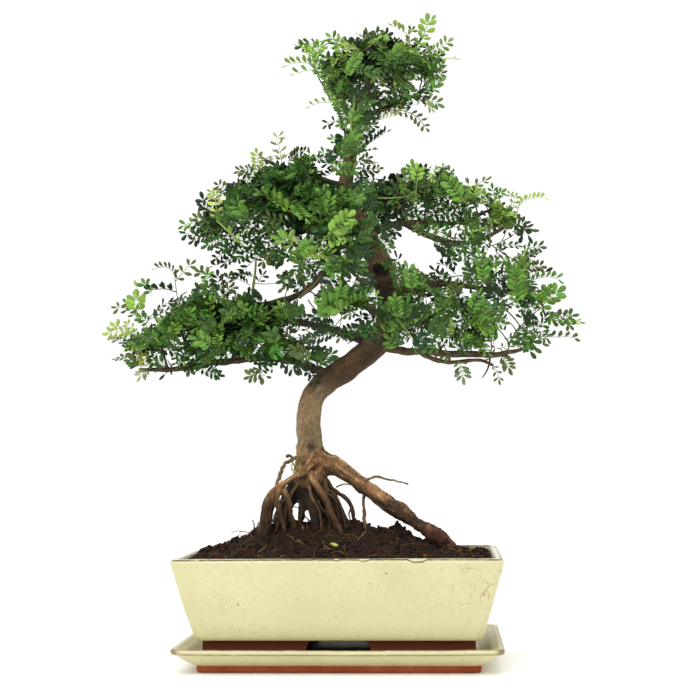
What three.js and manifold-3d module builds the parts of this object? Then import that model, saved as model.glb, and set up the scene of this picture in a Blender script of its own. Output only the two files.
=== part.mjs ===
// A small-leaved pepper tree trained as a bonsai: a trunk that stands on raised,
// exposed roots, leans to the right and climbs in an S, with a flared rectangular
// glazed pot, its glazed saucer, and everything that a potted tree holds inside.
// Millimetres, +Z up. The origin is the middle of the saucer's flat underside,
// the pot's long front side faces -Y and the tall root runs down towards +X.
import * as THREE from 'three';
import { mergeVertices } from 'three/addons/utils/BufferGeometryUtils.js';
import Module from 'manifold-3d';

// ---------------------------------------------------------------- dimensions
const GAP = 0.3;                 // clearance between neighbouring pieces
const POT_RIM_HALF_X = 165;      // outside of the rim, half of 330
const DEPTH_OFFSET = 50;         // every half depth is this much less than its half width
const POT_RIM_Z = 113.6;
const POT_BODY_Z = 31;           // underside of the pot's body, where its foot begins
const POT_FLOOR_Z = 39;          // inside floor of the pot
const SAUCER_FLOOR_Z = 10;       // inside floor of the saucer
const SAUCER_RIM_Z = 25.5;
const FOOT_Z = SAUCER_FLOOR_Z + GAP;
const CORNER_R = 7;
const DRAIN_X = 72;              // the two drain holes, left and right
const DRAIN_R = 13;
const MESH_HALF = 21;            // square mesh screen over each drain hole
const MESH_T = 1.2;
const WIRE_R = 0.8;
const GRAVEL_TOP_Z = 54;         // top of the drainage layer
const SOIL_EDGE_Z = 110;         // soil where it meets the pot's wall

// profiles, bottom to top: [z, half width in X]
const POT_OUTSIDE = [[31, 138.5], [32, 141.5], [34.5, 143.4], [48, 147.9], [63.5, 152.6], [80, 157], [106, 163.6], [112.4, 165], [113.6, 164]];
const POT_INSIDE = [[39, 133], [43, 136.5], [63.5, 143.4], [90, 150.6], [112.4, 155.4], [114.2, 157.2]];
const SAUCER_OUTSIDE = [[0, 140.6], [1.2, 141.6], [8.6, 141.6], [9.2, 143.6], [12.5, 150], [16.5, 156], [19.2, 159.4], [20.2, 162], [22.5, 163.9], [24.6, 164.2], [25.5, 163.2]];
const SAUCER_INSIDE = [[10, 139.5], [11, 142], [15.5, 149], [21, 154.2], [24.7, 157.8], [26, 159.4]];

// Limbs. Each point is [x, y, z, radius].
const TRUNK = [[-32.8, 4, 146.4, 17], [-33.7, 3, 167.5, 19], [-33.9, 1, 186.4, 18.5], [-33.9, 0, 203.3, 16.5], [-33.8, 0, 218, 14.6], [-33.7, 0, 230.7, 13.4], [-35.6, 3, 245.8, 11.9], [-35.4, 5, 261.4, 12], [-30.3, 8, 278.4, 12.6], [-17.5, 10, 293.3, 12.4], [1.7, 10, 305.9, 12], [15.8, 8, 315.7, 12], [29.8, 5, 325.5, 12], [42.8, 0, 337.7, 12], [49.4, -4, 351.1, 11.8], [50.7, -6, 364.7, 11.6], [50.4, -8, 384.6, 12], [43.7, -8, 405.9, 14], [37.5, -6, 424.3, 12.2], [30.1, -4, 438.5, 10.6], [20.5, -1, 458.2, 9.8], [9.9, 2, 480.3, 9], [4.5, 4, 497.9, 8.4], [6.6, 6, 512.2, 8], [10, 6, 530.5, 7.2], [14.6, 3, 555.7, 5.8], [18.2, 0, 585.3, 4.6], [28.2, -4, 604.7, 3.6], [34.9, -6, 628.9, 2.8], [41.5, -8, 650.9, 2]];
const ROOT_RIGHT = [[-27.9, 0, 214.8, 11], [-13, -2, 205.8, 10.8], [-3.4, -4, 201.6, 9.6], [3.6, -6, 196.3, 8.9], [12.7, -8, 189.8, 8], [22.1, -10, 182.2, 8], [31, -11, 177, 8.8], [40.9, -12, 169.1, 8.8], [53.4, -14, 160.3, 8.4], [63.2, -15, 154.6, 9.2], [74.6, -17, 145.3, 7], [90.6, -19, 134.5, 7], [101.4, -21, 127.9, 6], [111.1, -22, 122.3, 4.6], [121.3, -24, 114.2, 3.2]];
const ROOT_LEFT = [[-29.2, -10, 205.5, 6.5], [-35.2, -14, 199.8, 5], [-41.9, -17, 195.4, 3.8], [-50.9, -20, 191, 3.3], [-60.1, -22, 185.4, 3.4], [-66, -22, 180.4, 4.6], [-71.3, -21, 172.6, 6.2], [-76.2, -20, 162.2, 6.8], [-78.4, -19, 150.8, 7.2], [-80.2, -18, 138.3, 7.4], [-82, -16, 125.7, 6.5]];
const ROOT_LEFT_MID = [[-64.8, -23, 180.9, 4], [-66.7, -25, 171.7, 3.4], [-65.6, -26, 162.4, 3], [-62.6, -27, 151.1, 2.6], [-59.7, -28, 141.8, 2.3], [-58.3, -28, 133.6, 2]];
const ROOT_LEFT_INNER = [[-63, -20, 181.9, 4], [-57.9, -19, 172.5, 3.8], [-54.1, -18, 163.1, 3.8], [-52.5, -17, 152.7, 4.2], [-50, -16, 141.2, 4.4], [-49.1, -15, 130.7, 4]];
const ROOT_FRONT = [[-34.3, -12, 199.3, 5], [-27.9, -17, 185.8, 4], [-21.2, -21, 175.5, 3.5], [-16.3, -24, 167.2, 3.3], [-11.5, -27, 157, 3.1], [-5.6, -30, 146.8, 2.9], [-0.6, -33, 137.2, 2.6], [3.4, -35, 128.6, 2.2]];
const ROOT_MASS_RIGHT = [[-21.7, 0, 184.3, 8], [-16.5, 0, 170.6, 7.5], [-10.3, 0, 158, 7.5], [-6.1, 0, 145.4, 7.5], [-4.1, 0, 130.8, 6]];
const ROOT_MASS_LEFT = [[-45.5, 6, 188.5, 9], [-53.2, 8, 175.8, 9], [-60.8, 9, 162.1, 8.5], [-66.3, 10, 148.4, 8], [-68.6, 11, 132.5, 7]];
const ROOT_LEG_A = [[-42.2, 4, 183.3, 6.5], [-43.9, 3, 170.7, 4.4], [-44.5, 3, 159.1, 3.2], [-44.4, 3, 146.5, 3.2], [-44.5, 3, 131.8, 3.2]];
const ROOT_LEG_B = [[-29.7, -6, 174, 7], [-29.6, -8, 160.5, 5.6], [-28.6, -9, 149.1, 4.8], [-28.6, -10, 133.5, 4.5]];
const ROOT_ARC = [[-14.5, 2, 181.1, 3.4], [-6, 1, 175.3, 3], [2.5, 0, 170, 2.6], [7.8, -1, 163.7, 2.6], [10.7, -2, 154.9, 2.5], [11.6, -3, 144.4, 2.4], [11.9, -4, 133, 2.2]];
const ROOT_PEG = [[22.4, -8, 178, 2.2], [22.9, -9, 165.5, 1.9], [23.1, -10, 153, 1.9], [23.7, -11, 140.6, 1.9], [23.8, -11, 130.2, 1.8]];
const ROOT_THIN_LEFT = [[-44.3, -6, 212.9, 2.4], [-52.5, -8, 210.3, 2.1], [-59.2, -10, 206.7, 1.9], [-63.2, -12, 199.4, 1.8], [-65.9, -14, 191.1, 1.8], [-68.6, -17, 182.9, 2]];
const ROOT_TWIG = [[23.3, -13, 186.4, 1.6], [30.7, -15, 190.6, 1.3], [38.1, -17, 192, 1.2], [48.6, -19, 189.1, 1.1], [59, -21, 186.8, 1], [68.9, -23, 184.1, 0.9]];
const ROOT_BACK_RIGHT = [[-28.7, 8, 190.5, 11], [-23.6, 24, 177.4, 9], [-20.8, 42, 162.9, 8], [-18.9, 60, 150.3, 7], [-18, 76, 137.6, 5.5], [-16.7, 88, 127.1, 4]];
const ROOT_BACK_LEFT = [[-41.4, 8, 190.6, 11], [-51.5, 24, 178.6, 9], [-58.7, 42, 165.2, 8], [-65.8, 58, 152.8, 7], [-71.9, 74, 139, 5.5], [-76.5, 86, 128.5, 4]];
const BR_LOW_LEFT = [[-15.1, 6, 298.4, 6], [-25.4, 2, 304.7, 4.6], [-35.5, -4, 308.2, 4.2], [-46.3, -9, 313.3, 3.9], [-63.4, -14, 316.7, 3.7], [-89.1, -19, 316.7, 3.5], [-106.2, -21, 314.2, 3.4], [-123.5, -23, 312.8, 3.2], [-140.8, -25, 310.3, 3], [-157.9, -27, 307.1, 2.8], [-175.2, -28, 305.5, 2.6], [-192.6, -29, 305.4, 2.3], [-209.6, -30, 305, 2]];
const BR_LOW_RIGHT = [[40.8, -2, 332.3, 6], [51.5, -8, 326.6, 4.6], [68.4, -14, 322.3, 4], [89.4, -20, 322.3, 3.9], [113.3, -26, 318.9, 3.7], [136.8, -30, 318, 3.4], [155.6, -33, 316.6, 3], [176, -36, 319.3, 2.4], [188.1, -38, 322.2, 2]];
const BR_LOW_RIGHT_SUB = [[81, -18, 322.5, 3], [91.4, -22, 316.4, 2.6], [104.9, -27, 311.1, 2.3], [120.9, -32, 309.8, 2.1], [144.4, -38, 311.3, 1.9], [158.4, -42, 305.4, 1.5]];
const BR_UP_RIGHT = [[29, -4, 441.7, 6], [39.8, -6, 451.9, 4.2], [52.6, -8, 456.2, 3.6], [68, -10, 457.8, 3.4], [90.4, -12, 445.5, 3.2], [109.7, -14, 438.8, 2.9], [128.2, -16, 435.4, 2.5], [149.1, -18, 439.1, 2.2], [169.9, -20, 449, 1.9], [188.8, -21, 463.3, 1.6]];
const BR_UP_RIGHT_SUB = [[68, -10, 457.8, 2.8], [84.3, -9, 459.3, 2.5], [103.3, -8, 458.1, 2.3], [129.3, -7, 458.9, 2], [152.9, -6, 469.3, 1.7], [174, -5, 478.6, 1.4]];
const BR_MID_RIGHT = [[50.8, -6, 377.4, 6], [64.7, -10, 384.3, 4], [83.7, -16, 389.7, 3.5], [106.8, -22, 392, 3.1], [131.7, -27, 389, 2.8], [158.4, -30, 384.2, 2.4], [182, -32, 381.6, 2], [202.5, -33, 383.3, 1.7]];
const BR_MID_LEFT = [[39.5, -8, 403.8, 6], [22.9, -14, 408.7, 4.4], [4.2, -18, 410.6, 4], [-14.6, -20, 407, 3.8], [-27.3, -22, 393.8, 3.5], [-41.8, -23, 383.3, 3.3], [-63, -22, 376.3, 3], [-89.6, -20, 372.6, 2.8], [-118.4, -18, 372.1, 2.4], [-145.3, -16, 370.5, 2.1], [-169.9, -15, 366.7, 1.8]];
const BR_UP_LEFT = [[12, 2, 477, 5.5], [-0.4, -4, 478.4, 4], [-19.1, -10, 474.6, 3.6], [-42.2, -14, 470.1, 3.2], [-67.3, -17, 471.2, 2.8], [-92.7, -18, 476.7, 2.4], [-118, -19, 482.3, 2], [-137, -20, 484.6, 1.6]];
const BR_UP_LEFT_SUB = [[5.6, 4, 498.9, 4.6], [-11.2, 0, 505, 3.4], [-30, -5, 509.8, 2.9], [-51, -8, 515.1, 2.4], [-68.9, -10, 522.5, 2], [-82.7, -11, 530.1, 1.6]];
const BR_BACK_UP = [[26.9, -2, 446.2, 6], [17.2, 22, 460.4, 4.2], [9.4, 46, 471.6, 3.6], [1.4, 70, 480.8, 3], [-9.1, 94, 490.2, 2.4], [-17.1, 112, 497.6, 1.9]];
const BR_BACK_LOW = [[49.7, -6, 371.1, 6.5], [53.1, 20, 382, 4.8], [58.8, 48, 391.1, 4.2], [64.7, 76, 397.1, 3.6], [73.1, 102, 401.8, 2.8], [81.7, 124, 406.2, 2]];
const BR_BACK_LEFT = [[34.1, 4, 330.7, 6], [9.7, 24, 341.9, 4.6], [-19.7, 44, 352.4, 4], [-51.9, 62, 360.7, 3.5], [-86.9, 78, 366.9, 2.9], [-122, 90, 371.7, 2.2], [-149.1, 98, 374.9, 1.8]];
const BR_CROWN_LEFT = [[10.1, 6, 540.2, 4.2], [-0.3, 2, 559, 3], [-12.7, -3, 575.5, 2.5], [-27.1, -8, 589.8, 2], [-41.7, -12, 600, 1.5]];
const BR_CROWN_RIGHT = [[14.7, 3, 563.3, 4], [29.9, 0, 575.3, 2.8], [49.3, -4, 582.7, 2.4], [68.6, -8, 588.9, 2], [87.8, -11, 597.5, 1.5]];
const BR_CROWN_BACK = [[12.3, 5, 546.4, 4], [18.1, 20, 566.7, 3], [23.9, 36, 587.4, 2.4], [27.7, 50, 605.9, 1.8], [29.6, 60, 619.3, 1.4]];
const BR_FRONT = [[49.7, -8, 358.2, 5], [37.7, -24, 363.3, 3.6], [24, -40, 368.4, 3.1], [8.5, -56, 372.3, 2.6], [-6.9, -70, 375.3, 2.1], [-18.4, -80, 377.5, 1.6]];
const PADS = {
  foliage_crown_top: [[47.8, -8, 637.8, 56, 46, 38], [11.3, -4, 633.1, 48, 40, 32], [77.8, -8, 658.7, 34, 32, 26], [30.8, -4, 660.8, 36, 30, 25]],
  foliage_crown_left: [[-22.2, -16, 603, 38, 34, 26], [-40.9, -20, 615.3, 32, 26, 18], [-4.5, -12, 588.5, 30, 30, 24]],
  foliage_crown_right: [[94.2, -8, 602.4, 32, 34, 34], [77, -6, 586, 30, 30, 28]],
  foliage_crown_back: [[27.7, 54, 622.4, 58, 34, 36], [8.2, 44, 591.7, 32, 26, 24]],
  foliage_stem_tufts: [[10.2, 4, 542, 26, 28, 22]],
  foliage_upper_left_outer: [[-119.7, -22, 488.3, 44, 46, 38], [-141.3, -20, 471.9, 30, 34, 28], [-92.6, -18, 509.8, 34, 40, 32]],
  foliage_upper_left_inner: [[-40, -38, 473.9, 48, 46, 44], [-4.7, -66, 448.4, 36, 38, 34], [-62.3, -64, 480.6, 34, 36, 30], [-56.7, -26, 507.8, 36, 40, 30], [-21.9, -26, 502.9, 30, 36, 26]],
  foliage_upper_left_back: [[-68.6, 58, 495.7, 62, 40, 40], [-24.9, 66, 496.3, 40, 36, 34]],
  foliage_upper_right_inner: [[71.9, -4, 494.3, 46, 44, 26], [46.7, -14, 476.1, 26, 34, 26], [105.8, -4, 498, 36, 40, 22]],
  foliage_upper_right_outer: [[154, -10, 481.4, 36, 40, 32], [189.3, -14, 474.9, 31, 34, 26], [166, -16, 452.8, 34, 34, 24]],
  foliage_upper_back: [[-6.1, 118, 497.2, 60, 34, 36], [58.5, 92, 498.9, 46, 38, 34]],
  foliage_right_inner: [[108.8, -40, 388, 46, 44, 36], [87.9, -36, 361.7, 36, 38, 34], [130.9, -50, 353.8, 40, 42, 34]],
  foliage_right_outer: [[189.6, -28, 394.4, 46, 44, 38], [217.8, -30, 358.5, 37, 36, 28], [172.3, -34, 350.5, 36, 38, 30], [208.8, -22, 415.7, 28, 30, 20]],
  foliage_right_back: [[146.1, 66, 391.7, 60, 40, 40], [93.3, 84, 389.7, 46, 38, 36]],
  foliage_lower_left_outer: [[-202.6, -28, 342.8, 45, 44, 34], [-172.3, -26, 359.4, 40, 44, 36], [-222.3, -30, 336.6, 30, 32, 26]],
  foliage_lower_left_inner: [[-112.1, -34, 351.8, 46, 46, 42], [-80, -40, 357.2, 40, 46, 38], [-131, -34, 337.4, 38, 42, 32]],
  foliage_lower_left_root: [[-36.1, -42, 352.3, 34, 40, 40], [-21.5, -44, 329.2, 26, 30, 26]],
  foliage_lower_left_back: [[-124.5, 92, 364, 72, 38, 36], [-59.3, 70, 361.5, 46, 34, 34]],
  foliage_centre_front: [[-6.2, -80, 379.4, 44, 38, 38], [-31.8, -64, 397.7, 30, 34, 28]],
  foliage_centre_back: [[68.2, 118, 400.1, 52, 36, 38], [7.5, 70, 402.8, 50, 40, 40]],
};

// ---------------------------------------------------------------- helpers
const wasm = await Module();
wasm.setup();

function toSolid(geometry) {
  const g = geometry.clone();
  g.deleteAttribute('normal');
  g.deleteAttribute('uv');
  const m = mergeVertices(g, 1e-4);
  const index = m.index ? Uint32Array.from(m.index.array) : Uint32Array.from({ length: m.attributes.position.count }, (_, i) => i);
  // drop triangles that the merge has closed up
  const keep = [];
  for (let i = 0; i < index.length; i += 3) {
    const [a, b, c] = [index[i], index[i + 1], index[i + 2]];
    if (a !== b && b !== c && a !== c) keep.push(a, b, c);
  }
  return new wasm.Manifold(new wasm.Mesh({
    numProp: 3,
    vertProperties: Float32Array.from(m.attributes.position.array),
    triVerts: Uint32Array.from(keep),
  }));
}

function toGeometry(solid) {
  const mesh = solid.getMesh();
  const g = new THREE.BufferGeometry();
  g.setAttribute('position', new THREE.BufferAttribute(Float32Array.from(mesh.vertProperties), 3));
  g.setIndex(new THREE.BufferAttribute(Uint32Array.from(mesh.triVerts), 1));
  g.computeVertexNormals();
  return g;
}

// Largest separate body of a solid, so that a cut leaves no loose slivers.
function largest(solid) {
  const bodies = solid.decompose();
  bodies.sort((a, b) => b.volume() - a.volume());
  return bodies[0];
}

function unite(solids) {
  return solids.reduce((a, b) => a.add(b));
}

// A rounded rectangle whose outline moves in and out with height.
function flared(profile, cornerR, corners = 3) {
  const hx = profile[0][1];
  const hy = hx - DEPTH_OFFSET;
  const s = new THREE.Shape();
  s.moveTo(-hx + cornerR, -hy);
  s.lineTo(hx - cornerR, -hy);
  s.absarc(hx - cornerR, -hy + cornerR, cornerR, -Math.PI / 2, 0, false);
  s.lineTo(hx, hy - cornerR);
  s.absarc(hx - cornerR, hy - cornerR, cornerR, 0, Math.PI / 2, false);
  s.lineTo(-hx + cornerR, hy);
  s.absarc(-hx + cornerR, hy - cornerR, cornerR, Math.PI / 2, Math.PI, false);
  s.lineTo(-hx, -hy + cornerR);
  s.absarc(-hx + cornerR, -hy + cornerR, cornerR, Math.PI, 1.5 * Math.PI, false);
  const steps = profile.length - 1;
  const g = new THREE.ExtrudeGeometry(s, { depth: steps, steps, bevelEnabled: false, curveSegments: corners });
  const p = g.attributes.position;
  for (let i = 0; i < p.count; i++) {
    const [z, half] = profile[Math.round(p.getZ(i))];
    const out = half - hx;
    p.setXYZ(i, p.getX(i) + Math.sign(p.getX(i)) * out, p.getY(i) + Math.sign(p.getY(i)) * out, z);
  }
  return toSolid(g);
}

// A limb: a closed round bar swept along a smooth line, thick and thin as stated.
function limb(path, sides = 8, steps = path.length * 2, grow = 0, lumpy = 0) {
  const points = path.map(([x, y, z]) => new THREE.Vector3(x, y, z));
  const curve = new THREE.CatmullRomCurve3(points, false, 'centripetal');
  const radii = path.map((q) => q[3]);
  const radiusAt = (t) => {
    const f = t * (radii.length - 1);
    const i = Math.min(Math.floor(f), radii.length - 2);
    const k = f - i;
    const w = k * k * (3 - 2 * k);
    return radii[i] * (1 - w) + radii[i + 1] * w;
  };
  const frames = [];
  let normal = null;
  for (let i = 0; i <= steps; i++) {
    const t = i / steps;
    const tangent = curve.getTangent(t).normalize();
    if (!normal) normal = new THREE.Vector3(0, 1, 0);
    normal = normal.clone().addScaledVector(tangent, -normal.dot(tangent)).normalize();
    frames.push({ centre: curve.getPoint(t), tangent, normal, side: new THREE.Vector3().crossVectors(tangent, normal), r: radiusAt(t) + grow, t });
  }
  if (grow) {
    frames[0].centre.addScaledVector(frames[0].tangent, -grow);
    frames[steps].centre.addScaledVector(frames[steps].tangent, grow);
  }
  const g = new THREE.CylinderGeometry(1, 1, steps, sides, steps, false);
  const p = g.attributes.position;
  for (let i = 0; i < p.count; i++) {
    const [x, y, z] = [p.getX(i), p.getY(i), p.getZ(i)];
    const f = frames[Math.round(steps / 2 - y)];
    const a = Math.atan2(z, x);
    const r = f.r * (1 + lumpy * Math.sin(3 * a + 9 * f.t) + 0.6 * lumpy * Math.sin(2 * a - 14 * f.t));
    const v = f.centre.clone().addScaledVector(f.normal, x * r).addScaledVector(f.side, z * r);
    p.setXYZ(i, v.x, v.y, v.z);
  }
  return toSolid(g);
}

// A leafy pad: one closed uneven ball, pushed out from the pad's middle to the
// furthest of its lumps, each [x, y, z, half x, half y, half z].
function pad(lumps, grow = 0) {
  const weight = lumps.reduce((s, q) => s + q[3] * q[4] * q[5], 0);
  const centre = new THREE.Vector3();
  for (const q of lumps) centre.addScaledVector(new THREE.Vector3(q[0], q[1], q[2]), (q[3] * q[4] * q[5]) / weight);
  const g = new THREE.IcosahedronGeometry(1, 2);
  const p = g.attributes.position;
  for (let i = 0; i < p.count; i++) {
    const d = new THREE.Vector3().fromBufferAttribute(p, i).normalize();
    let reach = 0;
    for (const [x, y, z, rx, ry, rz] of lumps) {
      const o = new THREE.Vector3((centre.x - x) / (rx + grow), (centre.y - y) / (ry + grow), (centre.z - z) / (rz + grow));
      const k = new THREE.Vector3(d.x / (rx + grow), d.y / (ry + grow), d.z / (rz + grow));
      const [a, b, c] = [k.dot(k), o.dot(k), o.dot(o) - 1];
      const under = b * b - a * c;
      if (under > 0) reach = Math.max(reach, (-b + Math.sqrt(under)) / a);
    }
    p.setXYZ(i, centre.x + d.x * reach, centre.y + d.y * reach, centre.z + d.z * reach);
  }
  return toSolid(g);
}

function box(x0, x1, y0, y1, z0, z1) {
  const g = new THREE.BoxGeometry(x1 - x0, y1 - y0, z1 - z0);
  g.translate((x0 + x1) / 2, (y0 + y1) / 2, (z0 + z1) / 2);
  return toSolid(g);
}

function drum(x, y, z0, z1, r, sides = 24) {
  const g = new THREE.CylinderGeometry(r, r, z1 - z0, sides);
  g.rotateX(Math.PI / 2);
  g.translate(x, y, (z0 + z1) / 2);
  return toSolid(g);
}

// ---------------------------------------------------------------- materials
const look = (color, roughness, metalness = 0) => new THREE.MeshStandardMaterial({ color, roughness, metalness });
const glaze = look(0xe9e3bd, 0.22);
const bark = look(0x9b8363, 0.8);
const twigBark = look(0x7d6a4c, 0.8);
const leaf = look(0x4f9a3a, 0.55);
const earth = look(0x33231b, 0.95);
const grit = look(0x8a8072, 0.9);
const blackPlastic = look(0x202220, 0.6);
const wire = look(0xb4b6b8, 0.4, 0.9);
const oldLeaf = look(0xb9c24a, 0.6);

const tree = new THREE.Group();
function place(name, solid, material) {
  const mesh = new THREE.Mesh(toGeometry(solid), material);
  mesh.name = name;
  tree.add(mesh);
}

// ---------------------------------------------------------------- saucer
// A shallow tray on a stepped, unglazed base, with an outward lip.
const saucer = flared(SAUCER_OUTSIDE, CORNER_R + 1).subtract(flared(SAUCER_INSIDE, CORNER_R - 1, 2));
place('saucer', saucer, glaze);

// ---------------------------------------------------------------- pot
// Flared walls, a floor with two drain holes, and a foot all the way round that
// is hollow underneath and has an arched way out in the middle of every side.
function arch(halfLow, halfHigh, alongX) {
  const top = POT_BODY_Z - 0.6;
  const s = new THREE.Shape();
  s.moveTo(-halfLow, FOOT_Z - 2);
  s.lineTo(halfLow, FOOT_Z - 2);
  s.lineTo(halfLow, FOOT_Z + 10);
  s.quadraticCurveTo(halfLow - 1, top, halfHigh, top);
  s.lineTo(-halfHigh, top);
  s.quadraticCurveTo(-halfLow + 1, top, -halfLow, FOOT_Z + 10);
  s.closePath();
  const g = new THREE.ExtrudeGeometry(s, { depth: 400, bevelEnabled: false, curveSegments: 4 });
  g.rotateX(Math.PI / 2);
  g.translate(0, 200, 0);
  if (!alongX) return toSolid(g);
  g.rotateZ(Math.PI / 2);
  return toSolid(g);
}
const foot = flared([[FOOT_Z, 135.6], [FOOT_Z + 1.2, 136.6], [POT_BODY_Z + 0.5, 136.6]], CORNER_R)
  .subtract(flared([[FOOT_Z - 1, 123], [POT_BODY_Z - 0.6, 123]], CORNER_R - 3, 2))
  .subtract(arch(32.3, 25, false))
  .subtract(arch(24, 18, true));
let pot = flared(POT_OUTSIDE, CORNER_R).subtract(flared(POT_INSIDE, CORNER_R - 2, 2)).add(foot);
for (const side of [-1, 1]) pot = pot.subtract(drum(side * DRAIN_X, 0, POT_BODY_Z - 2, POT_FLOOR_Z + 2, DRAIN_R, 20));
place('pot', pot, glaze);

// ---------------------------------------------------------------- drain screens
// A plastic mesh square over each hole, pinned by a wire that goes down through
// the mesh and is bent outwards under the pot's floor.
const MESH_Z = POT_FLOOR_Z + GAP;
function screen(x0) {
  let s = box(x0 - MESH_HALF, x0 + MESH_HALF, -MESH_HALF, MESH_HALF, MESH_Z, MESH_Z + MESH_T);
  for (const i of [-14, -7, 0, 7, 14]) {
    for (const j of [-12, 0, 12]) {
      s = s.subtract(box(x0 + i - 2.4, x0 + i + 2.4, j - 4.6, j + 4.6, MESH_Z - 1, MESH_Z + MESH_T + 1));
    }
  }
  return s;
}
function staple(x0, grow = 0) {
  const top = MESH_Z + MESH_T + GAP + WIRE_R;
  const under = POT_BODY_Z - 0.6 - GAP - WIRE_R;
  return limb([
    [x0 - 22, 0, under, WIRE_R], [x0 - 15, 0, under, WIRE_R], [x0 - 8.6, 0, under, WIRE_R], [x0 - 7.1, 0, under + 1.4, WIRE_R], [x0 - 7, 0, MESH_Z, WIRE_R],
    [x0 - 6.9, 0, top - 1.3, WIRE_R], [x0 - 5.2, 0, top, WIRE_R], [x0 + 5.2, 0, top, WIRE_R], [x0 + 6.9, 0, top - 1.3, WIRE_R],
    [x0 + 7, 0, MESH_Z, WIRE_R], [x0 + 7.1, 0, under + 1.4, WIRE_R], [x0 + 8.6, 0, under, WIRE_R], [x0 + 15, 0, under, WIRE_R], [x0 + 22, 0, under, WIRE_R],
  ], 5, 20, grow);
}
place('drain_mesh_left', screen(-DRAIN_X), blackPlastic);
place('drain_mesh_right', screen(DRAIN_X), blackPlastic);
place('mesh_wire_left', staple(-DRAIN_X), wire);
place('mesh_wire_right', staple(DRAIN_X), wire);

// ---------------------------------------------------------------- trunk with roots
const ROOTS = [ROOT_RIGHT, ROOT_LEFT, ROOT_LEFT_MID, ROOT_LEFT_INNER, ROOT_FRONT, ROOT_MASS_RIGHT, ROOT_MASS_LEFT,
  ROOT_LEG_A, ROOT_LEG_B, ROOT_ARC, ROOT_PEG, ROOT_THIN_LEFT, ROOT_TWIG, ROOT_BACK_RIGHT, ROOT_BACK_LEFT];
function trunkSolid(grow = 0) {
  const parts = [limb(TRUNK, 10, 36, grow, 0.03)];
  for (const r of ROOTS) parts.push(limb(r, r[0][3] > 9 ? 8 : r[0][3] > 3.9 ? 6 : 5, Math.max(r.length - 1, 5), grow));
  // the round scar of a sawn-off limb, standing proud of the bend
  parts.push(limb([[40, -12, 409, 8.5 + grow], [37.4, -19.5, 411.5, 8 + grow], [36.8, -21.4, 412, 6.6 + grow]], 10, 3));
  return unite(parts);
}
const trunk = trunkSolid();
const trunkRoom = trunkSolid(GAP + 0.08);
place('trunk_with_roots', trunk, bark);

// ---------------------------------------------------------------- soil and gravel
function fill(z0, z1, inset) {
  const at = (z) => {
    for (let i = 1; i < POT_INSIDE.length; i++) {
      const [za, a] = POT_INSIDE[i - 1];
      const [zb, b] = POT_INSIDE[i];
      if (z <= zb) return a + ((b - a) * (z - za)) / (zb - za);
    }
    return POT_INSIDE[POT_INSIDE.length - 1][1];
  };
  const levels = [z0, ...POT_INSIDE.map((q) => q[0]).filter((z) => z > z0 + 0.5 && z < z1 - 0.5), z1];
  return flared(levels.map((z) => [z, at(z) - inset]), CORNER_R - 2, 2);
}
let gravel = fill(POT_FLOOR_Z + GAP, GRAVEL_TOP_Z, GAP + 0.1);
for (const side of [-1, 1]) {
  const x = side * DRAIN_X;
  gravel = gravel.subtract(box(x - MESH_HALF - GAP, x + MESH_HALF + GAP, -MESH_HALF - GAP, MESH_HALF + GAP, POT_FLOOR_Z - 1, MESH_Z + MESH_T + GAP));
  gravel = gravel.subtract(box(x - 8.6, x + 8.6, -WIRE_R - GAP, WIRE_R + GAP, POT_FLOOR_Z - 1, MESH_Z + MESH_T + 2 * GAP + 2 * WIRE_R + 0.2));
}
place('drainage_gravel', gravel, grit);

// The soil's crest under the roots: [x, height of the ridge].
const RIDGE = [[-156, 110], [-150, 114], [-133, 119], [-118, 124], [-106, 129], [-94, 133.5], [-86, 137], [-70, 141], [-50, 143], [-20, 143.6], [5, 144.6], [15, 144], [24, 141.5], [32, 136], [40, 136.5], [52, 137], [62, 133], [72, 129], [84, 124.5], [98, 120], [115, 116.5], [135, 113.5], [156, 110]];
function soilHeight(x, y) {
  let h = RIDGE[0][1];
  for (let i = 1; i < RIDGE.length; i++) {
    const [xa, a] = RIDGE[i - 1];
    const [xb, b] = RIDGE[i];
    if (x >= xa && x <= xb) h = a + ((b - a) * (x - xa)) / (xb - xa);
  }
  if (x > 156) h = 110;
  const spread = 46 + 0.12 * (60 - Math.abs(x + 20));
  const across = Math.exp(-((y - 8) * (y - 8)) / (2 * spread * spread));
  const edge = Math.min(1, (108 - Math.abs(y)) / 26);
  const rough = 0.8 * Math.sin(0.21 * x + 0.13 * y) + 0.7 * Math.sin(0.17 * y - 0.09 * x + 2);
  return SOIL_EDGE_Z + (h - SOIL_EDGE_Z) * across * edge + rough * Math.max(0, edge);
}
function mound() {
  const [nx, ny] = [24, 14];
  const [hx, hy] = [154.4, 104.4];
  const g = new THREE.BoxGeometry(2 * hx, 2 * hy, 2, nx, ny, 1);
  const p = g.attributes.position;
  for (let i = 0; i < p.count; i++) {
    if (p.getZ(i) > 0) p.setZ(i, soilHeight(p.getX(i), p.getY(i)));
    else p.setZ(i, 90);
  }
  return toSolid(g);
}
const soil = fill(GRAVEL_TOP_Z + GAP, 150, GAP + 0.1).intersect(
  mound().add(box(-154.4, 154.4, -104.4, 104.4, 40, 90.5)),
).subtract(trunkRoom);
place('soil', largest(soil), earth);

// ---------------------------------------------------------------- fallen leaflet
// One yellowing leaflet lying on the soil in front of the roots.
{
  const s = new THREE.Shape();
  s.moveTo(-6, 0);
  s.quadraticCurveTo(-2, -4.6, 6.5, 0);
  s.quadraticCurveTo(-2, 4.6, -6, 0);
  const g = new THREE.ExtrudeGeometry(s, { depth: 0.8, bevelEnabled: false, curveSegments: 5 });
  g.rotateX(0.5);
  g.rotateZ(0.6);
  g.translate(-3.5, -66, 0);
  const lift = soilHeight(-3.5, -66) + 3.2;
  g.translate(0, 0, lift);
  place('fallen_leaflet', toSolid(g).subtract(mound().add(box(-154, 154, -104, 104, 40, 90.5)).translate([0, 0, GAP])), oldLeaf);
}

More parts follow.
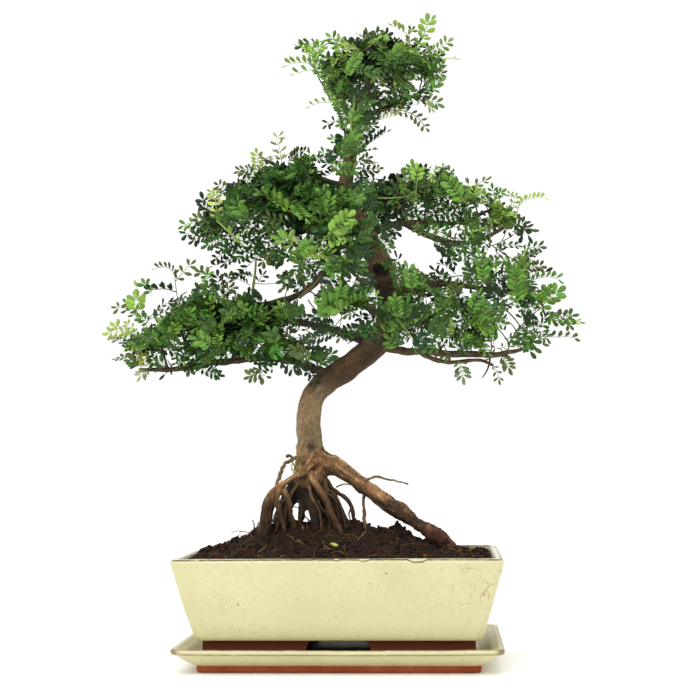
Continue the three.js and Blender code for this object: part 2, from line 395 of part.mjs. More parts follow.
// ---------------------------------------------------------------- branches
const BRANCHES = {
  branch_low_left: [BR_LOW_LEFT],
  branch_low_right: [BR_LOW_RIGHT, BR_LOW_RIGHT_SUB],
  branch_mid_right: [BR_MID_RIGHT],
  branch_mid_left: [BR_MID_LEFT],
  branch_upper_right: [BR_UP_RIGHT, BR_UP_RIGHT_SUB],
  branch_upper_left: [BR_UP_LEFT],
  branch_upper_left_top: [BR_UP_LEFT_SUB],
  branch_front: [BR_FRONT],
  branch_back_left: [BR_BACK_LEFT],
  branch_back_low: [BR_BACK_LOW],
  branch_back_upper: [BR_BACK_UP],
  branch_crown_left: [BR_CROWN_LEFT],
  branch_crown_right: [BR_CROWN_RIGHT],
  branch_crown_back: [BR_CROWN_BACK],
};
const rooms = [trunkRoom];
let taken = trunkRoom;
for (const [name, paths] of Object.entries(BRANCHES)) {
  const solid = largest(unite(paths.map((q) => limb(q, 5, q.length))).subtract(taken));
  place(name, solid, twigBark);
  const room = unite(paths.map((q) => limb(q, 5, q.length, GAP + 0.1)));
  rooms.push(room);
  taken = taken.add(room);
}

// ---------------------------------------------------------------- foliage
for (const [name, lumps] of Object.entries(PADS)) {
  const solid = largest(pad(lumps).subtract(taken));
  place(name, solid, leaf);
  taken = taken.add(pad(lumps, GAP + 0.4));
}

export default tree;
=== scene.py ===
# A small-leaved pepper tree trained as a bonsai, in its cream-glazed pot on a saucer.
# Lengths below are millimetres in the CAD frame; meshes are made in metres.
import bpy, bmesh, math
import numpy as np
from mathutils import Vector, Matrix
from mathutils.kdtree import KDTree


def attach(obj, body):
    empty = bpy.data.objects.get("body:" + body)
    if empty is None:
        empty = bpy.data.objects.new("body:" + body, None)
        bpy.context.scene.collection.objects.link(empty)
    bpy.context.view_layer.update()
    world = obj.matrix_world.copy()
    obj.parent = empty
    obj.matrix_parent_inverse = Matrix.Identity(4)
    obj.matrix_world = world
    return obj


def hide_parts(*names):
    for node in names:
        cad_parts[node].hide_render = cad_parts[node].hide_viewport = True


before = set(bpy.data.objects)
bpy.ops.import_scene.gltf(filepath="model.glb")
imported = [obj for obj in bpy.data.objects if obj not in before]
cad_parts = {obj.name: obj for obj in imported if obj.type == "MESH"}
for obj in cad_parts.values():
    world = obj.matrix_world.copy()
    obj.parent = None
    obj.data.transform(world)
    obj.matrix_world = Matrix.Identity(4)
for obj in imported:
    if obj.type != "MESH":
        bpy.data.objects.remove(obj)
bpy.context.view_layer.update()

MM = 0.001


# ------------------------------------------------------------------ camera
CAM = dict(pos=(107.868, -1667.517, 222.043), yaw=0.0593, pitch=0.0618, roll=-0.0072, f=1582.09)


def camera_axes():
    c, s = math.cos(CAM["yaw"]), math.sin(CAM["yaw"])
    fwd, right, up = np.array([-s, c, 0.0]), np.array([c, s, 0.0]), np.array([0, 0, 1.0])
    cp, sp = math.cos(CAM["pitch"]), math.sin(CAM["pitch"])
    f2, u2 = fwd * cp + up * sp, up * cp - fwd * sp
    cr, sr = math.cos(CAM["roll"]), math.sin(CAM["roll"])
    return right * cr + u2 * sr, u2 * cr - right * sr, f2


CR, CU, CF = camera_axes()
CPOS = np.array(CAM["pos"])


def at(u, v, y):
    """The point at depth y that the camera sees at (u, v) of its 700 x 700 view."""
    d = CF + CR * (u - 350) / CAM["f"] + CU * (350 - v) / CAM["f"]
    return CPOS + d * (y - CPOS[1]) / d[1]


def project(p):
    """Where the front view sees points, in its 700 x 700 frame."""
    d_ = np.atleast_2d(p) - CPOS
    w_ = d_ @ CF
    return np.column_stack([350 + CAM["f"] * (d_ @ CR) / w_, 350 - CAM["f"] * (d_ @ CU) / w_])


cam_data = bpy.data.cameras.new("camera")
cam = bpy.data.objects.new("camera", cam_data)
bpy.context.scene.collection.objects.link(cam)
cam_data.sensor_width = 36.0
cam_data.lens = CAM["f"] * 36.0 / 700.0
cam_data.clip_start, cam_data.clip_end = 0.05, 30.0
m = Matrix.Identity(4)
for row in range(3):
    m[row][0], m[row][1], m[row][2], m[row][3] = CR[row], CU[row], -CF[row], CPOS[row] * MM
cam.matrix_world = m
bpy.context.scene.camera = cam


# ------------------------------------------------------------------ numbers and noise
def rng(seed):
    return np.random.default_rng(seed)


def value_noise(p, seed=0):
    """Smooth noise in -1..1 at points p (N, 3), one cell per unit."""
    i = np.floor(p).astype(np.int64)
    f = p - i
    u = f * f * f * (f * (f * 6 - 15) + 10)
    out = np.zeros(len(p))
    for dx in (0, 1):
        wx = u[:, 0] if dx else 1 - u[:, 0]
        for dy in (0, 1):
            wy = u[:, 1] if dy else 1 - u[:, 1]
            for dz in (0, 1):
                wz = u[:, 2] if dz else 1 - u[:, 2]
                n = ((i[:, 0] + dx) * 73856093) ^ ((i[:, 1] + dy) * 19349663) ^ ((i[:, 2] + dz) * 83492791) ^ (seed * 97531357)
                n &= 0xFFFFFFFF
                n = ((n ^ (n >> 13)) * 1274126177) & 0xFFFFFFFF
                n = ((n ^ (n >> 15)) * 668265263) & 0xFFFFFFFF
                out += wx * wy * wz * ((((n >> 8) & 0xFFFF) / 32767.5) - 1)
    return out


def fbm(p, octaves=4, seed=0, gain=0.5):
    total, amp, k = np.zeros(len(p)), 1.0, 0.0
    q = np.array(p, float)
    for o in range(octaves):
        total += amp * value_noise(q, seed + o * 17)
        k += amp
        amp *= gain
        q = q * 2.03 + 11.7
    return total / k


def unit(v):
    v = np.asarray(v, float)
    return v / (np.linalg.norm(v, axis=-1, keepdims=True) + 1e-12)


def smooth(a, b, x):
    t = np.clip((x - a) / (b - a), 0, 1)
    return t * t * (3 - 2 * t)


def lin(r, g, b):
    """sRGB 0..255 to linear."""
    c = np.array([r, g, b], float) / 255
    return np.where(c <= 0.04045, c / 12.92, ((c + 0.055) / 1.055) ** 2.4)


# ------------------------------------------------------------------ mesh building
def mesh_object(name, verts, faces, materials=(), face_mat=None, smooth_faces=True, colours=None, extra=None):
    """verts (N, 3) in mm; faces an (M, 3) or (M, 4) array, or a list of index lists."""
    me = bpy.data.meshes.new(name)
    verts = np.asarray(verts, float) * MM
    if isinstance(faces, np.ndarray):
        n, k = faces.shape
        me.vertices.add(len(verts))
        me.vertices.foreach_set("co", verts.astype(np.float32).ravel())
        me.loops.add(n * k)
        me.loops.foreach_set("vertex_index", faces.astype(np.int32).ravel())
        me.polygons.add(n)
        me.polygons.foreach_set("loop_start", np.arange(0, n * k, k, dtype=np.int32))
        me.update(calc_edges=True)
    else:
        me.from_pydata(verts.tolist(), [], [list(map(int, f)) for f in faces])
        me.update()
    for mt in materials:
        me.materials.append(mt)
    if face_mat is not None:
        me.polygons.foreach_set("material_index", np.asarray(face_mat, np.int32))
    me.polygons.foreach_set("use_smooth", np.full(len(me.polygons), bool(smooth_faces)))
    if colours is not None:
        a = me.color_attributes.new("tint", "FLOAT_COLOR", "POINT")
        a.data.foreach_set("color", np.column_stack([colours, np.ones(len(colours))]).astype(np.float32).ravel())
    for key, values in (extra or {}).items():
        a = me.attributes.new(key, "FLOAT", "POINT")
        a.data.foreach_set("value", np.asarray(values, np.float32))
    me.validate()
    ob = bpy.data.objects.new(name, me)
    bpy.context.scene.collection.objects.link(ob)
    return ob


class Soup:
    """Collects many small closed pieces into one mesh."""

    def __init__(self):
        self.v, self.f, self.c, self.m, self.n = [], [], [], [], 0

    def add(self, verts, faces, colour=(1, 1, 1), mat=0):
        faces = np.asarray(faces)
        if faces.shape[1] == 4:
            faces = np.vstack([faces[:, [0, 1, 2]], faces[:, [0, 2, 3]]])
        colour = np.asarray(colour, float)
        if colour.ndim == 1:
            colour = np.repeat(colour[None], len(verts), 0)
        self.v.append(verts)
        self.f.append(faces + self.n)
        self.c.append(colour)
        self.m.append(np.full(len(faces), mat))
        self.n += len(verts)

    def object(self, name, materials, smooth_faces=True):
        return mesh_object(name, np.vstack(self.v), np.vstack(self.f), materials, np.concatenate(self.m), smooth_faces, np.vstack(self.c))

    def tris(self):
        return sum(len(f) for f in self.f)


def catmull(points, per=6):
    """Centripetal Catmull-Rom through points (N, k): the first three columns are the place, the rest follow."""
    p = np.asarray(points, float)
    if len(p) == 2:
        t = np.linspace(0, 1, per + 1)[:, None]
        return p[0] * (1 - t) + p[1] * t
    ext = np.vstack([2 * p[0] - p[1], p, 2 * p[-1] - p[-2]])
    out = []
    for i in range(1, len(ext) - 2):
        a, b, c, d = ext[i - 1], ext[i], ext[i + 1], ext[i + 2]
        k = [0.0]
        for s, e in ((a, b), (b, c), (c, d)):
            k.append(k[-1] + max(np.linalg.norm(e[:3] - s[:3]), 1e-6) ** 0.5)
        for t in np.linspace(k[1], k[2], per, endpoint=False):
            A1 = a + (b - a) * (t - k[0]) / (k[1] - k[0])
            A2 = b + (c - b) * (t - k[1]) / (k[2] - k[1])
            A3 = c + (d - c) * (t - k[2]) / (k[3] - k[2])
            B1 = A1 + (A2 - A1) * (t - k[0]) / (k[2] - k[0])
            B2 = A2 + (A3 - A2) * (t - k[1]) / (k[3] - k[1])
            q = B1 + (B2 - B1) * (t - k[1]) / (k[2] - k[1])
            w = (t - k[1]) / (k[2] - k[1])
            q[3:] = b[3:] * (1 - w) + c[3:] * w
            out.append(q)
    out.append(p[-1].copy())
    return np.array(out)


def frames(path):
    """Tangents and a pair of side directions that don't twist, along path (N, 3)."""
    t = np.gradient(path, axis=0)
    t = unit(t)
    n = np.cross(t[0], [0.31, 0.87, 0.38])
    n = unit(n)
    ns = [n]
    for i in range(1, len(path)):
        n = ns[-1] - t[i] * (ns[-1] @ t[i])
        ns.append(unit(n))
    ns = np.array(ns)
    return t, ns, np.cross(t, ns)


def tube(path, radii, sides=8, flat=1.0, lumps=0.0, seed=0, point_end=False):
    """A closed bar along path with round ends; flat under 1 thins it one way."""
    path, radii = np.asarray(path, float), np.asarray(radii, float)
    t, n, b = frames(path)
    a = np.linspace(0, 2 * np.pi, sides, endpoint=False)
    ring_n, ring_b = np.cos(a), np.sin(a) * flat
    r = radii[:, None] * np.ones(sides)
    if lumps:
        q = path[:, None, :] / (3.0 * radii.mean() + 1.0) + np.stack([np.cos(a), np.sin(a), a * 0], 1)[None]
        r = r * (1 + lumps * value_noise(q.reshape(-1, 3), seed).reshape(len(path), sides))
    v = path[:, None, :] + n[:, None, :] * (r * ring_n)[..., None] + b[:, None, :] * (r * ring_b)[..., None]
    v = v.reshape(-1, 3)
    k = len(path)
    i, j = np.meshgrid(np.arange(k - 1), np.arange(sides), indexing="ij")
    jn = (j + 1) % sides
    quads = np.stack([i * sides + j, i * sides + jn, (i + 1) * sides + jn, (i + 1) * sides + j], -1).reshape(-1, 4)
    tri = np.vstack([quads[:, [0, 1, 2]], quads[:, [0, 2, 3]]])
    start, end = len(v), len(v) + 1
    v = np.vstack([v, path[0] - t[0] * radii[0] * 0.5, path[-1] + t[-1] * radii[-1] * (1.6 if point_end else 0.6)])
    jj = np.arange(sides)
    jn = (jj + 1) % sides
    last = (k - 1) * sides
    caps = np.vstack([np.stack([np.full(sides, start), jn, jj], 1), np.stack([np.full(sides, end), last + jj, last + jn], 1)])
    return v, np.vstack([tri, caps])


def finish_piece(ob, node):
    for name in ([node] if isinstance(node, str) else node):
        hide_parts(name)
    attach(ob, "root")
    return ob


# ------------------------------------------------------------------ materials
class Nodes:
    """A short way to wire a material."""

    def __init__(self, name):
        self.mat = bpy.data.materials.new(name)
        self.mat.use_nodes = True
        self.t = self.mat.node_tree
        self.bsdf = self.t.nodes["Principled BSDF"]

    def new(self, kind, **props):
        n = self.t.nodes.new(kind)
        for k, v in props.items():
            setattr(n, k, v)
        return n

    def link(self, a, b):
        self.t.links.new(a, b)

    def set(self, **sockets):
        for k, v in sockets.items():
            self.bsdf.inputs[k.replace("_", " ")].default_value = v

    def coords(self):
        return self.new("ShaderNodeTexCoord").outputs["Object"]

    def scaled(self, vec, scale):
        n = self.new("ShaderNodeMapping")
        n.inputs["Scale"].default_value = scale if isinstance(scale, (tuple, list)) else (scale,) * 3
        self.link(vec, n.inputs["Vector"])
        return n.outputs["Vector"]

    def noise(self, vec, scale, detail=4.0, rough=0.5, distortion=0.0):
        n = self.new("ShaderNodeTexNoise")
        n.inputs["Scale"].default_value = scale
        n.inputs["Detail"].default_value = detail
        n.inputs["Roughness"].default_value = rough
        n.inputs["Distortion"].default_value = distortion
        self.link(vec, n.inputs["Vector"])
        return n.outputs["Fac"]

    def voronoi(self, vec, scale, feature="F1", randomness=1.0):
        n = self.new("ShaderNodeTexVoronoi", feature=feature)
        n.inputs["Scale"].default_value = scale
        n.inputs["Randomness"].default_value = randomness
        self.link(vec, n.inputs["Vector"])
        return n.outputs["Distance"]

    def voronoi_edge(self, vec, scale, warp):
        wn = self.new("ShaderNodeTexNoise")
        wn.inputs["Scale"].default_value = scale * 1.3
        wn.inputs["Detail"].default_value = 2
        self.link(vec, wn.inputs["Vector"])
        sc = self.new("ShaderNodeVectorMath", operation="SCALE")
        sc.inputs["Scale"].default_value = warp
        self.link(wn.outputs["Color"], sc.inputs[0])
        add = self.new("ShaderNodeVectorMath", operation="ADD")
        self.link(vec, add.inputs[0])
        self.link(sc.outputs[0], add.inputs[1])
        n = self.new("ShaderNodeTexVoronoi", feature="DISTANCE_TO_EDGE")
        n.inputs["Scale"].default_value = scale
        self.link(add.outputs[0], n.inputs["Vector"])
        return n.outputs["Distance"]

    def ramp(self, fac, stops, interpolation="LINEAR"):
        n = self.new("ShaderNodeValToRGB")
        n.color_ramp.interpolation = interpolation
        e = n.color_ramp.elements
        while len(e) < len(stops):
            e.new(0.5)
        for el, (pos, col) in zip(e, stops):
            el.position = pos
            c = (col,) * 3 if np.isscalar(col) else tuple(col)
            el.color = (*c, 1)
        self.link(fac, n.inputs["Fac"])
        return n.outputs["Color"]

    def math(self, op, a, b=None, clamp=False):
        n = self.new("ShaderNodeMath", operation=op, use_clamp=clamp)
        for sock, val in zip(n.inputs, (a, b)):
            if val is None:
                continue
            if hasattr(val, "links"):
                self.link(val, sock)
            else:
                sock.default_value = val
        return n.outputs[0]

    def mix(self, fac, a, b, blend="MIX"):
        n = self.new("ShaderNodeMix", data_type="RGBA", blend_type=blend)
        for sock, val in ((n.inputs[0], fac), (n.inputs[6], a), (n.inputs[7], b)):
            if hasattr(val, "links"):
                self.link(val, sock)
            elif np.isscalar(val):
                sock.default_value = val
            else:
                sock.default_value = (*val, 1)
        return n.outputs[2]

    def attribute(self, name):
        return self.new("ShaderNodeAttribute", attribute_name=name)

    def colour(self, sock):
        self.link(sock, self.bsdf.inputs["Base Color"])

    def rough(self, sock):
        self.link(sock, self.bsdf.inputs["Roughness"])

    def bump(self, height, strength, distance, normal=None):
        n = self.new("ShaderNodeBump")
        n.inputs["Strength"].default_value = strength
        n.inputs["Distance"].default_value = distance
        self.link(height, n.inputs["Height"])
        if normal is not None:
            self.link(normal, n.inputs["Normal"])
        self.link(n.outputs["Normal"], self.bsdf.inputs["Normal"])
        return n.outputs["Normal"]

    def axis(self, vec, which):
        n = self.new("ShaderNodeSeparateXYZ")
        self.link(vec, n.inputs[0])
        return n.outputs[which]


def glaze_material(name, low_z, line=None, painted=False):
    """Cream stoneware glaze: smooth, with iron specks, a few hairlines, and a brown break where it runs thin over the lip.
    line gives the height of that break on the pot; painted reads it from the mesh, as the saucer's lip isn't level."""
    k = Nodes(name)
    p = k.coords()
    base = k.ramp(k.noise(p, 16, 3, 0.5), [(0.25, lin(196, 191, 148)), (0.5, lin(203, 198, 154)), (0.78, lin(207, 203, 160))])
    base = k.mix(0.22, base, k.ramp(k.noise(p, 230, 3, 0.6), [(0.3, lin(214, 206, 176)), (0.7, lin(246, 244, 232))]), "MULTIPLY")
    # lighter and warmer towards the foot: painted light that lifts the shade where the wall slopes in and faces down
    z = k.axis(p, "Z")
    x = k.axis(p, "X")
    low = k.math("SUBTRACT", 1.0, k.math("DIVIDE", k.math("SUBTRACT", z, low_z), 0.03), True)
    base = k.mix(k.math("MULTIPLY", low, 0.45), base, tuple(lin(218, 209, 166)))
    # short hairlines, mostly towards the right end, stained by years of watering
    hair = k.math("LESS_THAN", k.voronoi_edge(p, 52, 0.022), 0.020)
    right = 0.0 if painted else k.ramp(k.math("DIVIDE", k.math("ADD", x, 0.17), 0.34), [(0.0, 0.25), (0.72, 0.1), (0.86, 0.4), (0.95, 1.0)])
    patch = k.ramp(k.noise(p, 27, 3, 0.6), [(0.47, 0.0), (0.55, 1.0)])
    base = k.mix(k.math("MULTIPLY", k.math("MULTIPLY", hair, patch), k.math("MULTIPLY", right, 0.8)), base, tuple(lin(160, 128, 88)))
    # iron specks, small and sparse, a few of them dark
    for scale, cut, amount, tone in ((300, 0.14, 0.6, (132, 106, 66)), (150, 0.085, 0.9, (84, 66, 38)), (58, 0.05, 1.0, (52, 40, 22))):
        dots = k.math("LESS_THAN", k.voronoi(p, scale), cut)
        some = k.ramp(k.noise(p, 37, 2, 0.5), [(0.47, 0.0), (0.53, amount)])
        base = k.mix(k.math("MULTIPLY", dots, some), base, tuple(lin(*tone)))
    # where the glaze breaks over the lip it is thin and brown
    edge_tone = k.ramp(k.noise(p, 130, 4, 0.6), [(0.3, lin(64, 50, 30)), (0.5, lin(104, 84, 54)), (0.75, lin(150, 130, 92))])
    broken = k.ramp(k.noise(p, 95, 4, 0.65), [(0.30, 0.35), (0.42, 1.0)])
    if painted:
        fac = k.math("MULTIPLY", k.attribute("tint").outputs["Color"], broken, True)
        # painted shade: the saucer's floor under the pot, inside the foot ring, darkened nearly black
        y = k.axis(p, "Y")
        inx = k.math("LESS_THAN", k.math("ABSOLUTE", x), 0.1352)
        iny = k.math("LESS_THAN", k.math("ABSOLUTE", y), 0.0852)
        flat = k.math("MULTIPLY", k.math("GREATER_THAN", z, 0.009), k.math("LESS_THAN", z, 0.0125))
        under_pot_shade = k.math("MULTIPLY", k.math("MULTIPLY", inx, iny), flat)
        base = k.mix(k.math("MULTIPLY", under_pot_shade, k.ramp(k.noise(p, 45, 5, 0.65), [(0.3, 0.86), (0.7, 1.0)])), base, k.ramp(k.noise(p, 120, 5, 0.7), [(0.3, lin(22, 16, 11)), (0.7, lin(52, 40, 28))]))
    else:
        # the break dips in a few places where the glaze ran down
        run = k.ramp(k.math("DIVIDE", k.math("ADD", x, 0.17), 0.34), [(0.0, 0.1), (0.30, 0.0), (0.492, 0.0), (0.502, 0.3), (0.512, 0.0), (0.565, 0.0), (0.574, 0.34), (0.588, 0.28), (0.60, 0.0), (0.706, 0.0), (0.722, 0.55), (0.75, 0.45), (0.765, 0.0), (1.0, 0.1)])
        wob = k.math("MULTIPLY", k.math("SUBTRACT", k.noise(p, 85, 4, 0.6), 0.5), 0.0012)
        zz = k.math("ADD", k.math("ADD", z, wob), k.math("MULTIPLY", run, 0.0042))
        off = k.math("ABSOLUTE", k.math("SUBTRACT", zz, line[0]))
        fac = k.math("MULTIPLY", k.math("SUBTRACT", 1.0, k.math("DIVIDE", off, line[1]), True), 1.9, True)
        fac = k.math("MULTIPLY", fac, broken)
    base = k.mix(fac, base, edge_tone)
    k.colour(base)
    sheen = k.ramp(k.noise(p, 40, 4, 0.6), [(0.3, 0.34 if painted else 0.22), (0.75, 0.4)])
    if painted:
        dull = k.math("MULTIPLY", under_pot_shade, k.ramp(k.math("DIVIDE", k.math("ADD", y, 0.09), 0.18), [(0.55, 1.0), (0.74, 0.45)]))
        sheen = k.mix(dull, sheen, (0.95, 0.95, 0.95))
        k.link(k.math("SUBTRACT", 0.5, k.math("MULTIPLY", dull, 0.48)), k.bsdf.inputs["Specular IOR Level"])
    else:
        k.bsdf.inputs["Coat Weight"].default_value = 0.12
        k.bsdf.inputs["Coat Roughness"].default_value = 0.12
    k.rough(sheen)
    k.set(IOR=1.5)
    k.bump(k.noise(p, 95, 3 if painted else 5, 0.55), 0.04 if painted else 0.3, 0.0007)
    return k.mat


def terracotta_material(name):
    """Bare red clay, with lime bloom and pores; painted shade makes it nearly brown where the pot overhangs it."""
    k = Nodes(name)
    p = k.coords()
    base = k.ramp(k.noise(p, 30, 5, 0.6), [(0.25, lin(132, 56, 29)), (0.5, lin(152, 74, 41)), (0.8, lin(168, 92, 56))])
    dust = k.ramp(k.noise(p, 160, 4, 0.7), [(0.55, 0.0), (0.8, 0.4)])
    base = k.mix(dust, base, tuple(lin(170, 112, 78)))
    pores = k.math("LESS_THAN", k.voronoi(p, 520), 0.16)
    base = k.mix(k.math("MULTIPLY", pores, 0.5), base, tuple(lin(74, 30, 18)))
    z = k.axis(p, "Z")
    # painted shade: the foot and underside up under the pot's overhang are darkened nearly to brown
    edge = k.math("MULTIPLY", k.math("SUBTRACT", k.noise(p, 60, 3, 0.6), 0.5), 0.006)
    overhang_shade = k.math("DIVIDE", k.math("SUBTRACT", k.math("ADD", z, edge), 0.0095), 0.015, True)
    base = k.mix(k.math("MULTIPLY", overhang_shade, 0.86), base, tuple(lin(62, 24, 12)))
    k.colour(base)
    k.set(Roughness=0.88)
    k.bsdf.inputs["Specular IOR Level"].default_value = 0.25
    k.bump(k.noise(p, 620, 4, 0.65), 0.35, 0.0005)
    return k.mat


def bark_material(name, along=0.0):
    """Reads the tint painted on the mesh and breaks it up with fine grain, cracks and pores."""
    k = Nodes(name)
    p = k.coords()
    tint = k.attribute("tint").outputs["Color"]
    grain = k.noise(k.scaled(p, (1, 1, 0.5)), 460, 6, 0.72)
    base = k.mix(0.8, tint, k.ramp(grain, [(0.34, 0.35), (0.5, 0.92), (0.66, 1.5)]), "MULTIPLY")
    blot = k.noise(p, 70, 4, 0.6)
    base = k.mix(0.4, base, k.ramp(blot, [(0.3, lin(190, 160, 120)), (0.55, lin(255, 250, 240)), (0.8, lin(255, 255, 255))]), "MULTIPLY")
    pits = k.math("LESS_THAN", k.voronoi(k.scaled(p, (1, 1, 0.6)), 560), 0.17)
    base = k.mix(k.math("MULTIPLY", pits, 0.55), base, tuple(lin(62, 46, 32)))
    k.colour(base)
    k.rough(k.ramp(blot, [(0.3, 0.95), (0.7, 0.72)]))
    k.bsdf.inputs["Specular IOR Level"].default_value = 0.3
    n1 = k.bump(grain, 0.8, 0.0011)
    b2 = k.new("ShaderNodeBump")
    b2.inputs["Strength"].default_value = 0.4
    b2.inputs["Distance"].default_value = 0.0016
    k.link(k.noise(k.scaled(p, (1, 1, 0.55)), 150, 4, 0.6), b2.inputs["Height"])
    k.link(n1, b2.inputs["Normal"])
    k.link(b2.outputs["Normal"], k.bsdf.inputs["Normal"])
    return k.mat


def leaf_material(name):
    k = Nodes(name)
    p = k.coords()
    tint = k.attribute("tint").outputs["Color"]
    mott = k.noise(p, 480, 3, 0.6)
    base = k.mix(0.5, tint, k.ramp(mott, [(0.3, 0.72), (0.55, 1.0), (0.8, 1.22)]), "MULTIPLY")
    k.colour(base)
    k.rough(k.ramp(k.noise(p, 900, 2, 0.5), [(0.3, 0.42), (0.7, 0.6)]))
    k.bsdf.inputs["Specular IOR Level"].default_value = 0.22
    k.bump(mott, 0.25, 0.0004)
    return k.mat


def soil_material(name):
    k = Nodes(name)
    p = k.coords()
    tint = k.attribute("tint").outputs["Color"]
    base = k.mix(0.75, tint, k.ramp(k.noise(p, 520, 5, 0.7), [(0.28, 0.35), (0.5, 0.9), (0.74, 1.7)]), "MULTIPLY")
    k.colour(base)
    k.set(Roughness=0.96)
    k.bsdf.inputs["Specular IOR Level"].default_value = 0.2
    k.bump(k.noise(p, 900, 5, 0.7), 0.7, 0.0012)
    return k.mat


GLAZE = glaze_material("cream_glaze", 0.034, line=(0.1127, 0.0010))
SAUCER_GLAZE = glaze_material("cream_glaze_saucer", 0.009, painted=True)
TERRACOTTA = terracotta_material("terracotta")
BARK = bark_material("bark")
TWIG = bark_material("twig_bark")
LEAF = leaf_material("leaf")
SOIL = soil_material("soil")


# ------------------------------------------------------------------ pot and saucer
def ring(hx, hy, r, nx=76, ny=50, nc=7):
    sides = [((-hx + r, -hy), (hx - r, -hy), nx), ((hx, -hy + r), (hx, hy - r), ny), ((hx - r, hy), (-hx + r, hy), nx), ((-hx, hy - r), (-hx, -hy + r), ny)]
    corners = [(hx - r, -hy + r, -math.pi / 2), (hx - r, hy - r, 0), (-hx + r, hy - r, math.pi / 2), (-hx + r, -hy + r, math.pi)]
    out = []
    for (a, b, n), (cx, cy, a0) in zip(sides, corners):
        t = (np.arange(n) / n)[:, None]
        out.append(np.array(a) * (1 - t) + np.array(b) * t)
        ang = a0 + np.arange(nc) / nc * math.pi / 2
        out.append(np.stack([cx + r * np.cos(ang), cy + r * np.sin(ang)], 1))
    return np.vstack(out)


def loft(levels, **kw):
    """levels: (z, half x, half y, corner radius) from the middle of the underside round to the middle of the inside."""
    rings = [np.column_stack([ring(hx, hy, r, **kw), np.full(len(ring(hx, hy, r, **kw)), z)]) for z, hx, hy, r in levels]
    k = len(rings[0])
    v = np.vstack(rings + [[[0, 0, levels[0][0]]], [[0, 0, levels[-1][0]]]])
    i, j = np.meshgrid(np.arange(len(levels) - 1), np.arange(k), indexing="ij")
    jn = (j + 1) % k
    quads = np.stack([i * k + j, i * k + jn, (i + 1) * k + jn, (i + 1) * k + j], -1).reshape(-1, 4)
    tri = np.vstack([quads[:, [0, 1, 2]], quads[:, [0, 2, 3]]])
    jj = np.arange(k)
    jn = (jj + 1) % k
    a, b, last = len(levels) * k, len(levels) * k + 1, (len(levels) - 1) * k
    return v, np.vstack([tri, np.stack([np.full(k, a), jn, jj], 1), np.stack([np.full(k, b), last + jj, last + jn], 1)])


def between(points, step):
    """Adds points so that no two neighbours of a profile are further apart than step."""
    out = [points[0]]
    for a, b in zip(points, points[1:]):
        n = max(1, int(math.ceil(math.hypot(b[0] - a[0], b[1] - a[1]) / step)))
        out += [tuple(a[q] + (b[q] - a[q]) * t / n for q in range(len(a))) for t in range(1, n + 1)]
    return out


def sharp_by_angle(ob, degrees):
    bm = bmesh.new()
    bm.from_mesh(ob.data)
    lim = math.radians(degrees)
    for e in bm.edges:
        e.smooth = not (len(e.link_faces) != 2 or e.calc_face_angle(0.0) > lim)
    bm.to_mesh(ob.data)
    bm.free()


def boolean(ob, cutters, op="DIFFERENCE"):
    for c in cutters:
        md = ob.modifiers.new("cut", "BOOLEAN")
        md.operation, md.solver, md.object = op, "EXACT", c
    bpy.context.view_layer.update()
    me = bpy.data.meshes.new_from_object(ob.evaluated_get(bpy.context.evaluated_depsgraph_get()))
    me.name = ob.data.name + "_cut"
    ob.modifiers.clear()
    ob.data = me
    for c in cutters:
        bpy.data.objects.remove(c)
    return ob


def joined(name, objects):
    """One mesh object out of several that share a list of materials."""
    bm = bmesh.new()
    for o in objects:
        bm.from_mesh(o.data)
    me = bpy.data.meshes.new(name)
    bm.to_mesh(me)
    bm.free()
    for mt in objects[0].data.materials:
        me.materials.append(mt)
    for o in objects:
        bpy.data.objects.remove(o)
    ob = bpy.data.objects.new(name, me)
    bpy.context.scene.collection.objects.link(ob)
    return ob


POT_OUT = [(31, 138.5), (31.6, 140.6), (32.6, 142), (34.5, 143.4), (48, 147.9), (63.5, 152.6), (80, 157), (106, 163.6), (108.8, 164.3), (110.1, 164.7)]
POT_LIP = [(110.7, 164.6), (111.3, 164.2), (112.2, 163.1), (113.0, 161.6), (113.55, 160), (113.6, 158.4), (113.3, 157.2), (112.6, 156.2), (111.4, 155.5)]
POT_IN = [(109, 154.9), (90, 150.6), (63.5, 143.4), (43, 136.5), (40.5, 134.8), (39, 132)]
pot_levels = [(31, 60, 20, 3), (31, 120, 70, 5)]
pot_levels += [(z, h, h - 50, 7.0) for z, h in between(POT_OUT, 4.0)]
pot_levels += [(z, h, h - 50, 7.0 - 1.6 * i / len(POT_LIP)) for i, (z, h) in enumerate(POT_LIP)]
pot_levels += [(z, h, h - 50, 5.2) for z, h in between(POT_IN, 6.0)]
pot_levels += [(39, 110, 60, 4), (39, 60, 20, 3)]
pv, pf = loft(pot_levels)


def hand_made(v, amount, seed, rim_z):
    """The faint unevenness of a pressed and fired clay wall."""
    q = v / 62.0
    out = unit(np.column_stack([v[:, 0], v[:, 1] * 1.4, np.zeros(len(v))]))
    d = amount * fbm(q, 3, seed)
    v = v + out * d[:, None]
    near = smooth(rim_z - 14, rim_z, v[:, 2])
    v[:, 2] += near * 0.45 * fbm(np.column_stack([v[:, 0] / 34, v[:, 1] / 34, np.full(len(v), 3.3)]), 3, seed + 5)
    return v


pv = hand_made(pv, 0.55, 3, 113.6)


def unglazed_below(v, f, z_limit):
    """1 for the faces that lie under the glaze line, which was wiped clean before firing."""
    return (v[f].mean(1)[:, 2] < z_limit).astype(int)


pot_body = mesh_object("pot_body", pv, pf, [GLAZE, TERRACOTTA], unglazed_below(pv, pf, 31.5))
fv_levels = [(31.3, 136.4), (26, 136.6), (20, 136.6), (14, 136.5), (11.2, 136.4), (10.5, 135.9), (10.3, 135.0), (10.3, 130), (10.3, 124.6), (10.6, 123.6), (11.4, 123), (20, 122.9), (31.3, 122.8)]


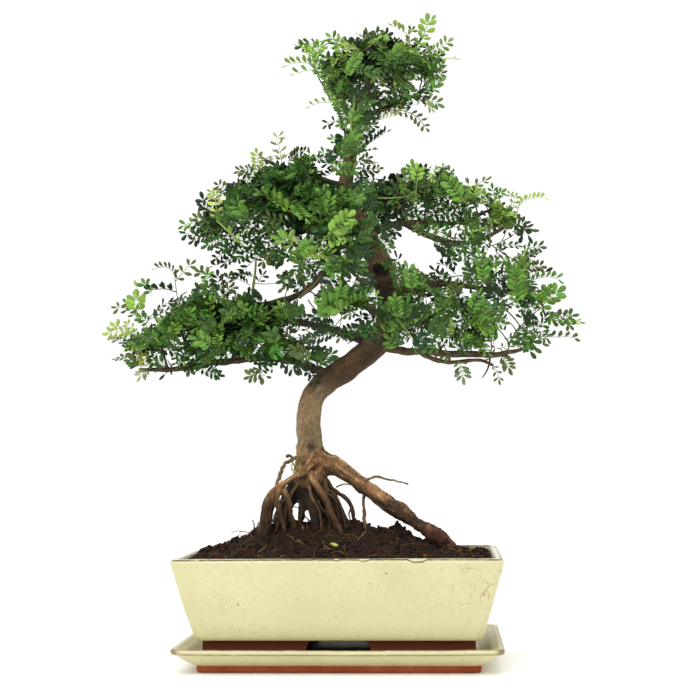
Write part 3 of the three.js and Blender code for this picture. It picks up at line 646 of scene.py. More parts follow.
def band(levels, **kw):
    """A closed ring: the profile comes back to its start."""
    rings = [np.column_stack([ring(h, h - 50, r, **kw), np.full(len(ring(h, h - 50, r, **kw)), z)]) for z, h, r in levels]
    k, n = len(rings[0]), len(rings)
    v = np.vstack(rings)
    i, j = np.meshgrid(np.arange(n), np.arange(k), indexing="ij")
    jn, inn = (j + 1) % k, (i + 1) % n
    q = np.stack([i * k + j, inn * k + j, inn * k + jn, i * k + jn], -1).reshape(-1, 4)
    return v, np.vstack([q[:, [0, 1, 2]], q[:, [0, 2, 3]]])


fv, ff = band([(z, h, 7 if h > 130 else 4) for z, h in fv_levels])
foot = mesh_object("pot_foot", fv, ff, [GLAZE, TERRACOTTA], np.ones(len(ff)))


def arch_cutter(half_low, half_high, along_x, z0=8.0, z1=30.9, reach=260):
    t = np.linspace(0, 1, 9)[:, None]
    a, c, b = np.array([half_low, 20.3]), np.array([half_low - 1, z1]), np.array([half_high, z1])
    curve = (1 - t) ** 2 * a + 2 * t * (1 - t) * c + t * t * b
    outline = np.vstack([[[-half_low, z0], [half_low, z0]], curve, curve[::-1] * [-1, 1]])
    n = len(outline)
    side = [np.column_stack([outline[:, 0], np.full(n, y), outline[:, 1]]) for y in (-reach, reach)]
    v = np.vstack(side)
    if along_x:
        v = v[:, [1, 0, 2]] * [1, -1, 1]
    faces = [list(range(n)), list(range(2 * n - 1, n - 1, -1))] + [[i, i + n, (i + 1) % n + n, (i + 1) % n] for i in range(n)]
    ob = mesh_object("arch", v, faces, [GLAZE, TERRACOTTA], np.ones(n + 2), False)
    bm = bmesh.new()
    bm.from_mesh(ob.data)
    bmesh.ops.recalc_face_normals(bm, faces=bm.faces)
    bm.to_mesh(ob.data)
    bm.free()
    return ob


foot = boolean(foot, [arch_cutter(32.3, 25, False), arch_cutter(24, 18, True)])


def drum_cutter(x, r, z0, z1, n=48):
    a = np.linspace(0, 2 * np.pi, n, endpoint=False)
    v = np.vstack([np.column_stack([x + r * np.cos(a), r * np.sin(a), np.full(n, z)]) for z in (z0, z1)])
    faces = [list(range(n - 1, -1, -1)), list(range(n, 2 * n))] + [[i, (i + 1) % n, (i + 1) % n + n, i + n] for i in range(n)]
    return mesh_object("drum", v, faces, [GLAZE, TERRACOTTA], np.ones(n + 2), False)


pot_body = boolean(pot_body, [drum_cutter(-72, 13, 28, 42), drum_cutter(72, 13, 28, 42)])
pot = joined("glazed_pot", [pot_body, foot])
sharp_by_angle(pot, 42)
finish_piece(pot, "pot")

S_OUT = [(0, 139.6), (0.35, 140.9), (1.3, 141.5), (4, 141.7), (6.6, 141.7), (7.1, 142.1), (7.6, 143.6), (11.3, 150), (15.8, 156), (19.0, 159.4)]
S_LIP = [(19.5, 160.6), (19.9, 161.9), (20.3, 162.7), (20.9, 163.4), (21.6, 163.8), (22.6, 164.1), (23.6, 164.2), (24.4, 164.1), (25.0, 163.8), (25.4, 163.3), (25.65, 162.6), (25.7, 161.8), (25.55, 160.9), (25.1, 159.8), (24.2, 158.6)]
S_IN = [(22.5, 156.6), (21, 154.4), (15.5, 149), (12, 144.2), (10.6, 141.4), (10.05, 138.4), (10, 134)]
s_levels = [(0.6, 60, 20, 3), (0.6, 128, 78, 5), (0.3, 133, 83, 6), (0, 134.5, 84.5, 6)]
s_levels += [(z, h, h - 50, 8.0) for z, h in between(S_OUT, 2.6)]
s_levels += [(z, h, h - 50, 8.0 - 1.4 * i / len(S_LIP)) for i, (z, h) in enumerate(S_LIP)]
s_levels += [(z, h, h - 50, 6.4) for z, h in between(S_IN, 3.0)]
s_levels += [(10, 110, 60, 4), (10, 60, 20, 3)]
sv, sf = loft(s_levels)
unglazed = unglazed_below(sv, sf, 7.0)
sv = hand_made(sv, 0.4, 21, 25.5)
# the long front and back sides sagged a little in the kiln
across = np.clip(1 - (sv[:, 0] / 158) ** 2, 0, 1)
lift = smooth(9.5, 25.5, sv[:, 2]) * smooth(80, 108, np.abs(sv[:, 1]))
sv[:, 2] -= 1.1 * across * lift * np.where(sv[:, 1] < 0, 1.0, 0.8)
# brown breaks along the lip's lower and upper arris; the painted shade under the pot is done in the saucer's glaze
# material
PER_LEVEL = len(ring(60, 20, 3))
S_BREAK = {(19.9, 161.9): 0.15, (20.3, 162.7): 0.55, (20.9, 163.4): 0.85, (21.6, 163.8): 0.35, (25.0, 163.8): 0.35, (25.4, 163.3): 0.85, (25.65, 162.6): 0.8, (25.7, 161.8): 0.45, (24.2, 158.6): 0.3}
paint = np.zeros(len(sv))
for i, (z_, h_, _, _) in enumerate(s_levels):
    for (bz, bh), amount in S_BREAK.items():
        if abs(z_ - bz) < 1e-6 and abs(h_ - bh) < 1e-6:
            paint[i * PER_LEVEL:(i + 1) * PER_LEVEL] = amount
    if 161 < h_ < 165 and z_ > 19:
        # the four corners are worn back to brown all round the lip
        mine = slice(i * PER_LEVEL, (i + 1) * PER_LEVEL)
        worn = smooth(153, 160, np.abs(sv[mine, 0])) * smooth(103, 109, np.abs(sv[mine, 1]))
        paint[mine] = np.maximum(paint[mine], worn * 0.8)
saucer = mesh_object("glazed_saucer", sv, sf, [SAUCER_GLAZE, TERRACOTTA], unglazed, colours=np.repeat(paint[:, None], 3, 1))
sharp_by_angle(saucer, 50)
finish_piece(saucer, "saucer")


# ------------------------------------------------------------------ trunk with roots
LIMBS = [
    ("TRUNK", [[-32.8, 4, 146.4, 17], [-33.7, 3, 167.5, 19], [-33.9, 1, 186.4, 18.5], [-33.9, 0, 203.3, 16.5], [-33.8, 0, 218, 14.6], [-33.7, 0, 230.7, 13.4], [-35.6, 3, 245.8, 11.9], [-35.4, 5, 261.4, 12], [-30.3, 8, 278.4, 12.6], [-17.5, 10, 293.3, 12.4], [1.7, 10, 305.9, 12], [15.8, 8, 315.7, 12], [29.8, 5, 325.5, 12], [42.8, 0, 337.7, 12], [49.4, -4, 351.1, 11.8], [50.7, -6, 364.7, 11.6], [50.4, -8, 384.6, 12], [43.7, -8, 405.9, 14], [37.5, -6, 424.3, 12.2], [30.1, -4, 438.5, 10.6], [20.5, -1, 458.2, 9.8], [9.9, 2, 480.3, 9], [4.5, 4, 497.9, 8.4], [6.6, 6, 512.2, 8], [10, 6, 530.5, 7.2], [14.6, 3, 555.7, 5.8], [18.2, 0, 585.3, 4.6], [28.2, -4, 604.7, 3.6], [34.9, -6, 628.9, 2.8], [41.5, -8, 650.9, 2]]),
    ("ROOT_RIGHT", [[-27.9, 0, 214.8, 11], [-13, -2, 205.8, 10.8], [-3.4, -4, 201.6, 9.6], [3.6, -6, 196.3, 8.9], [12.7, -8, 189.8, 8], [22.1, -10, 182.2, 8], [31, -11, 177, 8.8], [40.9, -12, 169.1, 8.8], [53.4, -14, 160.3, 8.4], [63.2, -15, 154.6, 9.2], [74.6, -17, 145.3, 7], [90.6, -19, 134.5, 7], [101.4, -21, 127.9, 6], [111.1, -22, 122.3, 4.6], [121.3, -24, 114.2, 3.2]]),
    ("ROOT_LEFT", [[-29.2, -10, 205.5, 6.5], [-35.2, -14, 199.8, 5], [-41.9, -17, 195.4, 3.8], [-50.9, -20, 191, 3.3], [-60.1, -22, 185.4, 3.4], [-66, -22, 180.4, 4.6], [-71.3, -21, 172.6, 6.2], [-76.2, -20, 162.2, 6.8], [-78.4, -19, 150.8, 7.2], [-80.2, -18, 138.3, 7.4], [-82, -16, 125.7, 6.5]]),
    ("ROOT_LEFT_MID", [[-64.8, -23, 180.9, 4], [-66.7, -25, 171.7, 3.4], [-65.6, -26, 162.4, 3], [-62.6, -27, 151.1, 2.6], [-59.7, -28, 141.8, 2.3], [-58.3, -28, 133.6, 2]]),
    ("ROOT_LEFT_INNER", [[-63, -20, 181.9, 4], [-57.9, -19, 172.5, 3.8], [-54.1, -18, 163.1, 3.8], [-52.5, -17, 152.7, 4.2], [-50, -16, 141.2, 4.4], [-49.1, -15, 130.7, 4]]),
    ("ROOT_FRONT", [[-34.3, -12, 199.3, 5], [-27.9, -17, 185.8, 4], [-21.2, -21, 175.5, 3.5], [-16.3, -24, 167.2, 3.3], [-11.5, -27, 157, 3.1], [-5.6, -30, 146.8, 2.9], [-0.6, -33, 137.2, 2.6], [3.4, -35, 128.6, 2.2]]),
    ("ROOT_MASS_RIGHT", [[-21.7, 0, 184.3, 8], [-16.5, 0, 170.6, 7.5], [-10.3, 0, 158, 7.5], [-6.1, 0, 145.4, 7.5], [-4.1, 0, 130.8, 6]]),
    ("ROOT_MASS_LEFT", [[-45.5, 6, 188.5, 9], [-53.2, 8, 175.8, 9], [-60.8, 9, 162.1, 8.5], [-66.3, 10, 148.4, 8], [-68.6, 11, 132.5, 7]]),
    ("ROOT_LEG_A", [[-42.2, 4, 183.3, 6.5], [-43.9, 3, 170.7, 4.4], [-44.5, 3, 159.1, 3.2], [-44.4, 3, 146.5, 3.2], [-44.5, 3, 131.8, 3.2]]),
    ("ROOT_LEG_B", [[-29.7, -6, 174, 7], [-29.6, -8, 160.5, 5.6], [-28.6, -9, 149.1, 4.8], [-28.6, -10, 133.5, 4.5]]),
    ("ROOT_ARC", [[-14.5, 2, 181.1, 3.4], [-6, 1, 175.3, 3], [2.5, 0, 170, 2.6], [7.8, -1, 163.7, 2.6], [10.7, -2, 154.9, 2.5], [11.6, -3, 144.4, 2.4], [11.9, -4, 133, 2.2]]),
    ("ROOT_PEG", [[22.4, -8, 178, 2.2], [22.9, -9, 165.5, 1.9], [23.1, -10, 153, 1.9], [23.7, -11, 140.6, 1.9], [23.8, -11, 130.2, 1.8]]),
    ("ROOT_THIN_LEFT", [[-44.3, -6, 212.9, 2.4], [-52.5, -8, 210.3, 2.1], [-59.2, -10, 206.7, 1.9], [-63.2, -12, 199.4, 1.8], [-65.9, -14, 191.1, 1.8], [-68.6, -17, 182.9, 2]]),
    ("ROOT_TWIG", [[23.3, -13, 186.4, 1.6], [30.7, -15, 190.6, 1.3], [38.1, -17, 192, 1.2], [48.6, -19, 189.1, 1.1], [59, -21, 186.8, 1], [68.9, -23, 184.1, 0.9]]),
    ("ROOT_BACK_RIGHT", [[-28.7, 8, 190.5, 11], [-23.6, 24, 177.4, 9], [-20.8, 42, 162.9, 8], [-18.9, 60, 150.3, 7], [-18, 76, 137.6, 5.5], [-16.7, 88, 127.1, 4]]),
    ("ROOT_BACK_LEFT", [[-41.4, 8, 190.6, 11], [-51.5, 24, 178.6, 9], [-58.7, 42, 165.2, 8], [-65.8, 58, 152.8, 7], [-71.9, 74, 139, 5.5], [-76.5, 86, 128.5, 4]]),
]
BRANCH_PATHS = {
    "branch_low_left": [[[-15.1, 6, 298.4, 6], [-25.4, 2, 304.7, 4.6], [-35.5, -4, 308.2, 4.2], [-46.3, -9, 313.3, 3.9], [-63.4, -14, 316.7, 3.7], [-89.1, -19, 316.7, 3.5], [-106.2, -21, 314.2, 3.4], [-123.5, -23, 312.8, 3.2], [-140.8, -25, 310.3, 3], [-157.9, -27, 307.1, 2.8], [-175.2, -28, 305.5, 2.6], [-192.6, -29, 305.4, 2.3], [-209.6, -30, 305, 2]]],
    "branch_low_right": [[[40.8, -2, 332.3, 6], [51.5, -8, 326.6, 4.6], [68.4, -14, 322.3, 4], [89.4, -20, 322.3, 3.9], [113.3, -26, 318.9, 3.7], [136.8, -30, 318, 3.4], [155.6, -33, 316.6, 3], [176, -36, 319.3, 2.4], [188.1, -38, 322.2, 2]], [[81, -18, 322.5, 3], [91.4, -22, 316.4, 2.6], [104.9, -27, 311.1, 2.3], [120.9, -32, 309.8, 2.1], [144.4, -38, 311.3, 1.9], [158.4, -42, 305.4, 1.5]]],
    "branch_mid_right": [[[50.8, -6, 377.4, 6], [64.7, -10, 384.3, 4], [83.7, -16, 389.7, 3.5], [106.8, -22, 392, 3.1], [131.7, -27, 389, 2.8], [158.4, -30, 384.2, 2.4], [182, -32, 381.6, 2], [202.5, -33, 383.3, 1.7]]],
    "branch_mid_left": [[[39.5, -8, 403.8, 6], [22.9, -14, 408.7, 4.4], [4.2, -18, 410.6, 4], [-14.6, -20, 407, 3.8], [-27.3, -22, 393.8, 3.5], [-41.8, -23, 383.3, 3.3], [-63, -22, 376.3, 3], [-89.6, -20, 372.6, 2.8], [-118.4, -18, 372.1, 2.4], [-145.3, -16, 370.5, 2.1], [-169.9, -15, 366.7, 1.8]]],
    "branch_upper_right": [[[29, -4, 441.7, 6], [39.8, -6, 451.9, 4.2], [52.6, -8, 456.2, 3.6], [68, -10, 457.8, 3.4], [90.4, -12, 445.5, 3.2], [109.7, -14, 438.8, 2.9], [128.2, -16, 435.4, 2.5], [149.1, -18, 439.1, 2.2], [169.9, -20, 449, 1.9], [188.8, -21, 463.3, 1.6]], [[68, -10, 457.8, 2.8], [84.3, -9, 459.3, 2.5], [103.3, -8, 458.1, 2.3], [129.3, -7, 458.9, 2], [152.9, -6, 469.3, 1.7], [174, -5, 478.6, 1.4]]],
    "branch_upper_left": [[[12, 2, 477, 5.5], [-0.4, -4, 478.4, 4], [-19.1, -10, 474.6, 3.6], [-42.2, -14, 470.1, 3.2], [-67.3, -17, 471.2, 2.8], [-92.7, -18, 476.7, 2.4], [-118, -19, 482.3, 2], [-137, -20, 484.6, 1.6]]],
    "branch_upper_left_top": [[[5.6, 4, 498.9, 4.6], [-11.2, 0, 505, 3.4], [-30, -5, 509.8, 2.9], [-51, -8, 515.1, 2.4], [-68.9, -10, 522.5, 2], [-82.7, -11, 530.1, 1.6]]],
    "branch_front": [[[49.7, -8, 358.2, 5], [37.7, -24, 363.3, 3.6], [24, -40, 368.4, 3.1], [8.5, -56, 372.3, 2.6], [-6.9, -70, 375.3, 2.1], [-18.4, -80, 377.5, 1.6]]],
    "branch_back_left": [[[34.1, 4, 330.7, 6], [9.7, 24, 341.9, 4.6], [-19.7, 44, 352.4, 4], [-51.9, 62, 360.7, 3.5], [-86.9, 78, 366.9, 2.9], [-122, 90, 371.7, 2.2], [-149.1, 98, 374.9, 1.8]]],
    "branch_back_low": [[[49.7, -6, 371.1, 6.5], [53.1, 20, 382, 4.8], [58.8, 48, 391.1, 4.2], [64.7, 76, 397.1, 3.6], [73.1, 102, 401.8, 2.8], [81.7, 124, 406.2, 2]]],
    "branch_back_upper": [[[26.9, -2, 446.2, 6], [17.2, 22, 460.4, 4.2], [9.4, 46, 471.6, 3.6], [1.4, 70, 480.8, 3], [-9.1, 94, 490.2, 2.4], [-17.1, 112, 497.6, 1.9]]],
    "branch_crown_left": [[[10.1, 6, 540.2, 4.2], [-0.3, 2, 559, 3], [-12.7, -3, 575.5, 2.5], [-27.1, -8, 589.8, 2], [-41.7, -12, 600, 1.5]]],
    "branch_crown_right": [[[14.7, 3, 563.3, 4], [29.9, 0, 575.3, 2.8], [49.3, -4, 582.7, 2.4], [68.6, -8, 588.9, 2], [87.8, -11, 597.5, 1.5]]],
    "branch_crown_back": [[[12.3, 5, 546.4, 4], [18.1, 20, 566.7, 3], [23.9, 36, 587.4, 2.4], [27.7, 50, 605.9, 1.8], [29.6, 60, 619.3, 1.4]]],
}
PADS = {
    "foliage_crown_top": [[47.8, -8, 637.8, 56, 46, 38], [11.3, -4, 633.1, 48, 40, 32], [77.8, -8, 658.7, 34, 32, 26], [30.8, -4, 660.8, 36, 30, 25]],
    "foliage_crown_left": [[-22.2, -16, 603, 38, 34, 26], [-40.9, -20, 615.3, 32, 26, 18], [-4.5, -12, 588.5, 30, 30, 24]],
    "foliage_crown_right": [[94.2, -8, 602.4, 32, 34, 34], [77, -6, 586, 30, 30, 28]],
    "foliage_crown_back": [[27.7, 54, 622.4, 58, 34, 36], [8.2, 44, 591.7, 32, 26, 24]],
    "foliage_stem_tufts": [[10.2, 4, 542, 26, 28, 22]],
    "foliage_upper_left_outer": [[-119.7, -22, 488.3, 44, 46, 38], [-141.3, -20, 471.9, 30, 34, 28], [-92.6, -18, 509.8, 34, 40, 32]],
    "foliage_upper_left_inner": [[-40, -38, 473.9, 48, 46, 44], [-4.7, -66, 448.4, 36, 38, 34], [-62.3, -64, 480.6, 34, 36, 30], [-56.7, -26, 507.8, 36, 40, 30], [-21.9, -26, 502.9, 30, 36, 26]],
    "foliage_upper_left_back": [[-68.6, 58, 495.7, 62, 40, 40], [-24.9, 66, 496.3, 40, 36, 34]],
    "foliage_upper_right_inner": [[71.9, -4, 494.3, 46, 44, 26], [46.7, -14, 476.1, 26, 34, 26], [105.8, -4, 498, 36, 40, 22]],
    "foliage_upper_right_outer": [[154, -10, 481.4, 36, 40, 32], [189.3, -14, 474.9, 31, 34, 26], [166, -16, 452.8, 34, 34, 24]],
    "foliage_upper_back": [[-6.1, 118, 497.2, 60, 34, 36], [58.5, 92, 498.9, 46, 38, 34]],
    "foliage_right_inner": [[108.8, -40, 388, 46, 44, 36], [87.9, -36, 361.7, 36, 38, 34], [130.9, -50, 353.8, 40, 42, 34]],
    "foliage_right_outer": [[189.6, -28, 394.4, 46, 44, 38], [217.8, -30, 358.5, 37, 36, 28], [172.3, -34, 350.5, 36, 38, 30], [208.8, -22, 415.7, 28, 30, 20]],
    "foliage_right_back": [[146.1, 66, 391.7, 60, 40, 40], [93.3, 84, 389.7, 46, 38, 36]],
    "foliage_lower_left_outer": [[-202.6, -28, 342.8, 45, 44, 34], [-172.3, -26, 359.4, 40, 44, 36], [-222.3, -30, 336.6, 30, 32, 26]],
    "foliage_lower_left_inner": [[-112.1, -34, 351.8, 46, 46, 42], [-80, -40, 357.2, 40, 46, 38], [-131, -34, 337.4, 38, 42, 32]],
    "foliage_lower_left_root": [[-36.1, -42, 352.3, 34, 40, 40], [-21.5, -44, 329.2, 26, 30, 26]],
    "foliage_lower_left_back": [[-124.5, 92, 364, 72, 38, 36], [-59.3, 70, 361.5, 46, 34, 34]],
    "foliage_centre_front": [[-6.2, -80, 379.4, 44, 38, 38], [-31.8, -64, 397.7, 30, 34, 28]],
    "foliage_centre_back": [[68.2, 118, 400.1, 52, 36, 38], [7.5, 70, 402.8, 50, 40, 40]],
}
SCAR = np.array([42.6, -19.6, 408.5])


class Skeleton:
    """Dense samples of limb centre lines, for painting and roughening a skin by the nearest limb."""

    def __init__(self, limbs, step=2.0):
        rows = []
        for n, (name, path) in enumerate(limbs):
            c = catmull(np.array(path, float), 8)
            d = np.r_[0, np.cumsum(np.linalg.norm(np.diff(c[:, :3], axis=0), axis=1))]
            s = np.arange(0, d[-1], step)
            p = np.column_stack([np.interp(s, d, c[:, q]) for q in range(4)])
            t, a, b = frames(p[:, :3])
            rows.append(np.column_stack([p, s, np.full(len(p), n), t, a, b, s / max(d[-1], 1)]))
        self.rows = np.vstack(rows)
        self.names = [n for n, _ in limbs]
        self.tree = KDTree(len(self.rows))
        for i, r in enumerate(self.rows):
            self.tree.insert(r[:3], i)
        self.tree.balance()

    def nearest(self, pts, spread=6):
        out = np.empty(len(pts), int)
        for k, p in enumerate(pts):
            best, score = 0, 1e9
            for co, i, d in self.tree.find_n(p, spread):
                sc = d - self.rows[i, 3]
                if sc < score:
                    best, score = i, sc
            out[k] = best
        return self.rows[out]


def vertex_normals(me):
    n = np.empty(len(me.vertices) * 3, np.float32)
    me.vertex_normals.foreach_get("vector", n)
    return n.reshape(-1, 3).astype(float)


def coords_of(me):
    co = np.empty(len(me.vertices) * 3, np.float32)
    me.vertices.foreach_get("co", co)
    return co.reshape(-1, 3).astype(float) / MM


def triangles_of(me):
    me.calc_loop_triangles()
    t = np.empty(len(me.loop_triangles) * 3, np.int32)
    me.loop_triangles.foreach_get("vertices", t)
    return t.reshape(-1, 3)


def view_prism(outline, y_front, y_back):
    """A closed bar whose sides run along the front view's sight lines through an outline of that view."""
    n = len(outline)
    v_ = np.array([at(a, b, y_front) for a, b in outline] + [at(a, b, y_back) for a, b in outline])
    f_ = [[i, (i + 1) % n, n + (i + 1) % n] for i in range(n)] + [[i, n + (i + 1) % n, n + i] for i in range(n)]
    f_ += [[0, i + 1, i] for i in range(1, n - 1)] + [[n, n + i, n + i + 1] for i in range(1, n - 1)]
    f_ = np.array(f_)
    q = v_[f_]
    volume = (np.cross(q[:, 0], q[:, 1]) * q[:, 2]).sum()
    return v_, f_ if volume > 0 else f_[:, ::-1]


def fused(name, pieces, voxel, smooth_steps=3, factor=0.5, gaps=()):
    """Closed bars that overlap, grown together into one skin; daylight gaps are taken out of it."""
    s = Soup()
    for v, f in pieces:
        s.add(v, f)
    ob = s.object(name, [])
    md = ob.modifiers.new("skin", "REMESH")
    md.mode, md.voxel_size, md.adaptivity = "VOXEL", voxel * MM, 0.0
    md.use_smooth_shade = True
    cutters = []
    for k_, (gv, gf) in enumerate(gaps):
        s_ = Soup()
        s_.add(gv, gf)
        cutters.append(s_.object(name + "_gap%d" % k_, []))
        bo = ob.modifiers.new("gap", "BOOLEAN")
        bo.operation, bo.solver, bo.object = "DIFFERENCE", "EXACT", cutters[-1]
    if gaps:
        md = ob.modifiers.new("skin_again", "REMESH")
        md.mode, md.voxel_size, md.adaptivity = "VOXEL", voxel * MM, 0.0
        md.use_smooth_shade = True
    sm = ob.modifiers.new("even", "SMOOTH")
    sm.factor, sm.iterations = factor, smooth_steps
    bpy.context.view_layer.update()
    me = bpy.data.meshes.new_from_object(ob.evaluated_get(bpy.context.evaluated_depsgraph_get()))
    v, f = coords_of(me), triangles_of(me)
    bpy.data.objects.remove(ob)
    for c in cutters:
        bpy.data.objects.remove(c)
    return v, f, me


limbs = [(n, np.array(p, float)) for n, p in LIMBS]
# where daylight shows between the roots, as the front view has it
ROOT_GAPS = [[(291.0, 508.4), (292.6, 507.4), (293.6, 504.2), (296.2, 502.2), (298.4, 503.0), (298.4, 521.0), (296.0, 522.2), (294.6, 517.6), (292.4, 512.8)],
             [(306.4, 509.6), (309.2, 510.6), (310.6, 514.6), (310.4, 519.4), (308.8, 522.6), (306.4, 523.4), (303.2, 523.2), (302.8, 520.0), (305.2, 518.2), (304.8, 513.4)],
             [(314.6, 519.2), (316.4, 518.8), (317.2, 520.6), (316.2, 522.2), (314.4, 521.8)]]
THIN = ("ROOT_TWIG", "ROOT_PEG", "ROOT_THIN_LEFT")
thick = [(n, p) for n, p in limbs if n not in THIN]
pieces = []
for k, (name, path) in enumerate(thick):
    c = catmull(path, 8)
    # knots and swellings that the centre lines don't carry
    wob = 1 + (0.06 if name == "TRUNK" else 0.12) * value_noise(np.column_stack([np.arange(len(c)) / 5.0, np.full(len(c), k * 3.7), np.zeros(len(c))]), 5 + k)
    c[:, 3] *= wob
    if name == "TRUNK":
        # the old stump has rotted back between the roots, so they stand free of it
        c[:, 3] -= 6.0 * smooth(190, 170, c[:, 2])
    pieces.append(tube(c[:, :3], c[:, 3], 20, lumps=0.10, seed=k))
# the sawn-off limb, a knot lower down and the broken stub by the upper bend
pieces.append(tube(np.array([[42, -6, 407], [39, -14, 409.4], [37.2, -19.8, 411.6], [36.8, -21.6, 412]]), [11, 10.2, 9.4, 8.8], 24, lumps=0.06, seed=77))
KNOT = at(311, 447, -14)
pieces.append(tube(np.array([KNOT + [0, 9, 0], KNOT + [0, 2, 0.5], KNOT + [-0.3, -2.5, 1]]), [5.5, 4.4, 2.8], 14, lumps=0.1, seed=78))
v, f, skin = fused("trunk_skin", pieces, 1.32, gaps=[view_prism(o, -70, 120) for o in ROOT_GAPS])
nrm = vertex_normals(skin)
sk = Skeleton(limbs)
near = sk.nearest(v)
c0, R, s, which, tan, na, nb, along = near[:, :3], near[:, 3], near[:, 4], near[:, 5].astype(int), near[:, 6:9], near[:, 9:12], near[:, 12:15], near[:, 15]
rel = v - c0
theta = np.arctan2((rel * nb).sum(1), (rel * na).sum(1))
is_trunk = (which == [n for n, _ in limbs].index("TRUNK")).astype(float)
root_like = np.clip(1 - is_trunk * smooth(196, 236, v[:, 2]), 0, 1)
rr = np.maximum(R, 2.2)


def streaks(ls, lt, seed):
    return value_noise(np.column_stack([s / ls + which * 31.7, np.cos(theta) * rr / lt, np.sin(theta) * rr / lt]), seed)


ridge = 0.6 * streaks(26, 2.6, 1) + 0.4 * streaks(11, 1.4, 2)
fine = 0.6 * streaks(5.0, 1.6, 3) + 0.4 * value_noise(v / 1.9, 4)
lump = fbm(v / 15.0, 3, 8)
wrinkle = value_noise(np.column_stack([s / 2.2, np.cos(theta) * rr / 9, np.sin(theta) * rr / 9]), 12)
high = smooth(395, 470, v[:, 2]) * is_trunk
d = root_like * (0.85 * ridge + 0.40 * fine + 1.1 * lump) + (1 - root_like) * (0.28 * ridge + 0.14 * fine + 0.75 * lump + 0.12 * wrinkle + high * 0.35 * ridge)
d *= np.clip(R / 6.0, 0.35, 1.2)
d += 0.9 * is_trunk * smooth(225, 245, v[:, 2]) * smooth(400, 350, v[:, 2])
d += 1.2 * is_trunk * smooth(284, 296, v[:, 2]) * smooth(342, 330, v[:, 2]) * smooth(0.0, 0.6, nrm[:, 0] - 0.4 * nrm[:, 2])
# the rotten wood of the old stump
core = is_trunk * smooth(190, 170, v[:, 2]) * (0.75 + 0.5 * fbm(v / 8.0, 3, 90))
d -= 1.0 * core
# knobs and scuffed bark on the long root's end, and the knot under the fork
for (px_, py_, pz_), amount, reach in (((60.0, -15.0, 157.5), 1.6, 7.0), ((72.0, -20.0, 150.0), 1.4, 5.0), ((88.0, -19.0, 139.5), 1.8, 9.0), ((97.0, -20.0, 133.0), 2.6, 8.0), ((105.0, -22.0, 128.5), 3.2, 7.5), ((-34.0, -14.0, 219.0), 1.4, 6.0), ((-12.0, -9.0, 208.0), 1.0, 5.0)):
    d += amount * np.exp(-((v[:, 0] - px_) ** 2 + (v[:, 1] - py_) ** 2 + (v[:, 2] - pz_) ** 2) / reach ** 2)
right_end = (which == [n for n, _ in limbs].index("ROOT_RIGHT")) * smooth(30, 80, v[:, 0])
crust = (which == [n for n, _ in limbs].index("ROOT_RIGHT")) * smooth(40, 50, v[:, 0]) * smooth(94, 82, v[:, 0])
d += right_end * (0.9 * fbm(v / 4.5, 3, 93) + 0.5 * fine) + crust * 0.9 * fbm(v / 2.4, 2, 96)
# knuckles where the roots leave the trunk
collar = smooth(188, 200, v[:, 2]) * smooth(240, 222, v[:, 2])
d += collar * (1.1 * fbm(v / 5.5, 3, 97) + 0.5 * ridge)
# the wound: a ragged dark hollow with a rolled edge of new bark
to_scar = np.linalg.norm((v - SCAR) * [0.66, 0.5, 0.92], axis=1) + 1.6 * fbm(v / 4.5, 3, 41)
facing = np.clip(-nrm[:, 1], 0, 1)
hollow = smooth(7.8, 5.4, to_scar) * smooth(0.1, 0.5, facing)
lipb = np.exp(-((to_scar - 10.2) / 2.3) ** 2) * smooth(-0.1, 0.4, facing)
d = d * (1 - hollow) + hollow * (-3.4 + 1.5 * fbm(v / 2.6, 3, 40)) + lipb * 1.0
to_knot = np.linalg.norm(v - (KNOT + [0, -3, 1]), axis=1)
d -= 1.6 * smooth(3.0, 1.2, to_knot)
v2 = v + nrm * d[:, None]

# colours, as sRGB numbers
col = np.zeros((len(v), 3))
T_MAIN, T_GREY, T_WARM = np.array([156, 129, 95]), np.array([130, 116, 88]), np.array([172, 134, 102])
R_MAIN, R_LIGHT, R_DARK = np.array([148, 114, 80]), np.array([196, 162, 122]), np.array([70, 49, 33])
vw = v + 6 * np.column_stack([fbm(v / 8.0, 3, 201), fbm(v / 8.0, 3, 202), fbm(v / 8.0, 3, 203)])
m1 = smooth(-0.35, 0.5, fbm(vw / 19.0, 4, 50))[:, None]
m2 = smooth(-0.3, 0.6, fbm(vw / 7.0, 3, 51))[:, None]
trunk_col = T_GREY * (1 - m1) + T_MAIN * m1
trunk_col = trunk_col * (1 - 0.35 * m2) + T_WARM * 0.35 * m2
trunk_col = trunk_col * (1 - 0.10 * smooth(0.1, 0.6, -ridge)[:, None])
spots = smooth(0.15, 0.5, fbm(vw / 2.6, 2, 60))[:, None] * smooth(-0.3, 0.3, fbm(vw / 16.0, 3, 61))[:, None]
trunk_col = trunk_col * (1 - 0.28 * spots) + np.array([98, 82, 60]) * 0.28 * spots
# the leaning part under the crown: painted shade makes it darker, and nearly black underneath
lean = smooth(270, 302, v[:, 2])[:, None] * smooth(420, 380, v[:, 2])[:, None]
lean_underside_shade = smooth(0.25, -0.55, nrm[:, 2] - 0.25 * nrm[:, 0])[:, None]
trunk_col = trunk_col * (1 - 0.34 * lean) * (1 - 0.26 * lean * lean_underside_shade)
trunk_col = trunk_col * (1 + lean * np.array([0.06, -0.02, -0.12]))
mossy_top = (smooth(0.2, 0.85, nrm[:, 2] - 0.55 * nrm[:, 0] - 0.3 + 0.3 * fbm(vw / 6.0, 3, 65)) * smooth(292, 306, v[:, 2]) * smooth(352, 338, v[:, 2]))[:, None]
trunk_col = trunk_col * (1 - 0.62 * mossy_top) + np.array([44, 44, 28]) * 0.62 * mossy_top
rust = smooth(0.05, 0.5, fbm(vw / 12.0, 3, 64))[:, None]
trunk_col = trunk_col * (1 - 0.28 * rust) + np.array([150, 108, 78]) * 0.28 * rust * (1 - 0.5 * lean)
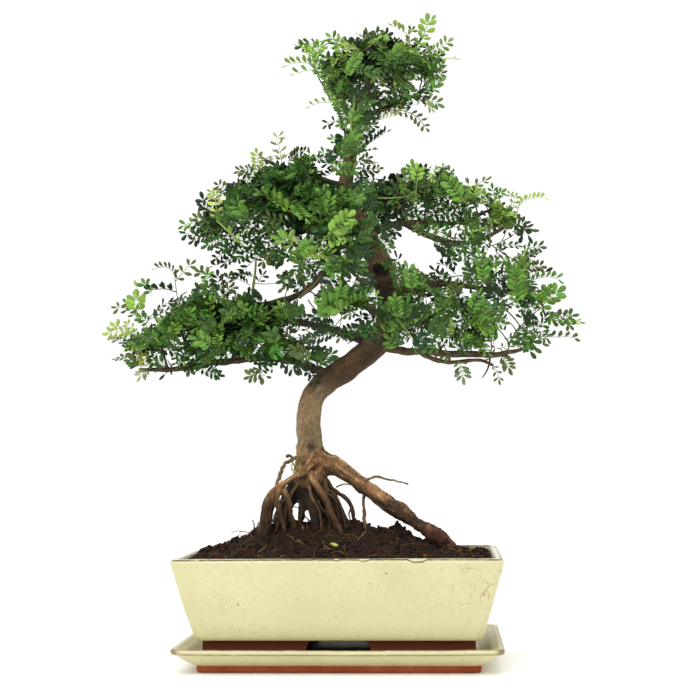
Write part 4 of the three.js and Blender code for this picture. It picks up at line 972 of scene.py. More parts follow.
# the upper stem is browner and more fibrous
hh = smooth(380, 430, v[:, 2])[:, None]
trunk_col = trunk_col * (1 - hh) + (np.array([128, 104, 76]) * (1 + 0.25 * ridge[:, None])) * hh
root_col = R_MAIN + (R_LIGHT - R_MAIN) * smooth(0.05, 0.6, ridge + 0.4 * fine)[:, None]
root_col = root_col + (R_DARK - root_col) * (0.75 * smooth(0.05, 0.65, -(ridge + 0.35 * lump)))[:, None]
root_col = root_col * (0.88 + 0.2 * m1) * [0.99, 0.955, 0.89]
# below the scar the trunk stands in the crown's shade: painted shade, nearly black
scar_crown_shade = (smooth(412, 400, v[:, 2]) * smooth(356, 372, v[:, 2]))[:, None]
trunk_col = trunk_col * (1 - 0.34 * scar_crown_shade)
col = trunk_col * (1 - root_like[:, None]) + root_col * root_like[:, None]
# painted shade in the hollow between the roots, where the stump's rotten wood is also darkened nearly black
rotten_core_shade = np.clip(core, 0, 1)[:, None]
root_shadow = smooth(6, -14, -v[:, 1] - 6)[:, None] * root_like[:, None] * smooth(205, 180, v[:, 2])[:, None]
col = col * (1 - 0.42 * root_shadow)
# painted shade darkens the root masses and legs low down behind the front roots
deep_root_shade = np.isin(which, [i for i, (n, _) in enumerate(limbs) if n.startswith(("ROOT_MASS", "ROOT_LEG"))]).astype(float) * smooth(206, 184, v[:, 2])
col = col * (1 - 0.72 * deep_root_shade[:, None])
# the stump's front between the arching roots is in their shade
hidden_front = is_trunk * smooth(206, 192, v[:, 2])
col = col * (1 - 0.55 * hidden_front[:, None])
# painted shade on the undersides, a painted highlight on the tops
root_underside_shade = (smooth(0.15, -0.6, nrm[:, 2]) * smooth(232, 214, v[:, 2]))[:, None]
col = col * (1 - 0.42 * root_underside_shade * root_like[:, None])
root_top_highlight = (smooth(0.35, 0.85, nrm[:, 2]) * root_like * smooth(-0.25, 0.35, fbm(vw / 5.0, 3, 98)) * smooth(168, 182, v[:, 2]))[:, None]
col = col + (np.array([214, 178, 140]) - col) * 0.34 * root_top_highlight
# dark cracks and specks of dirt round the collar, a breath of moss
cracks = (collar * smooth(0.10, 0.42, -(fbm(vw / 3.6, 3, 99) + 0.4 * ridge)))[:, None]
col = col * (1 - 0.50 * cracks) + np.array([70, 52, 34]) * 0.50 * cracks
moss = (np.exp(-(((v[:, 0] + 42) / 9) ** 2 + ((v[:, 2] - 212) / 15) ** 2)) + 0.8 * np.exp(-(((v[:, 0] + 5) / 8) ** 2 + ((v[:, 2] - 206) / 7) ** 2)))
moss = (np.clip(moss, 0, 1) * smooth(-0.2, 0.4, fbm(vw / 3.2, 3, 100)))[:, None] * 0.42
col = col * (1 - moss) + np.array([118, 118, 62]) * moss
# the rotten stump core: dark wood, darkened nearly black as painted shade
col = col * (1 - 0.9 * rotten_core_shade) + np.array([34, 25, 17]) * 0.9 * rotten_core_shade
# soil stains on what stands near the ground, and the reddish end of the long root
low = smooth(194, 154, v[:, 2] + 11 * fbm(v / 9.0, 3, 70))[:, None] * root_like[:, None] * (1 - 0.45 * smooth(20, 40, v[:, 0]) * smooth(96, 80, v[:, 0]))[:, None]
col = col * (1 - 0.8 * low) + np.array([56, 40, 27]) * 0.8 * low
far_right = (smooth(66, 96, v[:, 0]) * smooth(168, 150, v[:, 2]))[:, None]
bare = smooth(-0.1, 0.35, fbm(v / 6.0, 3, 95))[:, None]
col = col * (1 - 0.7 * far_right) + (np.array([84, 52, 36]) * (1 - bare) + np.array([150, 112, 82]) * bare) * (1 + 0.35 * fine[:, None]) * 0.7 * far_right
# cracked dark crust on the long root's lower half and its nearly black tip
cr = (crust * smooth(-0.20, 0.08, fbm(vw / 3.8, 3, 101)))[:, None] * 0.82
col = col * (1 - cr) + np.array([56, 41, 28]) * (1 + 0.4 * fine[:, None]) * cr
tip = (smooth(86, 102, v[:, 0]) * smooth(150, 140, v[:, 2]) * smooth(-0.5, 0.1, fbm(v / 5.0, 2, 102)))[:, None] * 0.78
col = col * (1 - tip) + np.array([66, 38, 30]) * (1 + 0.4 * fine[:, None]) * tip
# dark fibres in the wound, a brown stain above it
h3 = hollow[:, None]
dead = np.array([32, 27, 18]) * (1 + 0.8 * np.clip(fbm(v / 1.7, 2, 80), -0.6, 1))[:, None]
col = col * (1 - h3) + dead * h3
lp = (lipb * (1 - hollow))[:, None] * 0.6
col = col * (1 - lp) + np.array([112, 92, 66]) * lp
stain = (np.exp(-(((v[:, 0] - 27) / 10) ** 2 + ((v[:, 2] - 428) / 12) ** 2)) * smooth(0, 0.5, facing))[:, None]
col = col * (1 - 0.55 * stain) + np.array([84, 58, 36]) * 0.55 * stain
lich = smooth(4.2, 1.6, np.linalg.norm((v - at(318, 388, -2)) * [1, 0.5, 0.8], axis=1) + 1.4 * fbm(v / 2.2, 2, 104))[:, None]
col = col * (1 - 0.6 * lich) + np.array([150, 146, 118]) * 0.6 * lich
kn = smooth(5.4, 1.8, to_knot + 1.2 * fbm(v / 2.4, 2, 103))[:, None]
col = col * (1 - 0.8 * kn) + np.array([64, 50, 34]) * 0.8 * kn
# darker in the cavities, by their depth
cav = (smooth(0.35, 0.9, -d / (0.6 + 0.8 * root_like)) * (0.15 + 0.85 * root_like))[:, None] * (1 - h3)
col = col * (1 - 0.30 * cav)
col = np.clip(col, 4, 250)

trunk_soup = Soup()


def srgb(c):
    c = np.asarray(c, float) / 255
    return np.where(c <= 0.04045, c / 12.92, ((c + 0.055) / 1.055) ** 2.4)


trunk_soup.add(v2, f, srgb(col))


for k, (name, path) in enumerate(limbs):
    if name not in THIN:
        continue
    c = catmull(path, 10)
    jit = np.column_stack([value_noise(np.column_stack([np.arange(len(c)) / 4.0, np.full(len(c), 9.0 + k), np.full(len(c), q)]), 33) for q in range(3)])
    c[:, :3] += jit * 0.7
    c[:, 3] *= 1 + 0.22 * value_noise(np.column_stack([np.arange(len(c)) / 2.5, np.full(len(c), k), np.zeros(len(c))]), 35)
    tv, tf = tube(c[:, :3], c[:, 3], 10, lumps=0.2, seed=90 + k)
    tone = np.array([128, 100, 70]) * (1 + 0.22 * value_noise(tv / 3.0, 36))[:, None]
    if name == "ROOT_TWIG":
        tone = np.array([120, 92, 58]) * (1 + 0.2 * value_noise(tv / 4.0, 37))[:, None]
    if name == "ROOT_PEG":
        tone = np.array([112, 84, 62]) * (1 + 0.25 * value_noise(tv / 3.0, 38))[:, None]
    trunk_soup.add(tv, tf, srgb(np.clip(tone, 5, 250)))

def in_gap(p):
    """Whether a strand would cross one of the daylight gaps between the roots."""
    uv = project(p)
    for o in ROOT_GAPS:
        o = np.array(o)
        mid = o.mean(0)
        near_ = np.linalg.norm((uv - mid) / (np.ptp(o, axis=0) / 2 + 0.9), axis=1)
        if (near_ < 1).any():
            return True
    return False


# rootlets, fibres and the small green sprouts, placed from the front
def hair(points, r0, r1, colour, sides=5, per=5, lumps=0.15, seed=0, anywhere=False):
    c = catmull(np.array(points, float), per)
    if not anywhere and in_gap(catmull(np.array(points, float), 24)[:, :3]):
        return
    rad = np.linspace(r0, r1, len(c))
    tv, tf = tube(c[:, :3], rad, sides, lumps=lumps, seed=seed, point_end=True)
    c_ = np.array(colour) * np.ones((len(tv), 1)) * (1 + 0.18 * value_noise(tv / 2.5, seed + 3))[:, None]
    # soil clings to the lower ends
    dirt = (smooth(196, 158, tv[:, 2] + 9 * fbm(tv / 8.0, 3, 74)) * smooth(26, 10, tv[:, 0]))[:, None] * 0.76
    trunk_soup.add(tv, tf, srgb(c_ * (1 - dirt) + np.array([50, 36, 25]) * dirt))


g = rng(11)
for (pts, r0, r1, tone) in [
    ([(297, 472), (294.5, 466), (291, 459.5)], 0.8, 0.6, (104, 104, 60)),
    ([(286.6, 456.6), (289, 455.4), (291.8, 457)], 1.7, 1.2, (72, 72, 50)),
    ([(292.4, 471), (291.6, 466), (293.4, 462)], 0.7, 0.4, (118, 132, 62)),
    ([(336, 487), (345, 484), (356, 487), (364, 493)], 0.9, 0.35, (150, 120, 80)),
    ([(285, 500), (275, 502), (268, 507), (262, 516)], 1.0, 0.5, (134, 104, 70)),
    ([(283, 512), (276, 517), (271, 523), (266, 530)], 1.1, 0.6, (120, 92, 62)),
    ([(291, 494), (292, 505), (289, 515), (288, 526)], 1.3, 0.8, (150, 122, 84)),
    ([(318, 500), (322, 509), (330, 516), (334, 527)], 1.3, 0.7, (150, 118, 78)),
    ([(306, 492), (303, 504), (304, 516), (300, 527)], 1.5, 0.9, (140, 112, 76)),
    ([(299, 498), (296, 509), (297, 519), (293, 528)], 1.2, 0.7, (158, 130, 90)),
    ([(325, 492), (334, 498), (342, 508), (347, 522)], 1.5, 0.8, (128, 100, 68)),
    ([(353, 506), (349, 513), (350, 520), (347, 527)], 1.0, 0.5, (120, 94, 66)),
    ([(283, 519), (283.5, 523), (283, 528)], 1.3, 0.9, (196, 128, 66)),
    ([(340, 524), (341.5, 528), (341, 533)], 1.2, 0.9, (190, 122, 62)),
    ([(297, 469), (295.5, 463), (297, 458)], 0.7, 0.4, (128, 150, 66)),
    ([(283, 486), (281.6, 483), (281, 479)], 0.7, 0.4, (120, 140, 60)),
    ([(254, 531), (254.6, 526), (253.2, 520)], 0.6, 0.35, (110, 84, 54)),
    ([(258, 531), (257.4, 527), (258.6, 523)], 0.55, 0.3, (118, 92, 58)),
    ([(262, 531), (261, 527), (263, 524)], 0.55, 0.3, (104, 80, 50)),
]:
    y = -20 + 8 * g.normal() if len(pts) > 3 else -16
    q = [at(u_, v_, y - 1.5 * i) for i, (u_, v_) in enumerate(pts)]
    hair(q, r0 * 1.05, r1 * 1.05, tone, 6, 5, 0.2, int(g.integers(1000)))
# a dark strand that crosses the gaps
hair([at(290.5, 508.2, -14), at(294, 506.8, -14), at(300, 508.4, -15), at(307, 510.4, -14)], 0.55, 0.45, (60, 46, 34), 6, 5, 0.2, 611, anywhere=True)
hair([at(303.6, 511.5, -12), at(305.4, 516.6, -13), at(309.8, 520.8, -13), at(313, 523.4, -14)], 0.85, 0.7, (46, 36, 26), 6, 5, 0.2, 612, anywhere=True)
# tangle of thin roots that fill the cone under the trunk
for (pts, r0, r1, tone) in [
    ([(305, 486), (303, 500), (297, 514), (293, 531)], 2.2, 1.5, (150, 122, 82)),
    ([(309, 484), (312, 498), (319, 510), (322, 530)], 2.0, 1.3, (158, 128, 84)),
    ([(300, 480), (292, 493), (286, 508), (285, 530)], 1.8, 1.3, (120, 94, 62)),
    ([(314, 480), (324, 492), (331, 508), (336, 529)], 2.1, 1.3, (136, 108, 70)),
    ([(306, 492), (308, 506), (306, 518), (309, 531)], 1.2, 0.9, (104, 80, 54)),
    ([(322, 486), (334, 494), (341, 506), (346, 528)], 1.4, 1.0, (116, 90, 60)),
    ([(298, 500), (302, 511), (300, 521), (304, 531)], 0.9, 0.7, (142, 114, 78)),
    ([(311, 499), (315, 512), (314, 522), (317, 531)], 1.0, 0.7, (98, 74, 50)),
    ([(288, 498), (281, 508), (279, 520), (276, 531)], 1.2, 0.9, (128, 100, 68)),
    ([(327, 500), (326, 512), (330, 522), (328, 531)], 1.2, 0.8, (120, 92, 60)),
]:
    q = [at(u_, v_, -11 - 4.5 * i + 2 * g.normal()) for i, (u_, v_) in enumerate(pts)]
    hair(q, r0, r1, tone, 8, 6, 0.28, int(g.integers(1000)))
n_fill = 46
for k in range(n_fill):
    a = g.uniform(0, 2 * math.pi)
    top = np.array([-32 + 9 * math.cos(a), 4 + 9 * math.sin(a), g.uniform(166, 198)])
    out = g.uniform(16, 44)
    foot_p = np.array([-32 + out * 0.95 * math.cos(a), 5 + out * 0.85 * math.sin(a), 134.0])
    if foot_p[0] > 16:
        continue
    mid = top * 0.5 + foot_p * 0.5 + np.array([math.cos(a), math.sin(a), 0]) * g.uniform(2, 9) + g.normal(0, 2.4, 3)
    q1 = top * 0.78 + mid * 0.22 + g.normal(0, 2, 3)
    q2 = mid * 0.45 + foot_p * 0.55 + g.normal(0, 2.4, 3)
    r_ = g.uniform(0.7, 2.2)
    shade = g.uniform(0.62, 1.08)
    hair([top, q1, mid, q2, foot_p], r_ * 1.25, r_ * 0.75, np.array([140, 112, 76]) * shade, 7, 5, 0.25, 200 + k)

tree_trunk = trunk_soup.object("trunk_and_roots", [BARK])
print("trunk triangles", trunk_soup.tris())
finish_piece(tree_trunk, "trunk_with_roots")


# ------------------------------------------------------------------ soil, gravel, screens
RIDGE = np.array([[-156, 110], [-150, 114], [-133, 119], [-118, 124], [-106, 129], [-94, 133.5], [-86, 137], [-70, 141], [-50, 143], [-20, 143.6], [5, 144.6], [15, 144], [24, 141.5], [32, 136], [40, 136.5], [52, 137], [62, 133], [72, 129], [84, 124.5], [98, 120], [115, 116.5], [135, 113.5], [156, 110]], float)


def soil_height(x, y):
    h = np.interp(x, RIDGE[:, 0], RIDGE[:, 1])
    spread = 46 + 0.12 * (60 - np.abs(x + 20))
    across = np.exp(-((y - 8) ** 2) / (2 * spread * spread))
    edge = np.minimum(1, (108 - np.abs(y)) / 26)
    rough = 0.8 * np.sin(0.21 * x + 0.13 * y) + 0.7 * np.sin(0.17 * y - 0.09 * x + 2)
    return 110 + (h - 110) * across * edge + rough * np.maximum(0, edge)


def soil_top(x, y):
    """The packed soil's height with its grains and clods."""
    q = np.column_stack([x, y, np.zeros_like(x)])
    h = soil_height(x, y)
    inside = np.minimum(1, np.minimum(156 - np.abs(x), 106 - np.abs(y)) / 6)
    # soil heaped against the long root's end, and a lump below its middle
    for bx, by, rise, reach in ((at(454, 548, -24)[0], -24, 6.0, 13.0), (at(398, 529, 7)[0], 7, 8.5, 6.0), (at(407, 529, 2)[0], 2, 3.5, 6.0)):
        h = h + rise * np.exp(-((x - bx) ** 2 + (y - by) ** 2) / reach ** 2)
    h = h + np.clip(inside, 0, 1) * (1.5 * fbm(q / 13, 3, 5) + 1.3 * np.abs(fbm(q / 5.0, 3, 6)) + 0.8 * value_noise(q / 2.1, 7)) - 0.8
    return h


step = 1.85
nx, ny = int(309.0 / step), int(209.0 / step)
gx, gy = np.meshgrid(np.linspace(-154.5, 154.5, nx), np.linspace(-104.5, 104.5, ny), indexing="ij")
gx, gy = gx.ravel(), gy.ravel()
cr = 6.0
cxn, cyn = np.clip(gx, -154.5 + cr, 154.5 - cr), np.clip(gy, -104.5 + cr, 104.5 - cr)
ox, oy = gx - cxn, gy - cyn
oo = np.hypot(ox, oy)
sc = np.where(oo > cr, cr / np.maximum(oo, 1e-6), 1.0)
gx, gy = cxn + ox * sc, cyn + oy * sc
gz = soil_top(gx, gy)
top = np.column_stack([gx, gy, gz])
i, j = np.meshgrid(np.arange(nx - 1), np.arange(ny - 1), indexing="ij")
q = np.stack([i * ny + j, (i + 1) * ny + j, (i + 1) * ny + j + 1, i * ny + j + 1], -1).reshape(-1, 4)
soil_f = [q[:, [0, 1, 2]], q[:, [0, 2, 3]]]
loop = [a * ny for a in range(nx)] + [(nx - 1) * ny + b for b in range(1, ny)] + [a * ny + ny - 1 for a in range(nx - 2, -1, -1)] + [b for b in range(ny - 2, 0, -1)]
loop = np.array(loop)
levels = [100.0, 78.0, 54.6]
inset = [2.4, 8.2, 15.5]
rows_v, base = [top], len(top)
prev = loop
for z_, in_ in zip(levels, inset):
    e = top[loop].copy()
    e[:, 0] *= (154.5 - in_) / 154.5
    e[:, 1] *= (104.5 - in_) / 104.5
    e[:, 2] = z_
    rows_v.append(e)
    cur = np.arange(base, base + len(loop))
    nxt, pn = np.roll(cur, -1), np.roll(prev, -1)
    soil_f += [np.stack([prev, cur, nxt], 1), np.stack([prev, nxt, pn], 1)]
    prev, base = cur, base + len(loop)
rows_v.append(np.array([[0, 0, 54.6]]))
soil_f.append(np.stack([np.roll(prev, -1), prev, np.full(len(prev), base)], 1))
sv_ = np.vstack(rows_v)
dark, mid_, red, tan_ = np.array([46, 35, 26]), np.array([66, 50, 36]), np.array([80, 46, 34]), np.array([96, 76, 50])
w = smooth(-0.3, 0.5, fbm(sv_ / 6.0, 3, 15))[:, None]
soil_col = dark * (1 - w) + mid_ * w
w = smooth(0.25, 0.6, fbm(sv_ / 9.0, 3, 16))[:, None]
soil_col = soil_col * (1 - 0.6 * w) + red * 0.6 * w
w = smooth(0.4, 0.6, value_noise(sv_ / 1.6, 17))[:, None]
soil_col = soil_col * (1 - 0.35 * w) + tan_ * 0.35 * w
soil_soup = Soup()
soil_soup.add(sv_, np.vstack(soil_f), srgb(soil_col * [0.78, 0.72, 0.65]))

PHI = (1 + 5 ** 0.5) / 2
ICO_V = unit(np.array([[-1, PHI, 0], [1, PHI, 0], [-1, -PHI, 0], [1, -PHI, 0], [0, -1, PHI], [0, 1, PHI], [0, -1, -PHI], [0, 1, -PHI], [PHI, 0, -1], [PHI, 0, 1], [-PHI, 0, -1], [-PHI, 0, 1]], float))
ICO_F = np.array([[0, 11, 5], [0, 5, 1], [0, 1, 7], [0, 7, 10], [0, 10, 11], [1, 5, 9], [5, 11, 4], [11, 10, 2], [10, 7, 6], [7, 1, 8], [3, 9, 4], [3, 4, 2], [3, 2, 6], [3, 6, 8], [3, 8, 9], [4, 9, 5], [2, 4, 11], [6, 2, 10], [8, 6, 7], [9, 8, 1]])


def random_turn(g, n):
    q = g.normal(size=(n, 4))
    q /= np.linalg.norm(q, axis=1, keepdims=True)
    w_, x, y, z = q.T
    return np.stack([np.stack([1 - 2 * (y * y + z * z), 2 * (x * y - z * w_), 2 * (x * z + y * w_)], -1),
                     np.stack([2 * (x * y + z * w_), 1 - 2 * (x * x + z * z), 2 * (y * z - x * w_)], -1),
                     np.stack([2 * (x * z - y * w_), 2 * (y * z + x * w_), 1 - 2 * (x * x + y * y)], -1)], 1)


def clods(soup, g, centres, sizes, colours, squash=(1.0, 0.8, 0.62), rough=0.22):
    n = len(centres)
    body = ICO_V[None] * (1 + g.uniform(-rough, rough, (n, 12, 1))) * np.array(squash)
    body = np.einsum("nij,nkj->nki", random_turn(g, n), body) * sizes[:, None, None]
    v_ = (centres[:, None, :] + body).reshape(-1, 3)
    f_ = (ICO_F[None] + (np.arange(n) * 12)[:, None, None]).reshape(-1, 3)
    tone = np.repeat(colours, 12, 0) * (1 + g.uniform(-0.12, 0.12, (n * 12, 1)))
    soup.add(v_, f_, srgb(np.clip(tone, 3, 250)))


g = rng(5)
n = 3400
xs, ys = g.uniform(-152.5, 152.5, n), g.uniform(-102.5, 102.5, n)
sizes = np.exp(g.normal(0.35, 0.42, n))
sizes = np.clip(sizes, 0.7, 3.4)
zs = soil_top(xs, ys) + sizes * 0.18
pick = g.random(n)
palette = np.array([[34, 25, 18], [48, 35, 24], [60, 44, 31], [82, 42, 30], [26, 20, 16], [96, 74, 48], [56, 58, 30], [72, 60, 46]]) * [0.94, 0.86, 0.78]
which_c = np.searchsorted(np.cumsum([0.26, 0.26, 0.16, 0.1, 0.12, 0.035, 0.03, 0.035]), pick).clip(0, 7)
clods(soil_soup, g, np.column_stack([xs, ys, zs]), sizes, palette[which_c].astype(float))
# bigger crumbs along the crest and the slope that shows against the light
n = 300
xs = g.uniform(-150, 130, n)
ys = g.normal(8, 16, n)
sizes = g.uniform(1.3, 2.9, n)
clods(soil_soup, g, np.column_stack([xs, ys, soil_top(xs, ys) + sizes * 0.4]), sizes, palette[g.integers(0, 5, n)].astype(float), rough=0.3)
# fibres in the soil
for k in range(170):
    x0, y0 = g.uniform(-148, 148), g.uniform(-100, 60)
    a, ln = g.uniform(0, 2 * math.pi), g.uniform(5, 17)
    t = np.linspace(0, 1, 5)
    bend = g.uniform(-0.5, 0.5) * ln
    px = x0 + ln * t * math.cos(a) - bend * t * t * math.sin(a)
    py = y0 + ln * t * math.sin(a) + bend * t * t * math.cos(a)
    px, py = np.clip(px, -152, 152), np.clip(py, -102, 102)
    pz = soil_top(px, py) + 0.5 + g.uniform(0.3, 2.6) * np.sin(t * math.pi) + 0.3
    tv, tf = tube(np.column_stack([px, py, pz]), np.full(5, g.uniform(0.22, 0.42)), 3)
    tone = [(120, 92, 58), (92, 66, 42), (150, 122, 80), (60, 44, 30)][int(g.integers(0, 4))]
    soil_soup.add(tv, tf, srgb(np.array(tone)))
# a dark rootlet and a few upright twigs that stand up from the mound left of the roots
for path, r0, r1, tone in (
        ([(252.5, 535.5, 4), (248.5, 532.4, 4), (243, 531.6, 3), (238, 530.9, 2), (234.5, 531.3, 1), (231.2, 532.8, 0)], 0.55, 0.38, (52, 36, 32)),
        ([(256, 534, 3), (256.6, 528.4, 3), (257.4, 524.8, 3), (258.6, 521.4, 3)], 0.5, 0.42, (58, 46, 38)),
        ([(254, 535, 2), (253.6, 527.6, 2), (253, 522.6, 2), (251.8, 519.2, 2)], 0.42, 0.28, (104, 94, 88)),
        ([(251.6, 535, 2), (251.2, 530.8, 2), (250.8, 528.2, 2)], 0.42, 0.3, (84, 60, 56)),
        ([(241, 531.4, 2.5), (239.4, 534, 2.5), (238.2, 537.6, 2.5)], 0.3, 0.26, (70, 50, 42))):
    row = np.array([at(*q) for q in path])
    tv, tf = tube(row, np.linspace(r0, r1, len(row)), 5)
    soil_soup.add(tv, tf, srgb(np.array(tone)))
# a chip of red bark
chip = at(424.6, 546.5, -70)
chip[2] = soil_top(np.array([chip[0]]), np.array([chip[1]]))[0] + 1.6
clods(soil_soup, g, chip[None], np.array([2.4]), np.array([[176, 74, 60.0]]))
soil = soil_soup.object("soil_surface", [SOIL], smooth_faces=False)
print("soil triangles", soil_soup.tris())
finish_piece(soil, "soil")

GRAVEL = Nodes("drainage_gravel")
p_ = GRAVEL.coords()
GRAVEL.colour(GRAVEL.mix(0.7, GRAVEL.attribute("tint").outputs["Color"], GRAVEL.ramp(GRAVEL.noise(p_, 420, 5, 0.7), [(0.3, 0.5), (0.6, 1.0), (0.8, 1.3)]), "MULTIPLY"))
GRAVEL.set(Roughness=0.9)
GRAVEL.bump(GRAVEL.noise(p_, 500, 5, 0.7), 0.6, 0.0008)
gs = Soup()
lv = [(39.7, 60, 20, 3), (39.7, 132.2, 82.2, 4), (43.2, 135.8, 85.8, 5), (49, 138, 88, 5), (53.4, 139.4, 89.4, 5), (53.4, 120, 70, 5), (53.4, 60, 20, 3)]
gv, gf = loft(lv, nx=60, ny=36, nc=3)
gv = gv + 0.35 * np.column_stack([value_noise(gv / 3.0, 3), value_noise(gv / 3.0, 4), value_noise(gv / 3.0, 5) * (gv[:, 2] > 41)])
gs.add(gv, gf, srgb(np.array([118, 108, 96])))
n = 700
xs, ys = g.uniform(-136, 136, n), g.uniform(-86, 86, n)
sizes = g.uniform(1.4, 2.6, n)
cols = np.array([[140, 130, 116], [112, 100, 88], [158, 146, 126], [96, 88, 80], [150, 118, 92]])[g.integers(0, 5, n)].astype(float)
clods(gs, g, np.column_stack([xs, ys, np.full(n, 54.0) - sizes * 0.55]), sizes, cols, (1, 0.85, 0.7), 0.15)
gravel = gs.object("gravel_layer", [GRAVEL.mat], False)
finish_piece(gravel, "drainage_gravel")

PLASTIC = Nodes("mesh_plastic")
p_ = PLASTIC.coords()
PLASTIC.colour(PLASTIC.ramp(PLASTIC.noise(p_, 300, 3, 0.6), [(0.3, lin(22, 24, 22)), (0.7, lin(44, 46, 43))]))
PLASTIC.rough(PLASTIC.ramp(PLASTIC.noise(p_, 900, 2, 0.5), [(0.3, 0.42), (0.7, 0.6)]))
PLASTIC.bump(PLASTIC.noise(p_, 1400, 3, 0.6), 0.3, 0.0003)
for name in ("drain_mesh_left", "drain_mesh_right"):
    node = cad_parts[name]
    node.data.materials.clear()
    node.data.materials.append(PLASTIC.mat)

WIRE = Nodes("wire")
p_ = WIRE.coords()
WIRE.colour(WIRE.ramp(WIRE.noise(p_, 500, 4, 0.6), [(0.3, lin(150, 146, 138)), (0.6, lin(186, 186, 184)), (0.8, lin(140, 124, 104))]))
WIRE.set(Metallic=0.9)
WIRE.rough(WIRE.ramp(WIRE.noise(p_, 700, 3, 0.6), [(0.3, 0.3), (0.7, 0.55)]))
WIRE.bump(WIRE.noise(p_, 1500, 3, 0.6), 0.25, 0.0002)
for name, x0 in (("mesh_wire_left", -72), ("mesh_wire_right", 72)):
    zt, zu = 39.3 + 1.2 + 0.3 + 0.8, 31 - 0.6 - 0.3 - 0.8
    pts = [(x0 - 22, 0, zu), (x0 - 15, 0, zu), (x0 - 8.6, 0, zu), (x0 - 7.1, 0, zu + 1.4), (x0 - 7, 0, 39.3), (x0 - 6.9, 0, zt - 1.3), (x0 - 5.2, 0, zt), (x0 + 5.2, 0, zt),
           (x0 + 6.9, 0, zt - 1.3), (x0 + 7, 0, 39.3), (x0 + 7.1, 0, zu + 1.4), (x0 + 8.6, 0, zu), (x0 + 15, 0, zu), (x0 + 22, 0, zu)]
    c = catmull(np.array(pts), 5)
    tv, tf = tube(c, np.full(len(c), 0.8), 10)
    w_ob = mesh_object(name + "_bent", tv, tf, [WIRE.mat])
    finish_piece(w_ob, name)


# ------------------------------------------------------------------ branches
branch_rows = []


def wood(soup, path, sides, seed, tone, per=6, lumps=0.16, wiggle=0.5):
    c = catmull(np.array(path, float), per)
    idx = np.arange(len(c)) / 3.0
    j3 = np.column_stack([value_noise(np.column_stack([idx, np.full(len(c), seed * 1.7 + q), np.zeros(len(c))]), 44) for q in range(3)])
    fade = np.minimum(1, np.arange(len(c)) / 3.0)[:, None]
    c[:, :3] += j3 * wiggle * fade
    c[:, 3] *= 1 + 0.13 * value_noise(np.column_stack([idx * 1.7, np.full(len(c), seed * 2.1), np.zeros(len(c))]), 45)
    tv, tf = tube(c[:, :3], c[:, 3], sides, lumps=lumps, seed=int(seed * 10) % 997)
    shade = 1 + 0.2 * value_noise(tv / 4.0, 46) + 0.14 * value_noise(tv / 1.5, 47)
    soup.add(tv, tf, srgb(np.clip(np.array(tone) * shade[:, None], 4, 250)))
    return c


TW_BROWN, TW_DARK = (88, 74, 55), (54, 44, 32)
g = rng(21)
branch_samples = []
for bi, (name, paths) in enumerate(BRANCH_PATHS.items()):
    soup = Soup()
    for pi, path in enumerate(paths):
        path = np.array(path, float)
        tone = TW_BROWN if "back" not in name else TW_DARK
        if name == "branch_low_left":
            tone = (66, 55, 41)
        if name == "branch_crown_left":
            # a young green shoot that bends up close to the stem
            path[1:, :3] += np.array([[5, 0, 2], [11, 0, 5], [15, 0, 8], [20, 0, 15]])[:len(path) - 1]
            path[:, 3] *= 0.5
            tone = (78, 84, 50)
        c = wood(soup, path, 12, bi * 3.1 + pi, tone, per=7)
        branch_samples.append(c[:int(0.86 * len(c))])
        if name == "branch_crown_left":
            continue
        # short spurs and bare twig ends
        for k in range(5, len(c) - 4, 5):
            if g.random() < 0.5:
                continue
            t = unit(c[k + 1, :3] - c[k - 1, :3])
            side = unit(np.cross(t, g.normal(size=3)))
            d_ = unit(side * 0.9 + t * 0.5 + np.array([0, 0, 0.35]))
            ln = g.uniform(5, 17)
            q = np.array([c[k, :3], c[k, :3] + d_ * ln * 0.5 + g.normal(0, 0.6, 3), c[k, :3] + d_ * ln + g.normal(0, 1.2, 3)])
            wood(soup, np.column_stack([q, [c[k, 3] * 0.6, 0.7, 0.4]]), 6, bi * 3.1 + pi + k * 0.37, TW_DARK if g.random() < 0.4 else TW_BROWN, per=3, wiggle=0.2)
    if name == "branch_low_right":
        # a dead black stub that hangs from the side shoot
        stub = np.array([at(490, 359.5, -38), at(489, 364, -38), at(486.5, 371, -39), at(482, 378, -40)])
        wood(soup, np.column_stack([stub, [1.1, 0.95, 0.8, 0.45]]), 6, 71.3, (34, 30, 25), per=4, lumps=0.2, wiggle=0.25)
    ob = soup.object(name + "_wood", [TWIG])
    finish_piece(ob, name)
branch_samples = np.vstack(branch_samples)
trunk_c = catmull(np.array(dict(LIMBS)["TRUNK"], float), 10)
wood_points = np.vstack([branch_samples, trunk_c[trunk_c[:, 2] > 330]])


